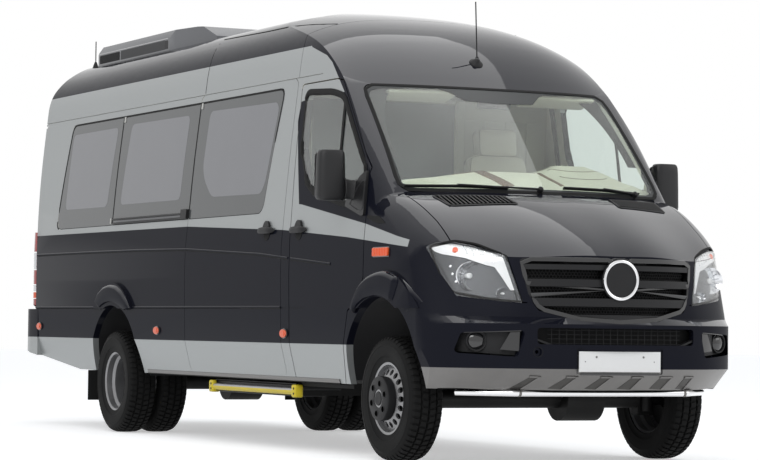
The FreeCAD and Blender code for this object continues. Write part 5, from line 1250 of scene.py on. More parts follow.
    def _repeater(self, side: Side) -> None:
        """The indicator on the front wing with its ribbed lens."""
        lens = self.side_plate(rectangle(-112, 88, 1164, 1212, 9), side, 0.012, grid=20)
        foot = self.side_plate(rectangle(-122, 94, 1159, 1217, 12), side, 0.004, grid=40, index=1)
        ribs = []
        for number in range(9):
            y = -96 + number * 21
            ribs.append(self.side_band([(y, 1168), (y, 1208)], side, 0.005, 0.0145, step=12))
        self.workshop.add(f"wing_indicator_{side.word}", join(lens, foot, *ribs),
                          ("lamp_orange", "gloss_black"), "body", "lamp_red", 40)

    def _window_lines(self, side: Side) -> None:
        """Rubber edge, dividers and clips of the side windows."""
        edge = smooth_outline(self.window_outline, 75)
        parts = [self.side_band(edge, side, 0.013, 0.0022, closed=True)]
        for y in self.dividers:
            parts.append(self.side_band([(y, 1470), (y, 2234)], side, 0.010, 0.0022))
        self.workshop.add(f"window_rubber_{side.word}", join(*parts), "rubber", "body", "rubber")
        clips = [self.side_plate(rectangle(y - 46, y - 18, 2196, 2236, 4), side, 0.005, grid=30)
                 for y in self.dividers]
        clips.append(self.side_plate(rectangle(4432, 4452, 1474, 1512, 4), side, 0.005, grid=30))
        self.workshop.add(f"window_clips_{side.word}", join(*clips), "step_tread", "body", "satin_metal")
        seam = self.side_band([(2914, 2300), (2914, 2640)], side, 0.005, 0.0012, step=40)
        self.workshop.add(f"roof_joint_{side.word}", seam, "rubber", "body", "rubber")

    def _slider_rail(self, side: Side) -> None:
        """The rail of the sliding pane with its latch."""
        rails = [
            self.side_band([(2992, 1473), (4408, 1473)], side, 0.014, 0.010),
            self.side_band([(2992, 1502), (4408, 1502)], side, 0.013, 0.012),
            self.side_band([(2992, 1487), (4408, 1487)], side, 0.017, 0.004, index=1),
            self.side_plate(rectangle(2976, 3080, 1468, 1530, 5), side, 0.018, grid=40),
        ]
        self.workshop.add(f"slider_rail_{side.word}", join(*rails), ("black_plastic", "lamp_grey"),
                          "body", "black_plastic")

    def _door_glass(self, side: Side, door: str) -> None:
        """Rubber round the door's window and the bar of its fixed corner."""
        edge = smooth_outline(self.door_glass, 60)
        frame = self.side_band(edge, side, 0.040, 0.005, closed=True, step=50)
        lip = self.side_band(edge, side, 0.022, 0.008, closed=True, step=50)
        post = self.side_band([(668, 2120), (652, 1820), (640, 1500)], side, 0.026, 0.006, step=40)
        belt = self.side_band([(330, 1482), (520, 1470), (980, 1556), (1110, 1626)], side, 0.020, 0.009)
        self.workshop.add(f"door_rubber_{side.word}", join(frame, lip, post, belt), "rubber", door,
                          "rubber")

    def _mirror_plate(self, side: Side, door: str) -> None:
        """The black corner plate that carries the mirror."""
        corner = smooth_outline(
            [(236, 1668), (232, 1405), (262, 1400), (500, 1466), (470, 1520), (330, 1632)], 22)
        plate = self.side_plate(corner, side, 0.016, grid=40)
        inner = [(248, 1610), (247, 1440), (300, 1430), (430, 1472), (330, 1580)]
        relief = self.side_band(smooth_outline(inner, 18), side, 0.008, 0.019, closed=True)
        self.workshop.add(f"mirror_plate_{side.word}", join(plate, relief), "mirror_black", door,
                          "black_plastic")
        foot = smooth_outline([(206, 1404), (40, 1392), (-44, 1352), (60, 1352), (206, 1388)], 14)
        blade = self.side_plate(foot, side, 0.003, grid=40)
        self.workshop.add(f"pillar_foot_{side.word}", blade, "rubber", "body", "black_plastic")

    def _sill(self, side: Side) -> None:
        """The bright strip under the doors."""
        strip = self.side_band([(640, 440), (3760, 440)], side, 0.026, 0.006)
        lip = self.side_band([(640, 428), (3760, 428)], side, 0.006, 0.009, index=1)
        self.workshop.add(f"sill_strip_{side.word}", join(strip, lip), ("satin_steel", "rubber"), "body",
                          "satin_metal")


@dataclass
class Mirrors(Trim):
    """Door mirrors: a rounded housing on an arm, with its glass."""

    centre_x: float = 1132.0
    centre_y: float = 405.0
    low_z: float = 1492.0
    high_z: float = 1784.0
    half_width: float = 84.0

    def build(self) -> None:
        """Builds both mirrors in place of their solids."""
        for side in Side:
            self._mirror(side)
            LOG.info("mirror on the %s", side.word)

    def _section(self, side: Side, share: float, scale: float) -> list[Vector]:
        """One rounded level of the housing."""
        height = self.low_z + (self.high_z - self.low_z) * share
        inward = 5 * (1 - share)
        corners = []
        for angle in turns(28):
            c, s = math.cos(angle), math.sin(angle)
            u = squared(c, 0.55) * (self.half_width + inward) * scale
            deep = 42.0 if s > 0 else 52.0
            v = squared(s, 0.62) * deep * (0.3 + 0.7 * scale)
            corners.append(at(side.value * (self.centre_x + u), self.centre_y + v - 4, height))
        return corners

    def _mirror(self, side: Side) -> None:
        """One mirror."""
        levels = [(0.0, 0.80), (0.012, 0.90), (0.04, 0.965), (0.10, 1.0), (0.5, 1.0), (0.82, 0.985),
                  (0.92, 0.96), (0.965, 0.91), (0.99, 0.83), (1.0, 0.74)]
        housing = sweep(levels, lambda i: self._section(side, *levels[i]))
        arm_points = [(1060, 412, 1562), (1020, 410, 1560), (985, 404, 1556), (962, 398, 1550)]

        def arm_section(i: int) -> list[Vector]:
            """One rounded section of the arm."""
            x, y, z = arm_points[i]
            half_y, half_z = (34, 58) if i < 3 else (48, 70)
            result = []
            for angle in turns(20):
                c, s = math.cos(angle), math.sin(angle)
                result.append(at(side.value * x, y + squared(c, 0.6) * half_y,
                                 z + squared(s, 0.6) * half_z))
            return result

        arm = sweep(arm_points, arm_section)
        fold = rod([at(side.value * 1050, 392 + 40 * math.cos(a), 1562 + 66 * math.sin(a))
                    for a in turns(24)], 0.004, 6, closed=True)
        glass_out = rectangle(1062, 1204, 1512, 1764, 22)
        rim = sweep(glass_out, lambda i: [
            at(side.value * (glass_out[i][0] + dx * (1 if glass_out[i][0] > 1133 else -1)), y,
               glass_out[i][1] + dx * (1 if glass_out[i][1] > 1638 else -1))
            for dx, y in ((0, 444), (6, 444), (6, 452), (0, 452))], closed=True)
        pane = bmesh.new()
        face = pane.faces.new([pane.verts.new(at(side.value * x, 448, z)) for x, z in glass_out])
        face.material_index = 1
        split = rod([at(side.value * 1066, 449, 1586), at(side.value * 1200, 449, 1586)], 0.002, 6)
        bmesh.ops.recalc_face_normals(pane, faces=pane.faces)
        if face.normal.y < 0:
            face.normal_flip()
        piece = self.workshop.add(
            f"mirror_housing_{side.word}", join(housing, arm, fold, rim, split, pane),
            ("mirror_black", "chrome"), f"door_front_{side.word}", "black_plastic", 45)
        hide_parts(f"mirror_{side.word}")


@dataclass
class Wheels(Trim):
    """Tyres with block treads, hub caps, nuts and valves."""

    radius: float = 357.0
    half_width: float = 102.5
    block_count: int = 56
    front_centre: float = 854.5
    rear_centres: tuple = (887.5, 651.5)
    rear_axle: float = 4325.0
    hub_reach: float = 1.002

    def build(self) -> None:
        """Builds all six wheels' trim."""
        for side in Side:
            self._front(side)
            self._rear(side)
            LOG.info("wheels on the %s", side.word)

    def _tyre(self, x: float, y: float) -> Mesh:
        """One tyre as a carcass with rows of tread blocks."""
        half = [
            (80, 205), (88.5, 207), (89, 222), (92, 236), (95, 243), (97, 244), (97, 247), (99.5, 262),
            (102.3, 287), (101.5, 300), (103.2, 302), (103.0, 306), (100.6, 309), (98, 322), (92, 333),
            (84, 340), (70, 345), (52, 348), (50, 343), (44, 343), (42, 349), (6, 350), (4, 344), (0, 344)]
        profile = [(u * MM, v * MM) for u, v in half]
        profile += [(-u, v) for u, v in reversed(profile[:-1])]
        origin = ORIGIN
        carcass = lathe(profile, origin, ACROSS, 72, closed=True)
        rubber = self.workshop.finishes["tyre_rubber"]
        meshes = [carcass]
        shoulder = [(53, 344), (53, 355.2), (62, 355), (84, 347), (96, 329), (92, 326), (78, 338)]
        centre = [(7, 346), (7, 356.8), (24, 356.8), (41, 356), (41, 346)]
        for sign in (-1, 1):
            for outline, half_long, shift, skew in (
                    (shoulder, 12.5, 0.0, 3.0), (centre, 13.5, 0.5, 7.0)):
                block = bmesh.new()
                ends = []
                for way in (-1, 1):
                    ring = []
                    for u, v in outline:
                        lean = skew * (u - outline[0][0]) / 40
                        ring.append(block.verts.new(Vector((sign * u, way * half_long + lean, v)) * MM))
                    ends.append(ring)
                count = len(outline)
                for k in range(count):
                    n = (k + 1) % count
                    block.faces.new((ends[0][k], ends[0][n], ends[1][n], ends[1][k]))
                block.faces.new(ends[0])
                block.faces.new(ends[1])
                bmesh.ops.recalc_face_normals(block, faces=block.faces)
                phase = (shift + (0.25 if sign > 0 else 0)) * 2 * math.pi / self.block_count
                meshes.append(self.repeater.ring(block, self.block_count, rubber, phase))
        tyre = join(*meshes)
        bmesh.ops.translate(tyre, vec=at(x, y, self.radius), verts=tyre.verts)
        return tyre

    def _nuts(self, x: float, y: float, outward: int, circle: float, index: int) -> Mesh:
        """Six wheel nuts on a circle."""
        nut = lathe([(0, 0), (0, 0.016), (0.012, 0.016), (0.017, 0.011), (0.024, 0.010), (0.027, 0.0)],
                    Vector((0, 0, circle * MM)), Vector((outward, 0, 0)), 12, index)
        steel = self.workshop.finishes["dull_steel"]
        nuts = self.repeater.ring(nut, 6, steel, math.radians(12), index)
        bmesh.ops.translate(nuts, vec=at(x, y, self.radius), verts=nuts.verts)
        return nuts

    def _face_x(self, node: str, side: Side, y: float, circle: float) -> float:
        """How far out a wheel's disc lies at a circle, in millimetres."""
        disc = self.skin(node)
        place, _ = disc.side(y, self.radius - circle, side)
        return abs(place.x) / MM

    def _front(self, side: Side) -> None:
        """Tyre and hub cap of a front wheel."""
        body = f"wheel_front_{side.word}"
        tyre = self.workshop.add(
            f"tyre_tread_front_{side.word}", self._tyre(side.value * self.front_centre, 0),
            "tyre_rubber", body, "tyre", 28)
        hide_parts(f"tyre_front_{side.word}")
        out = Vector((side.value, 0, 0))
        seat = self._face_x(f"rim_front_{side.word}", side, 0, 95)
        centre = at(side.value * seat, 0, self.radius)
        face = self.hub_reach - seat * MM
        cap = lathe(
            [(-0.002, 0.0), (-0.002, 0.124), (face - 0.014, 0.129), (face - 0.005, 0.127),
             (face, 0.119), (face, 0.054), (face - 0.007, 0.049), (face - 0.007, 0.043),
             (face + 0.001, 0.038), (face + 0.002, 0.030), (face - 0.002, 0.0)], centre, out, 56)
        # Near-black discs on the cap's six recesses paint the shade inside them.
        pit = lathe([(face + 0.0004, 0.0), (face + 0.0004, 0.0165), (face - 0.004, 0.0165)],
                    Vector((0, 0, 0.087)), out, 20, 1)
        rim = lathe([(face - 0.002, 0.0165), (face + 0.0025, 0.0172), (face + 0.0022, 0.0200),
                     (face - 0.002, 0.0215)], Vector((0, 0, 0.087)), out, 20, 0)
        pits = self.repeater.ring(pit, 6, self.workshop.finishes["deep_black"], math.radians(12), 1)
        rims = self.repeater.ring(rim, 6, self.workshop.finishes["black_plastic"], math.radians(12))
        for mesh in (pits, rims):
            bmesh.ops.translate(mesh, vec=centre, verts=mesh.verts)
        # A dark disc behind the rim stands for the brake drum; its near-black also paints the shade seen
        # through the rim's holes.
        disc = lathe([(-0.046, 0.06), (-0.046, 0.176), (-0.036, 0.178), (-0.034, 0.06)], centre, out,
                     48, 2, closed=True)
        valve = rod([centre + Vector((side.value * 0.004, 0.158, 0.02)),
                     centre + Vector((side.value * 0.026, 0.166, 0.021))], 0.004, 8)
        self.workshop.add(
            f"hub_cap_front_{side.word}", join(cap, pits, rims, disc, valve),
            ("black_plastic", "deep_black", "chassis_black"), body, "black_plastic", 35)

    def _rear(self, side: Side) -> None:
        """The twin tyres, nuts and hub cover of a rear wheel."""
        body = f"wheels_rear_{side.word}"
        tyres = join(*[self._tyre(side.value * x, self.rear_axle) for x in self.rear_centres])
        piece = self.workshop.add(f"tyre_treads_rear_{side.word}", tyres, "tyre_rubber", body, "tyre", 28)
        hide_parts(f"tyres_rear_{side.word}")
        seat = self._face_x(f"rims_rear_{side.word}", side, self.rear_axle, 80)
        centre = at(side.value * seat, self.rear_axle, self.radius)
        out = Vector((side.value, 0, 0))
        cover = lathe([(-0.002, 0.0), (-0.002, 0.058), (0.030, 0.056), (0.036, 0.050), (0.038, 0.0)],
                      centre, out, 36)
        nuts = self._nuts(side.value * seat, self.rear_axle, side.value, 81, 1)
        steps = [lathe([(0, r), (0.004, r + 0.001), (0.004, r + 0.006), (0, r + 0.007)],
                       at(side.value * self._face_x(f"rims_rear_{side.word}", side, self.rear_axle,
                                                    r / MM + 3), self.rear_axle, self.radius),
                       out, 60, 2) for r in (0.112, 0.136)]
        self.workshop.add(
            f"hub_cover_rear_{side.word}", join(cover, nuts, *steps),
            ("chassis_black", "dull_steel", "rim_silver"), body, "rim_paint", 35)


class FrontPatch:
    """A smooth face through the skin round an opening, for what lies in it."""

    def __init__(self, probe: SkinProbe, ring: Sequence[Point2]) -> None:
        """Fits a curved face to the skin under a ring of front-view points.

        Args:
            probe: The skin.
            ring: Points on solid skin round the opening, in millimetres.
        """
        rows, depths = [], []
        for x, z in ring:
            place, _ = probe.front(x, z)
            rows.append((1.0, x / 1000, z / 1000, (x / 1000) ** 2))
            depths.append(place.y)
        near = np.abs(np.array(depths) - np.median(depths)) < 0.30
        self.factors = np.linalg.lstsq(np.array(rows)[near], np.array(depths)[near], rcond=None)[0]

    def __call__(self, x: float, z: float) -> Place:
        """The place and normal of a front-view point."""
        u, v = x / 1000, z / 1000
        a, b, c, d = (float(f) for f in self.factors)
        normal = Vector((b + 2 * d * u, -1.0, c)).normalized()
        return Vector((u, a + b * u + c * v + d * u * u, v)), normal


def grown(outline: Sequence[Point2], distance: float) -> list[Point2]:
    """An outline moved outwards from its middle."""
    middle = Vector((sum(p[0] for p in outline), sum(p[1] for p in outline))) / len(outline)
    result = []
    for point in outline:
        way = Vector(point) - middle
        spot = Vector(point) + way.normalized() * distance
        result.append((spot.x, spot.y))
    return result


def flipped(outline: Sequence[Point2], way: int) -> list[Point2]:
    """An outline on the chosen side, from one given for positive X."""
    return [(u * way, v) for u, v in outline]


@dataclass
class Nose(Trim):
    """Grille mesh, badge ring, lamps, recesses, plate and skid details."""

    grille: tuple = (
        (-470, 850), (-300, 812), (300, 812), (470, 850), (515, 1000), (505, 1125), (-505, 1125),
        (-515, 1000))
    slot: tuple = (
        (-400, 655), (400, 655), (515, 700), (515, 745), (470, 775), (-470, 775), (-515, 745),
        (-515, 700))
    fog: tuple = ((600, 620), (895, 638), (862, 752), (566, 766))
    badge_height: float = 1036.0
    badge_radius: float = 0.104
    lens: tuple = (
        (932, 1213), (833, 1243), (740, 1224), (616, 1168), (590, 1076), (542, 912), (715, 928),
        (857, 957), (905, 1059))
    lens_white: tuple = (
        (928, 1207), (833, 1233), (740, 1213), (650, 1180), (621, 1152), (604, 1074), (574, 975),
        (600, 975), (640, 1052), (668, 1102), (713, 1113), (798, 1148), (893, 1170), (920, 1186))

    def build(self) -> None:
        """Builds the nose from the grille outwards."""
        self._grille()
        self._badge()
        self._bumper_slot()
        for side in Side:
            self._headlamp(side)
            self._fog_lamp(side)
        self._plate()
        self._tow_cover()
        self._skid()
        self._vents()
        LOG.info("nose built")

    def _grille(self) -> None:
        """Honeycomb behind the slats, with a dark panel behind it."""
        skin = self.skin("grille")
        patch = FrontPatch(skin, [(x, z) for z in (909, 1104) for x in range(-450, 451, 75)])
        black = self.workshop.finishes["black_plastic"]
        cell = lathe([(-0.004, 0.0085), (-0.004, 0.0100), (0.004, 0.0100), (0.004, 0.0085)],
                     ORIGIN, REARWARD, 6, closed=True)
        step = Vector((0.0185, 0, 0))
        cells = self.repeater.rows(cell, 56, step, black, 20, Vector((0, 0, 0.0160)), 0.5)
        bmesh.ops.translate(cells, vec=Vector((-0.520, 0, 0.828)), verts=cells.verts)
        for vertex in cells.verts:
            place, normal = patch(vertex.co.x / MM, vertex.co.z / MM)
            vertex.co = place + normal * (-0.042 - vertex.co.y)
        outside = [f for f in cells.faces if not inside_outline(
            (f.calc_center_median().x / MM, f.calc_center_median().z / MM), self.grille)]
        bmesh.ops.delete(cells, geom=outside, context="FACES")
        back = filled(self.grille, 80, patch, -0.055, 0.060, 1)
        self.workshop.add("grille_mesh", join(cells, back), ("black_plastic", "rubber"), "bonnet",
                          "black_plastic")
        outline = outline_on(skin, (0, 980), 96, lambda x, z: (at(x, FRONT_START, z), REARWARD))
        places = []
        for x, z in outline:
            place, _ = skin.front(x * 0.985, 980 + (z - 980) * 0.97)
            places.append((place, patch(x, z)[1]))
        rim = band(places, 0.024, 0.0035, closed=True)
        self.workshop.add("grille_rim", rim, "gloss_black", "bonnet", "paint_dark")

    def _badge(self) -> None:
        """A bright ring round a plain dark disc."""
        skin = self.skin("grille")
        seat, _ = skin.front(0, self.badge_height)
        centre = Vector((0, seat.y, self.badge_height * MM))
        out = Vector((0, -1, -0.02)).normalized()
        r = self.badge_radius
        disc = lathe([(-0.004, 0.0), (-0.004, r + 0.012), (0.001, r + 0.014), (0.003, r + 0.010),
                      (0.001, r - 0.008), (0.0032, r * 0.6), (0.004, 0.0)], centre, out, 64)
        ring = lathe([(0.004 + 0.0060 * math.sin(a), r + 0.0086 * math.cos(a)) for a in turns(12)],
                     centre, out, 72, 1, closed=True)
        self.workshop.add("badge_ring", join(disc, ring), ("black_plastic", "chrome"), "bonnet", "chrome")

    def _bumper_slot(self) -> None:
        """The bumper's air slot: dark tray, wire mesh and side fins."""
        patch = FrontPatch(self.probe, [(x, z) for z in (630, 800) for x in range(-480, 481, 60)])
        tray = filled(grown(self.slot, 14), 80, patch, -0.062, 0.066)
        rubber = self.workshop.finishes["black_plastic"]
        upright = rounded_box(ORIGIN, Vector((0.004, 0.005, 0.118)), 0.001, 1)
        level = rounded_box(ORIGIN, Vector((0.0455, 0.005, 0.004)), 0.001, 1)
        wires = self.repeater.rows(upright, 19, Vector((0.045, 0, 0)), rubber, index=1)
        bmesh.ops.translate(wires, vec=Vector((-0.405, 0, 0.708)), verts=wires.verts)
        levels = self.repeater.rows(
            level, 19, Vector((0.045, 0, 0)), rubber, 5, Vector((0, 0, 0.024)), index=1)
        bmesh.ops.translate(levels, vec=Vector((-0.405, 0, 0.662)), verts=levels.verts)
        for mesh in (wires, levels):
            for vertex in mesh.verts:
                place, normal = patch(vertex.co.x / MM, vertex.co.z / MM)
                vertex.co = place + normal * (-0.034 - vertex.co.y)
        lips = []
        for way in (-1, 1):
            fin = flipped([(395, 660), (505, 702), (505, 712), (400, 676)], way)
            lips.append(filled(fin, 40, patch, -0.006, 0.040, 1))
        self.workshop.add("bumper_mesh", join(tray, wires, levels, *lips), ("rubber", "black_plastic"),
                          "body", "black_plastic")

    def _headlamp(self, side: Side) -> None:
        """Reflector bowls, white band and bulbs behind the lens."""
        way = side.value
        lens = self.skin("headlamp_lenses")
        patch = FrontPatch(lens, flipped([
            (900, 1180), (840, 1215), (750, 1195), (650, 1140), (620, 1050), (590, 945), (700, 950),
            (830, 975), (880, 1070), (760, 1060), (700, 1100), (800, 1130)], way))

        def surface(x: float, z: float) -> Place:
            """The lens at a point, or the fitted face where the lens ends."""
            found = lens.tree.ray_cast(at(x, FRONT_START, z), REARWARD)
            if found[0] is None:
                return patch(x, z)
            return found[0], patch(x, z)[1]

        base = filled(flipped(grown(self.lens, -12), way), 30, surface, -0.026, 0.040, 0)
        white = filled(flipped(smooth_outline(self.lens_white, 8), way), 24, surface, -0.012, 0.030, 1)
        parts = [base, white]
        for x, z, half_x, half_z in ((776, 1049, 80, 72), (627, 953, 44, 30)):
            place, normal = surface(way * x, z)
            bowl = lathe([(-0.050, 0.0), (-0.049, 0.2), (-0.043, 0.55), (-0.031, 0.82), (-0.016, 1.0),
                          (-0.012, 1.06), (-0.020, 1.10), (-0.030, 1.06)],
                         ORIGIN, FORWARD, 36, 2)
            bulb = lathe([(-0.050, 0.22), (-0.040, 0.24), (-0.024, 0.22), (-0.020, 0.16),
                          (-0.019, 0.0)], ORIGIN, FORWARD, 24, 1)
            both = join(bowl, bulb)
            for vertex in both.verts:
                vertex.co = place + Vector((vertex.co.x * half_x * MM, vertex.co.y - 0.002,
                                            vertex.co.z * half_z * MM))
            parts.append(both)
            flute = rounded_box(Vector((0, 0.0, 0.55)), Vector((0.05, 0.004, 0.62)), 0.0, 1)
            bmesh.ops.rotate(flute, cent=ORIGIN, verts=flute.verts,
                             matrix=Matrix.Rotation(math.radians(90), 3, "Z"))
            flutes = self.repeater.ring(flute, 14, self.workshop.finishes["lamp_bright"], index=2)
            turn = Matrix.Rotation(math.radians(90), 3, "Z")
            bmesh.ops.rotate(flutes, cent=ORIGIN, verts=flutes.verts, matrix=turn)
            for vertex in flutes.verts:
                radius = math.hypot(vertex.co.x, vertex.co.z)
                deep = 0.046 - 0.030 * radius ** 2
                vertex.co = place + Vector((vertex.co.x * half_x * MM, deep - 0.002,
                                            vertex.co.z * half_z * MM))
            parts.append(flutes)
        place, normal = surface(way * 840, 1192)
        bulb = lathe([(-0.012, 0.0), (-0.010, 0.014), (0.002, 0.017), (0.010, 0.011), (0.012, 0.0)],
                     place - normal * 0.016, normal, 20, 3)
        bars = []
        for number in range(5):
            x = 668 + number * 30
            low, high = 1128 + number * 11, 1172 + number * 12
            path = [surface(way * x, low), surface(way * (x + 4), high)]
            bars.append(band([(p - n * 0.011, n) for p, n in path], 0.006, 0.003, index=2))
        dots = []
        for x, z in ((868, 1105), (862, 1062), (850, 1020)):
            place, normal = surface(way * x, z)
            dots.append(lathe([(0, 0.009), (0.003, 0.007), (0.004, 0.0)], place - normal * 0.025,
                              normal, 12, 2))
        self.workshop.add(
            f"headlamp_inner_{side.word}", join(*parts, bulb, *bars, *dots),
            ("lamp_grey", "lamp_white", "lamp_bright", "lamp_orange"), "body", "lamp_inner", 40)
        edge = [surface(x, z) for x, z in flipped(smooth_outline(grown(self.lens, 3), 20), way)]
        gap = band([(p - n * 0.004, n) for p, n in edge], 0.010, 0.002, 0.012, closed=True)
        self.workshop.add(f"headlamp_seal_{side.word}", gap, "rubber", "body", "rubber")

    def _fog_lamp(self, side: Side) -> None:
        """The fog lamp in its dark recess."""
        way = side.value
        ring = flipped([(540, 600), (700, 598), (860, 600), (905, 625), (905, 760), (800, 785),
                        (600, 790), (545, 760)], way)
        patch = FrontPatch(self.probe, ring)
        tray = filled(flipped(grown(self.fog, 8), way), 30, patch, -0.050, 0.054)
        place, normal = patch(way * 800, 694)
        out = Vector((way * 0.30, -1, 0)).normalized()
        seat = place - normal * 0.030
        lamp = lathe([(-0.020, 0.060), (0.000, 0.060), (0.006, 0.056), (0.004, 0.050), (-0.004, 0.047),
                      (-0.012, 0.046)], seat, out, 40)
        bowl = lathe([(-0.040, 0.0), (-0.038, 0.016), (-0.028, 0.034), (-0.010, 0.046)], seat, out, 40, 1)
        glass = lathe([(-0.006, 0.047), (0.002, 0.036), (0.006, 0.018), (0.007, 0.0)], seat, out, 32, 2)
        fin = filled(flipped([(594, 640), (690, 648), (640, 742), (590, 745)], way), 30, patch, -0.016,
                     0.040, 3)
        brow = filled(flipped([(585, 748), (870, 736), (858, 752), (572, 764)], way), 30, patch, -0.008,
                      0.030, 3)
        self.workshop.add(
            f"fog_lamp_{side.word}", join(tray, lamp, bowl, glass, fin, brow),
            ("black_plastic", "lamp_bright", "gloss_black", "gloss_black"), "body", "black_plastic", 40)

    def _plate(self) -> None:
        """The frame round the blank plate."""
        low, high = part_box("number_plate")
        outline = rectangle(low[0] / MM - 4, high[0] / MM + 4, low[2] / MM - 5, high[2] / MM + 7, 8)

        def section(i: int) -> list[Vector]:
            """The frame's flat section at one corner."""
            x, z = outline[i]
            middle = (low[2] + high[2]) / 2
            result = []
            for spread, y in ((-0.007, low[1] - 0.003), (0.007, low[1] - 0.004),
                              (0.009, low[1] + 0.002), (0.009, high[1]), (-0.004, high[1])):
                result.append(Vector((x * MM + math.copysign(spread, x), y,
                                      z * MM + math.copysign(spread, z * MM - middle))))
            return result

        frame = sweep(outline, section, closed=True)
        lip = rounded_box(Vector((0, low[1] - 0.001, low[2] - 0.011)), Vector((0.50, 0.007, 0.016)), 0.003)
        studs = [lathe([(0, 0.006), (0.003, 0.005), (0.004, 0.0)],
                       Vector((x, low[1], high[2] - 0.030)), FORWARD, 16, 1)
                 for x in (-0.150, 0.150)]
        self.workshop.add("plate_frame", join(frame, lip, *studs), ("gloss_black", "satin_steel"), "body",
                          "black_plastic")

    def _tow_cover(self) -> None:
        """The seam round the cover of the towing socket."""
        ring = [self.probe.front(x, z) for x, z in ellipse(-494, 636, 25, 27, 32)]
        seam = band(ring, 0.003, 0.0008, closed=True)
        self.workshop.add("tow_cover_seam", seam, "rubber", "body", "paint_dark")

    def _skid(self) -> None:
        """Ribs on the skid plate and collars on its tube."""
        ribs = [((-513, -466), (-583, -529)), ((-308, -251), (-382, -308)), ((-101, -40), (-168, -103)),
                ((96, 162), (33, 120)), ((290, 368), (256, 335)), ((470, 530), (452, 512))]
        plates = []
        for top, bottom in ribs:
            outline = [(bottom[0], 436), (bottom[1], 432), (top[1], 500), (top[0], 498)]
            # The darker plates between the ribs paint the shade in the downward-facing grooves.
            plates.append(filled(outline, 25, self.on_front(), 0.0012, 0.002, 1))
            edge = [self.probe.front(x, z) for x, z in along_path(
                [(bottom[1] + 6, 432), (top[1] + 6, 502), (top[0] - 4, 502)], 20)]
            plates.append(band(edge, 0.012, 0.006))
        self.workshop.add("skid_ribs", join(*plates), ("satin_steel", "skid_shade"), "body",
                          "satin_metal", 35)
        tube = self.skin("skid_tube")
        low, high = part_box("skid_tube")
        radius = (high[2] - low[2]) / 2
        collars = []
        for x in (-530, 530):
            place, _ = tube.front(x, (low[2] + radius) / MM)
            centre = Vector((place.x, place.y + radius, low[2] + radius))
            collars.append(lathe(
                [(-0.007, radius - 0.003), (-0.007, radius + 0.002), (0.007, radius + 0.002),
                 (0.007, radius - 0.003)], centre, ACROSS, 36, closed=True))
        self.workshop.add("tube_collars", join(*collars), "dull_steel", "body", "chrome")

    def _vents(self) -> None:
        """Ribbed air vents at the bonnet's rear."""
        black = self.workshop.finishes["black_plastic"]
        meshes = []
        for side in Side:
            way = side.value
            corners = flipped([(738, -118), (708, -290), (330, -408), (356, -256)], way)
            # The near-black plate under the ribs paints the shade inside the vent openings.
            meshes.append(filled(smooth_outline(corners, 26), 40, self.probe.top, 0.0015, 0.004, 1))
            rim = [self.probe.top(x, y) for x, y in along_path(smooth_outline(corners, 30), 40, True)]
            meshes.append(band(rim, 0.012, 0.005, closed=True))
            rib = rounded_box(ORIGIN, Vector((0.009, 1.0, 0.008)), 0.0)
            ribs = self.repeater.rows(rib, 16, Vector((0.0238, 0, 0)), black)
            for vertex in ribs.verts:
                across = 348 + vertex.co.x / MM
                share = min(1.0, max(0.0, (across - 330) / 408))
                rear = -262 + share * 140
                front = -398 + share * 112
                y = (rear + front) / 2 + vertex.co.y * (rear - front) * 0.92
                place, normal = self.probe.top(way * across, y)
                vertex.co = place + normal * (0.003 + vertex.co.z)
            bmesh.ops.recalc_face_normals(ribs, faces=ribs.faces)
            meshes.append(ribs)
        self.workshop.add("bonnet_vents", join(*meshes), ("black_plastic", "deep_black"), "bonnet",
                          "black_plastic")


@dataclass
class Screen(Trim):
    """The windscreen's black border, its seal and the wipers."""

    middle: Point2 = (0, 1860)
    clear: tuple = (
        (-807, 2132), (-790, 2159), (-751, 2178), (-348, 2187), (-291, 2160), (-243, 2116),
        (-47, 2105), (221, 2109), (275, 2139), (311, 2170), (353, 2180), (592, 2190), (745, 2186),
        (790, 2150), (812, 2000), (822, 1745), (835, 1600), (832, 1566), (657, 1565), (27, 1568),
        (-659, 1560), (-816, 1562), (-838, 1585), (-832, 1787), (-822, 1976))
    wipers: tuple = (
        (((-835, 1566), (-540, 1570), (-250, 1566)), ((-60, 1552), (-300, 1558), (-545, 1568))),
        (((110, 1576), (400, 1574), (690, 1564)), ((640, 1552), (520, 1562), (395, 1572))))

    def build(self) -> None:
        """Builds the border, the seal and both wipers."""
        skin = self.skin("windscreen")
        outer = outline_on(skin, self.middle, 120,
                           lambda x, z: (at(x, FRONT_START, z), REARWARD))
        mesh = bmesh.new()
        rings = []
        for x, z in outer:
            way = Vector((x, z)) - Vector(self.middle)
            inner = reach_inside(self.clear, self.middle, way.normalized())
            ring = []
            for step in range(6):
                spot = Vector(self.middle) + way.normalized() * (
                    inner + (way.length - 2 - inner) * step / 5)
                place, normal = skin.front(spot.x, spot.y)
                ring.append(mesh.verts.new(place + normal * 0.0006))
            rings.append(ring)
        for first, second in zip(rings, [*rings[1:], rings[0]]):
            for k in range(5):
                mesh.faces.new((first[k], first[k + 1], second[k + 1], second[k]))
        bmesh.ops.recalc_face_normals(mesh, faces=mesh.faces)
        bmesh.ops.solidify(mesh, geom=mesh.faces[:], thickness=0.0008)
        self.workshop.add("screen_border", mesh, "border_black", "body", "black_plastic", 50)
        edge = [skin.front(x * 0.998, 1860 + (z - 1860) * 0.996) for x, z in outer]
        seal = band(edge, 0.022, 0.004, closed=True)
        self.workshop.add("screen_seal", seal, "rubber", "body", "rubber")
        parts = []
        for blade, arm in self.wipers:
            places = [skin.front(x, z) for x, z in along_path(blade, 60)]
            lifted = [(p + n * 0.008, n) for p, n in places]
            parts.append(band(lifted, 0.009, 0.012, 0.008))
            places = [skin.front(x, z) for x, z in along_path(arm, 80)]
            parts.append(rod([p + n * 0.024 for p, n in places], 0.006, 8))
            foot, normal = skin.front(*arm[0])
            parts.append(lathe([(0.0, 0.018), (0.030, 0.016), (0.036, 0.010), (0.038, 0.0)], foot,
                               normal, 16))
        self.workshop.add("wipers", join(*parts), "black_plastic", "body", "black_plastic", 40)
        LOG.info("windscreen trim built")


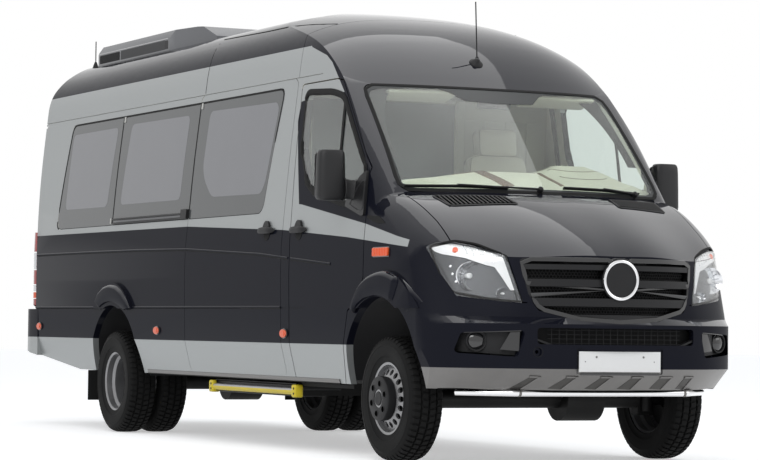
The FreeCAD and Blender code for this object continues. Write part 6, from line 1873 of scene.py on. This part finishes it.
def reach_inside(outline: Sequence[Point2], middle: Point2, way: Vector) -> float:
    """How far an outline lies from a point inside it, in one direction."""
    best = 0.0
    for first, second in zip(outline, [*outline[1:], outline[0]]):
        ax, ay = first[0] - middle[0], first[1] - middle[1]
        bx, by = second[0] - first[0], second[1] - first[1]
        turn = way.x * by - way.y * bx
        if abs(turn) < 1e-9:
            continue
        along = (ax * by - ay * bx) / turn
        share = (ax * way.y - ay * way.x) / turn
        if -1e-6 <= share <= 1 + 1e-6 and along > 0:
            best = max(best, along)
    return best


@dataclass
class RoofGear(Trim):
    """Seams, mesh and aerial feet on the roof."""

    side_seam: tuple = ((1410, 2640), (1593, 2648), (2186, 2652), (2912, 2668))
    unit_seam: float = 4800.0
    crease: float = 2778.0
    aerial: Point2 = (-14, 727)

    def build(self) -> None:
        """Builds what lies on the roof."""
        for side in Side:
            seam = self.side_band(self.side_seam, side, 0.010, 0.002, step=120)
            self.workshop.add(f"roof_seam_{side.word}", seam, "rubber", "body", "rubber")
            self._unit_side(side)
        unit = self.skin("roof_unit")
        places = [unit.top(x, self.unit_seam) for x in range(-680, 681, 85)]
        seams = [band(places, 0.008, 0.0015)]
        for x in (-160, 160):
            seams.append(band([unit.top(x, y) for y in range(4060, 5301, 124)], 0.010, 0.004))
        self.workshop.add("unit_seams", join(*seams), "rubber", "body", "rubber")
        fins = rounded_box(ORIGIN, Vector((0.26, 0.010, 0.008)), 0.002, 1)
        grey = self.workshop.finishes["black_plastic"]
        outlets = []
        for x in (-0.40, 0.14):
            for y in (4500, 5120):
                place, _ = unit.top((x + 0.13) / MM, y)
                block = fins.copy()
                rows = self.repeater.rows(block, 12, Vector((0, 0.020, 0)), grey)
                bmesh.ops.translate(rows, vec=place + Vector((0, -0.11, 0.002)), verts=rows.verts)
                outlets.append(rows)
        fins.free()
        self.workshop.add("unit_outlets", join(*outlets), "black_plastic", "body", "black_plastic")
        foot = lathe([(-0.004, 0.044), (0.004, 0.043), (0.012, 0.034), (0.022, 0.020), (0.032, 0.014),
                      (0.036, 0.0)], *self.probe.top(*self.aerial), 28)
        self.workshop.add("aerial_feet", foot, "black_plastic", "body", "black_plastic", 45)
        LOG.info("roof gear built")

    def _unit_side(self, side: Side) -> None:
        """Bright crease, dark mesh and end grille of the roof unit's side."""
        unit = self.skin("roof_unit")

        def lift(y: float, z: float) -> Place:
            """A point of the unit's side."""
            return unit.side(y, z, side)

        crease = band([lift(y, self.crease) for y in range(4040, 5441, 100)], 0.008, 0.003)
        panel = filled(rectangle(5010, 5425, 2706, 2768, 8), 120, lift, 0.0012, 0.003, 1)
        fin = rounded_box(ORIGIN, Vector((0.006, 0.008, 0.058)), 0.001, 1)
        black = self.workshop.finishes["black_plastic"]
        fins = self.repeater.rows(fin, 26, Vector((0, 0.0158, 0)), black, index=1)
        start, _ = lift(5020, 2737)
        bmesh.ops.translate(fins, vec=start + Vector((side.value * 0.002, 0, 0)), verts=fins.verts)
        corner = filled(rectangle(4040, 4100, 2706, 2766, 8), 60, lift, 0.0012, 0.003, 1)
        field = filled(rectangle(4100, 4985, 2704, 2770, 10), 90, lift, 0.0008, 0.003, 2)
        self.workshop.add(f"unit_side_{side.word}", join(crease, panel, fins, corner, field),
                          ("bar_steel", "black_plastic", "mesh_grey"), "body", "black_plastic")


def cushion(centre: Vector, size: Vector, crown: float, channels: Sequence[float] = (),
            lean: float = 0.0, cuts: int = 15, index: int = 0) -> Mesh:
    """A padded form with a crown, pulled-in sides, sewn channels and piping.

    Args:
        centre: Its middle.
        size: Its full lengths; the crowned face looks along -Y and up.
        crown: How far the middle bulges, as a share of its thickness.
        channels: Places of the sewn channels across it, from -1 to 1.
        lean: Its turn about the X axis, in degrees.
        cuts: How finely it is divided.
        index: The material index of its faces.

    Returns:
        The mesh.
    """
    flat = min(range(3), key=lambda axis: size[axis])
    wide = [axis for axis in range(3) if axis != flat]
    mesh = bmesh.new()
    bmesh.ops.create_cube(mesh, size=2.0)
    bmesh.ops.subdivide_edges(mesh, edges=mesh.edges[:], cuts=cuts, use_grid_fill=True)

    def shaped(point: Vector) -> Vector:
        """Turns a point of the unit cube into one of the cushion."""
        total = sum(abs(c) ** 7 for c in point) ** (1 / 7)
        p = point / total
        u, v, w = p[wide[0]], p[wide[1]], p[flat]
        swell = 1 + crown * (1 - u * u) * (1 - v * v)
        for place in channels:
            swell -= 0.16 * math.exp(-((v - place) / 0.045) ** 2) * (1 - u ** 4)
        p[flat] = w * swell
        p[wide[0]] = u * (1 - 0.035 * (1 - v * v) * (1 - w * w))
        p[wide[1]] = v * (1 - 0.035 * (1 - u * u) * (1 - w * w))
        return Vector(tuple(p[a] * size[a] / 2 for a in range(3)))

    piping = []
    for level in (-0.82, 0.82):
        path = []
        for angle in turns(40):
            c, s = math.cos(angle), math.sin(angle)
            largest = max(abs(c), abs(s))
            point = Vector((0, 0, 0))
            point[wide[0]], point[wide[1]], point[flat] = c / largest, s / largest, level
            path.append(shaped(point))
        piping.append(rod(path, 0.0035, 6, closed=True, index=index + 1))
    for vertex in mesh.verts:
        vertex.co = shaped(vertex.co.copy())
    for face in mesh.faces:
        face.material_index = index
    whole = join(mesh, *piping)
    bmesh.ops.rotate(whole, cent=ORIGIN, verts=whole.verts,
                     matrix=Matrix.Rotation(math.radians(lean), 3, "X"))
    bmesh.ops.translate(whole, vec=centre, verts=whole.verts)
    return whole


@dataclass
class Cabin(Trim):
    """Seats, partition, headlining and dashboard trim."""

    base: float = 760.0
    partition_y: float = 1430.0
    columns: tuple = (700, 235, -690)
    first_row: float = 1750.0
    pitch: float = 780.0

    def build(self) -> None:
        """Builds the seats first and then what lines the cab."""
        self._driver_seat()
        self._passenger_seats()
        self._partition()
        self._headlining()
        self._dashboard()
        LOG.info("cabin built")

    def _pads(self, x: float, y: float, wide: float) -> Mesh:
        """Cushion, back, bolsters and headrest of one seat."""
        z = self.base
        seat = cushion(at(x, y + 215, z + 400), Vector((wide, 0.455, 0.150)), 0.20, (-0.35, 0.3), -4)
        back = cushion(at(x, y + 508, z + 765), Vector((wide * 0.985, 0.105, 0.68)), 0.30,
                       (-0.45, 0.05, 0.55), -9)
        head = cushion(at(x, y + 556, z + 1172), Vector((0.275, 0.105, 0.175)), 0.35, (), -6)
        bolsters = [cushion(at(x + s * wide * 430, y + 470, z + 700), Vector((0.075, 0.120, 0.52)), 0.2,
                            (), -9, 7) for s in (-1, 1)]
        return join(seat, back, head, *bolsters)

    def _frame(self, x: float, y: float) -> Mesh:
        """Pedestal, shell and headrest posts of one seat."""
        z = self.base
        leg = rounded_box(at(x, y + 250, z + 160), Vector((0.22, 0.34, 0.32)), 0.02, 2)
        shell = rounded_box(at(x, y + 565, z + 740), Vector((0.37, 0.022, 0.66)), 0.01, 2,
                            Matrix.Rotation(math.radians(-9), 3, "X"))
        pan = rounded_box(at(x, y + 225, z + 318), Vector((0.39, 0.41, 0.030)), 0.012, 2)
        posts = [rod([at(x + s * 60, y + 552, z + 1060), at(x + s * 60, y + 560, z + 1120)], 0.006, 8,
                     index=1) for s in (-1, 1)]
        return join(leg, shell, pan, *posts)

    def _driver_seat(self) -> None:
        """The driver's seat in place of its solid."""
        pads = self.workshop.add("driver_seat_pads", self._pads(450, 780, 0.43),
                                 ("cream_leather", "seat_piping"), "body", "seat_fabric", 60)
        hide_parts("front_seats")
        self.workshop.add("driver_seat_frame", self._frame(450, 780), ("chassis_black", "chrome"),
                          "body", "black_plastic", 35)

    def _rows(self, block: Callable[[float, float], Mesh], finish: str) -> Mesh:
        """Repeats a block of a seat over the seat places."""
        material = self.workshop.finishes[finish]
        step = Vector((0, self.pitch * MM, 0))
        across = Vector(((self.columns[1] - self.columns[0]) * MM, 0, 0))
        pairs = self.repeater.rows(block(self.columns[0], self.first_row), 5, step, material, 2, across)
        singles = self.repeater.rows(
            block(self.columns[2], self.first_row + 2 * self.pitch), 3, step, material)
        return join(pairs, singles)

    def _passenger_seats(self) -> None:
        """Rows of passenger seats in place of their solids."""
        pads = self.workshop.add("passenger_seat_pads", self._rows(
            lambda x, y: self._pads(x, y, 0.43), "cream_leather"), "cream_leather", "body",
            "seat_fabric", 60)
        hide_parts("passenger_seats")
        self.workshop.add("passenger_seat_frames", self._rows(self._frame, "chassis_black"),
                          "chassis_black", "body", "black_plastic", 35)

    def _partition(self) -> None:
        """Wall behind the cab: a glass pane beside a padded panel."""
        y = self.partition_y
        low, high = 800, 2200
        wall = rounded_box(at(560, y, (low + high) / 2), Vector((0.62, 0.03, (high - low) * MM)), 0.01)
        top = rounded_box(at(-300, y, high - 10), Vector((1.06, 0.03, 0.03)), 0.01)
        post = rounded_box(at(238, y - 14, (low + high) / 2), Vector((0.06, 0.05, (high - low) * MM)),
                           0.012)
        edge = rounded_box(at(-818, y, (low + high) / 2), Vector((0.04, 0.03, (high - low) * MM)), 0.01)
        panels = [rounded_box(at(x, y - 18, 1500), Vector((0.13, 0.012, 1.16)), 0.006)
                  for x in (330, 480, 630, 780)]
        self.workshop.add("cab_partition", join(wall, top, post, edge, *panels), "partition_cream",
                          "body", "trim_cream")
        pane = rounded_box(at(-285, y, 1530), Vector((0.995, 0.006, 1.31)), 0.002)
        self.workshop.add("partition_pane", pane, "partition_glass", "body", "glass")
        low_wall = rounded_box(at(-285, y, 835), Vector((1.03, 0.03, 0.10)), 0.01)
        sills = [rounded_box(at(x, y - 18, z), Vector((0.012, 0.012, 1.2)), 0.004)
                 for x, z in ((-795, 1490), (205, 1490))]
        self.workshop.add("partition_sill", join(low_wall, *sills), "partition_cream", "body",
                          "trim_cream")

    def _headlining(self) -> None:
        """Cream lining above the cab with two sun visors and a shelf edge."""
        visors = []
        for x in (-430, 520):
            visors.append(rounded_box(at(x, 690, 2150), Vector((0.46, 0.17, 0.022)), 0.010, 3,
                                      Matrix.Rotation(math.radians(-14), 3, "X")))
        shelf = rounded_box(at(0, 790, 2205), Vector((1.50, 0.26, 0.030)), 0.012)
        mirror = rounded_box(at(20, 560, 2110), Vector((0.23, 0.018, 0.06)), 0.012, index=1)
        stalk = rod([at(20, 566, 2120), at(20, 560, 2165)], 0.008, 8, index=1)
        self.workshop.add("cab_headlining", join(*visors, shelf, mirror, stalk),
                          ("cream_plastic", "black_plastic"), "body", "trim_cream")

    def _dashboard(self) -> None:
        """Wood strips and the clock hood's rim on the dashboard."""
        dash = self.skin("dashboard")
        strips = []
        for line, width in ((((-290, 430), (-245, 300), (-170, 150), (-135, 60)), 0.085),
                            (((140, 400), (165, 300), (195, 200), (235, 90)), 0.028)):
            places = [dash.top(x, y) for x, y in along_path(line, 30)]
            strips.append(band(places, width, 0.003))
        self.workshop.add("dash_strips", join(*strips), "wood_trim", "body", "trim_cream")
        rims = []
        for level in (0.0, 0.045, 0.090):
            path = []
            for k in range(15):
                angle = math.pi * k / 14
                x = 460 + (205 - level * 500) * math.cos(angle)
                y = 455 - level * 2400 - 35 * math.sin(angle)
                place, normal = dash.top(x, y)
                path.append((place, normal))
            rims.append(band(path, 0.006, 0.003))
        self.workshop.add("clock_hood_seams", join(*rims), "seat_piping", "body", "trim_cream")


@dataclass
class Tail(Trim):
    """Lamp ribs, handles, hinges and rubber at the back."""

    hinge_levels: tuple = (1010, 1560, 2160)
    lamp_fields: tuple = (
        (882, 950, 0), (950, 1000, 2), (1000, 1055, 1), (1055, 1169, 0), (1169, 1303, 1),
        (1303, 1456, 0))

    def build(self) -> None:
        """Builds the tail's trim on the doors and the body."""
        for side in Side:
            self._lamp(side)
            self._door(side)
        bar = filled(rectangle(-150, 150, 2330, 2362, 10), 60, self.probe.rear, 0.010, 0.003)
        self.workshop.add("high_brake_lamp", bar, "lamp_red", "body", "lamp_red")
        pad = filled(rectangle(-520, 520, 800, 850, 12), 80, self.probe.rear, 0.004, 0.003)
        rib = rounded_box(ORIGIN, Vector((0.012, 0.006, 0.034)), 0.001, 1)
        black = self.workshop.finishes["black_plastic"]
        ribs = self.repeater.rows(rib, 40, Vector((0.0255, 0, 0)), black)
        for vertex in ribs.verts:
            place, normal = self.probe.rear(vertex.co.x / MM - 497, 825)
            vertex.co = place + normal * (0.004 + vertex.co.y) + Vector((0, 0, vertex.co.z))
        bmesh.ops.recalc_face_normals(ribs, faces=ribs.faces)
        self.workshop.add("bumper_tread", join(pad, ribs), "black_plastic", "body", "black_plastic")
        LOG.info("tail built")

    def _lamp(self, side: Side) -> None:
        """The lens's bulge at the corner, its fields' lines and its ribs."""
        lamp = self.skin("tail_lamps")
        way = side.value
        fields = []
        for low, high, index in self.lamp_fields:
            levels = [low + 3 + (high - low - 6) * i / 4 for i in range(5)]

            def section(i: int) -> list[Vector]:
                """The lens's section at one level."""
                z = levels[i]
                spots = [(*lamp.side(y, z, side), out) for y, out in (
                    (6052, 0.004), (6064, 0.014), (6078, 0.022), (6092, 0.026))]
                spots += [(*lamp.rear(way * x, z), out) for x, out in (
                    (955, 0.024), (935, 0.016), (915, 0.008), (898, 0.003))]
                outer = [place + normal * out for place, normal, out in spots]
                inner = [place - normal * 0.002 for place, normal, _ in reversed(spots)]
                return outer + inner

            fields.append(sweep(levels, section, index=index))
        self.workshop.add(f"tail_lamp_corner_{side.word}", join(*fields),
                          ("lamp_red", "lamp_white", "lamp_orange"), "body", "lamp_red", 50)
        parts = []
        for z in (1308, 1192, 1040, 985):
            places = [lamp.side(y, z, side) for y in (6052, 6072, 6092)]
            places += [lamp.rear(side.value * x, z) for x in (955, 935, 915, 898)]
            parts.append(band(places, 0.007, 0.002))
        for z in range(900, 1456, 22):
            places = [lamp.side(y, z, side) for y in (6056, 6084)]
            places += [lamp.rear(side.value * x, z) for x in (950, 925, 902)]
            parts.append(band(places, 0.004, 0.0025, index=1))
        self.workshop.add(f"tail_lamp_lines_{side.word}", join(*parts), ("gloss_black", "lamp_red"),
                          "body", "lamp_red")

    def _door(self, side: Side) -> None:
        """Window rubber, hinges and handle of one rear door."""
        way = side.value
        glass = self.skin(f"rear_glass_{side.word}")
        outline = outline_on(glass, (way * 410, 1815), 72,
                             lambda x, z: (at(x, REAR_START, z), FORWARD))
        seal = band([glass.rear(x, z) for x, z in outline], 0.020, 0.004, closed=True)
        body = f"door_rear_{side.word}"
        self.workshop.add(f"rear_rubber_{side.word}", seal, "rubber", body, "rubber")
        hinges = []
        for z in self.hinge_levels:
            place, normal = self.probe.rear(way * 838, z)
            hinges.append(rounded_box(place + normal * 0.001, Vector((0.050, 0.014, 0.050)), 0.005))
            pin = place + Vector((way * 0.024, 0.002, 0))
            hinges.append(rod([pin - Vector((0, 0, 0.038)), pin + Vector((0, 0, 0.038))], 0.009, 14))
        self.workshop.add(f"rear_hinges_{side.word}", join(*hinges), "gloss_black", body, "paint_dark")
        if side is Side.LEFT:
            return
        place, normal = self.probe.rear(way * 90, 1290)
        base = rounded_box(place + normal * 0.006, Vector((0.075, 0.020, 0.20)), 0.009)
        grip = rod([place + normal * 0.012 + Vector((0, 0, -0.08)), place + normal * 0.038 + Vector(
            (0, 0, -0.05)), place + normal * 0.038 + Vector((0, 0, 0.05)),
            place + normal * 0.012 + Vector((0, 0, 0.08))], 0.011, 12)
        self.workshop.add("rear_handle", join(base, grip), "black_plastic", body, "black_plastic")
        plate = filled(rectangle(-700, -180, 1010, 1122, 6), 90, self.probe.rear, 0.006, 0.002)
        frame = [self.probe.rear(x, z) for x, z in along_path(rectangle(-704, -176, 1006, 1126), 60, True)]
        rim = band(frame, 0.014, 0.009, closed=True, index=1)
        self.workshop.add("rear_plate", join(plate, rim), ("plate_white", "black_plastic"), body,
                          "plate_white")


@dataclass
class StepTrim(Trim):
    """Yellow end blocks, two-tone bar and tread of the entrance step."""

    ends: tuple = (1305, 2622)
    bar_height: float = 364.0
    bar_x: float = -920.0
    bar_radius: float = 0.022

    def build(self) -> None:
        """Builds the step's board, bar and blocks in place of its plain solid."""
        start, end = self.ends
        middle, long = (start + end) / 2, (end - start) * MM
        board = rounded_box(at(-762, middle, 388), Vector((0.29, long, 0.034)), 0.008, 3, index=2)
        lip = rounded_box(at(-800, middle, 338), Vector((0.20, long - 0.10, 0.014)), 0.004, index=2)
        ties = [rounded_box(at(-800, start + share * (end - start), 360), Vector((0.20, 0.03, 0.05)),
                            0.004, index=2) for share in (0.12, 0.5, 0.88)]
        bar = rod([at(self.bar_x, start, self.bar_height), at(self.bar_x, end, self.bar_height)],
                  self.bar_radius, 24)
        for face in bar.faces:
            if face.normal.z > 0.3:
                face.material_index = 1
        blocks = []
        for y in self.ends:
            blocks.append(rounded_box(at(-917, y, 366), Vector((0.058, 0.060, 0.078)), 0.011))
            for z in (350, 382):
                blocks.append(lathe([(-0.002, 0.007), (0.003, 0.007), (0.004, 0.0)],
                                    at(-946, y - 12, z), Vector((-1, 0, 0)), 12, 2))
        step = self.workshop.add("step_bar", join(bar, board, lip, *ties, *blocks),
                                 ("step_yellow", "bar_steel", "black_plastic"), "step", "step_metal", 35)
        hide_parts("step")
        rib = rounded_box(ORIGIN, Vector((0.24, 0.010, 0.003)), 0.001, 1)
        ribs = self.repeater.rows(rib, 62, Vector((0, 0.020, 0)), self.workshop.finishes["black_plastic"])
        bmesh.ops.translate(ribs, vec=at(-762, start + 45, 405.5), verts=ribs.verts)
        self.workshop.add("step_tread", ribs, "black_plastic", "step", "step_metal")
        LOG.info("step trim built")


def inside_outline(point: Point2, outline: Sequence[Point2]) -> bool:
    """Whether a point lies inside an outline."""
    x, y = point
    inside = False
    for (ax, ay), (bx, by) in zip(outline, [*outline[1:], outline[0]]):
        if (ay > y) != (by > y) and x < ax + (bx - ax) * (y - ay) / (by - ay):
            inside = not inside
    return inside


def outline_on(skin: SkinProbe, centre: Point2, count: int,
               ray: Callable[[float, float], tuple]) -> list[Point2]:
    """Finds a node's outline by rays that turn about a middle point.

    Args:
        skin: A probe of the node alone.
        centre: A point of the view inside the outline, in millimetres.
        count: How many points.
        ray: Gives the ray's start and direction for a point of the view.

    Returns:
        The outline's points, in millimetres.
    """
    result = []
    for angle in turns(count):
        way = Vector((math.cos(angle), math.sin(angle)))
        low, high = 0.0, 2500.0
        reach = high
        while reach > 10:
            spot = Vector(centre) + way * reach
            if skin.tree.ray_cast(*ray(spot.x, spot.y))[0] is not None:
                break
            reach -= 20
        low, high = reach, reach + 20
        for _ in range(7):
            middle = (low + high) / 2
            spot = Vector(centre) + way * middle
            if skin.tree.ray_cast(*ray(spot.x, spot.y))[0] is not None:
                low = middle
            else:
                high = middle
        spot = Vector(centre) + way * low
        result.append((spot.x, spot.y))
    return result


class Coachwork:
    """Finishes of the CAD nodes themselves."""

    NODE_FINISHES = {
        "two_tone_paint": [
            "fenders", "roof_cap", "roof", "side_left", "side_right", "sliding_door", "cab_frame",
            "front_door_right", "front_door_left", "rear_door_right", "rear_door_left", "bonnet",
            "bumper_front", "bumper_rear"],
        "screen_glass": ["windscreen", "door_glass_right", "door_glass_left"],
        "tint_grey": ["side_glass", "rear_glass_right", "rear_glass_left"],
        "black_plastic": ["grille", "wheel_housings", "antennas"],
        "lamp_glass": ["headlamp_lenses"],
        "lamp_grey": ["headlamp_housings"],
        "satin_steel": ["skid_plate"],
        "chrome": ["skid_tube"],
        "plate_white": ["number_plate"],
        "lamp_red": ["tail_lamps"],
        "roof_grey": ["roof_unit"],
        "rubber": ["mudflaps", "door_seals"],
        "floor_vinyl": ["floor"],
        "cream_plastic": ["dashboard", "steering_wheel"],
        "chassis_black": [
            "chassis_frame", "bumper_beams", "axle_front", "axle_rear", "knuckle_right",
            "knuckle_left", "step_case", "fuel_tank"],
        "cast_metal": ["engine"],
        "dull_steel": ["exhaust"],
        "step_tread": ["step"],
        "rim_silver": ["rim_front_right", "rim_front_left", "rims_rear_right", "rims_rear_left"],
        "tyre_rubber": ["tyre_front_right", "tyre_front_left", "tyres_rear_right", "tyres_rear_left"],
        "mirror_black": ["mirror_right", "mirror_left"],
        "cream_leather": ["front_seats", "passenger_seats"],
    }

    def __init__(self, workshop: Workshop) -> None:
        """Keeps the workshop."""
        self.workshop = workshop

    def dress(self) -> None:
        """Dresses every CAD node."""
        for finish, nodes in self.NODE_FINISHES.items():
            for node in nodes:
                self.workshop.dress(node, finish)
        LOG.info("coachwork dressed")


@dataclass
class Studio:
    """Floor, light and the camera at the photograph's viewpoint."""

    camera_place: tuple = (-7.869, -16.8205, 0.758)
    yaw: float = 25.89
    pitch: float = 2.02
    roll: float = 0.71
    focal_pixels: float = 2771.0
    image_width: float = 760.0
    sensor: float = 36.0
    floor_lift: float = 0.45

    def build(self) -> None:
        """Builds the floor, the world, the lamps and the camera."""
        self._floor()
        self._world()
        self._lamps()
        self._camera()

    def _floor(self) -> None:
        """A wide pale floor."""
        mesh = bmesh.new()
        bmesh.ops.create_grid(mesh, x_segments=2, y_segments=2, size=60)
        data = bpy.data.meshes.new("studio_floor")
        mesh.to_mesh(data)
        mesh.free()
        floor = bpy.data.objects.new("studio_floor", data)
        bpy.context.scene.collection.objects.link(floor)
        material = bpy.data.materials.new("studio_floor")
        material.use_nodes = True
        shader = material.node_tree.nodes["Principled BSDF"]
        shader.inputs["Base Color"].default_value = (0.86, 0.86, 0.86, 1)
        shader.inputs["Roughness"].default_value = 0.9
        shader.inputs["Specular IOR Level"].default_value = 0.1
        graph = Graph(material.node_tree)
        path = graph.node("ShaderNodeLightPath")
        seen = graph.math("MAXIMUM", path.outputs["Is Camera Ray"], path.outputs["Is Glossy Ray"])
        seen = graph.math("MAXIMUM", seen, path.outputs["Is Transmission Ray"])
        shine = graph.math("MULTIPLY", seen, self.floor_lift)
        shader.inputs["Emission Color"].default_value = (1, 1, 1, 1)
        material.node_tree.links.new(shine, shader.inputs["Emission Strength"])
        data.materials.append(material)

    def _world(self) -> None:
        """Even light, with a white background for the eye and for reflections."""
        world = bpy.data.worlds.new("studio")
        bpy.context.scene.world = world
        world.use_nodes = True
        graph = Graph(world.node_tree)
        plain = world.node_tree.nodes["Background"]
        plain.inputs[0].default_value = (0.93, 0.96, 1.0, 1)
        plain.inputs[1].default_value = 0.62
        white = graph.node("ShaderNodeBackground", {0: (1, 1, 1, 1), 1: 1.0})
        path = graph.node("ShaderNodeLightPath")
        seen = graph.math("MAXIMUM", path.outputs["Is Camera Ray"], path.outputs["Is Glossy Ray"])
        seen = graph.math("MAXIMUM", seen, path.outputs["Is Transmission Ray"])
        mixed = graph.node("ShaderNodeMixShader", {0: seen, 1: plain.outputs[0], 2: white.outputs[0]})
        output = world.node_tree.nodes["World Output"]
        world.node_tree.links.new(mixed.outputs[0], output.inputs["Surface"])

    def _lamps(self) -> None:
        """Soft lamps above and beside the vehicle."""
        for name, place, size, power in (
                ("key", (-7.0, -9.0, 8.0), 6.0, 420), ("fill", (8.0, -8.0, 6.0), 6.0, 160),
                ("top", (0.0, 0.0, 9.0), 8.0, 240)):
            lamp = bpy.data.lights.new(name, "AREA")
            lamp.energy = power
            lamp.size = size
            holder = bpy.data.objects.new(name, lamp)
            holder.location = place
            way = Vector((0, 0, 1.2)) - Vector(place)
            holder.rotation_euler = way.to_track_quat("-Z", "Y").to_euler()
            bpy.context.scene.collection.objects.link(holder)

    def _camera(self) -> None:
        """The camera, solved from the photograph."""
        yaw, pitch, roll = (math.radians(a) for a in (self.yaw, self.pitch, self.roll))
        ahead = Vector((math.cos(pitch) * math.sin(yaw), math.cos(pitch) * math.cos(yaw), math.sin(pitch)))
        right = Vector((math.cos(yaw), -math.sin(yaw), 0))
        up = right.cross(ahead)
        across = right * math.cos(roll) + up * math.sin(roll)
        above = up * math.cos(roll) - right * math.sin(roll)
        data = bpy.data.cameras.new("camera")
        data.sensor_width = self.sensor
        data.lens = self.focal_pixels / self.image_width * self.sensor
        data.clip_end = 200
        camera = bpy.data.objects.new("camera", data)
        turn = Matrix((across, above, -ahead)).transposed()
        camera.matrix_world = Matrix.Translation(self.camera_place) @ turn.to_4x4()
        bpy.context.scene.collection.objects.link(camera)
        bpy.context.scene.camera = camera
        bpy.context.scene.view_settings.view_transform = "Standard"


def main() -> None:
    """Builds the whole dressed vehicle."""
    logging.basicConfig(level=logging.INFO)
    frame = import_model()
    Studio().build()
    finishes = Finishes()
    workshop = Workshop(frame, finishes)
    Coachwork(workshop).dress()
    probe = SkinProbe(frame["nodes"], OUTER_NODES)
    repeater = Repeater()
    for trim in (SideTrim, Mirrors, Wheels, Nose, Screen, RoofGear, Cabin, Tail, StepTrim):
        trim(workshop, probe, repeater).build()


if __name__ == "__main__":
    main()
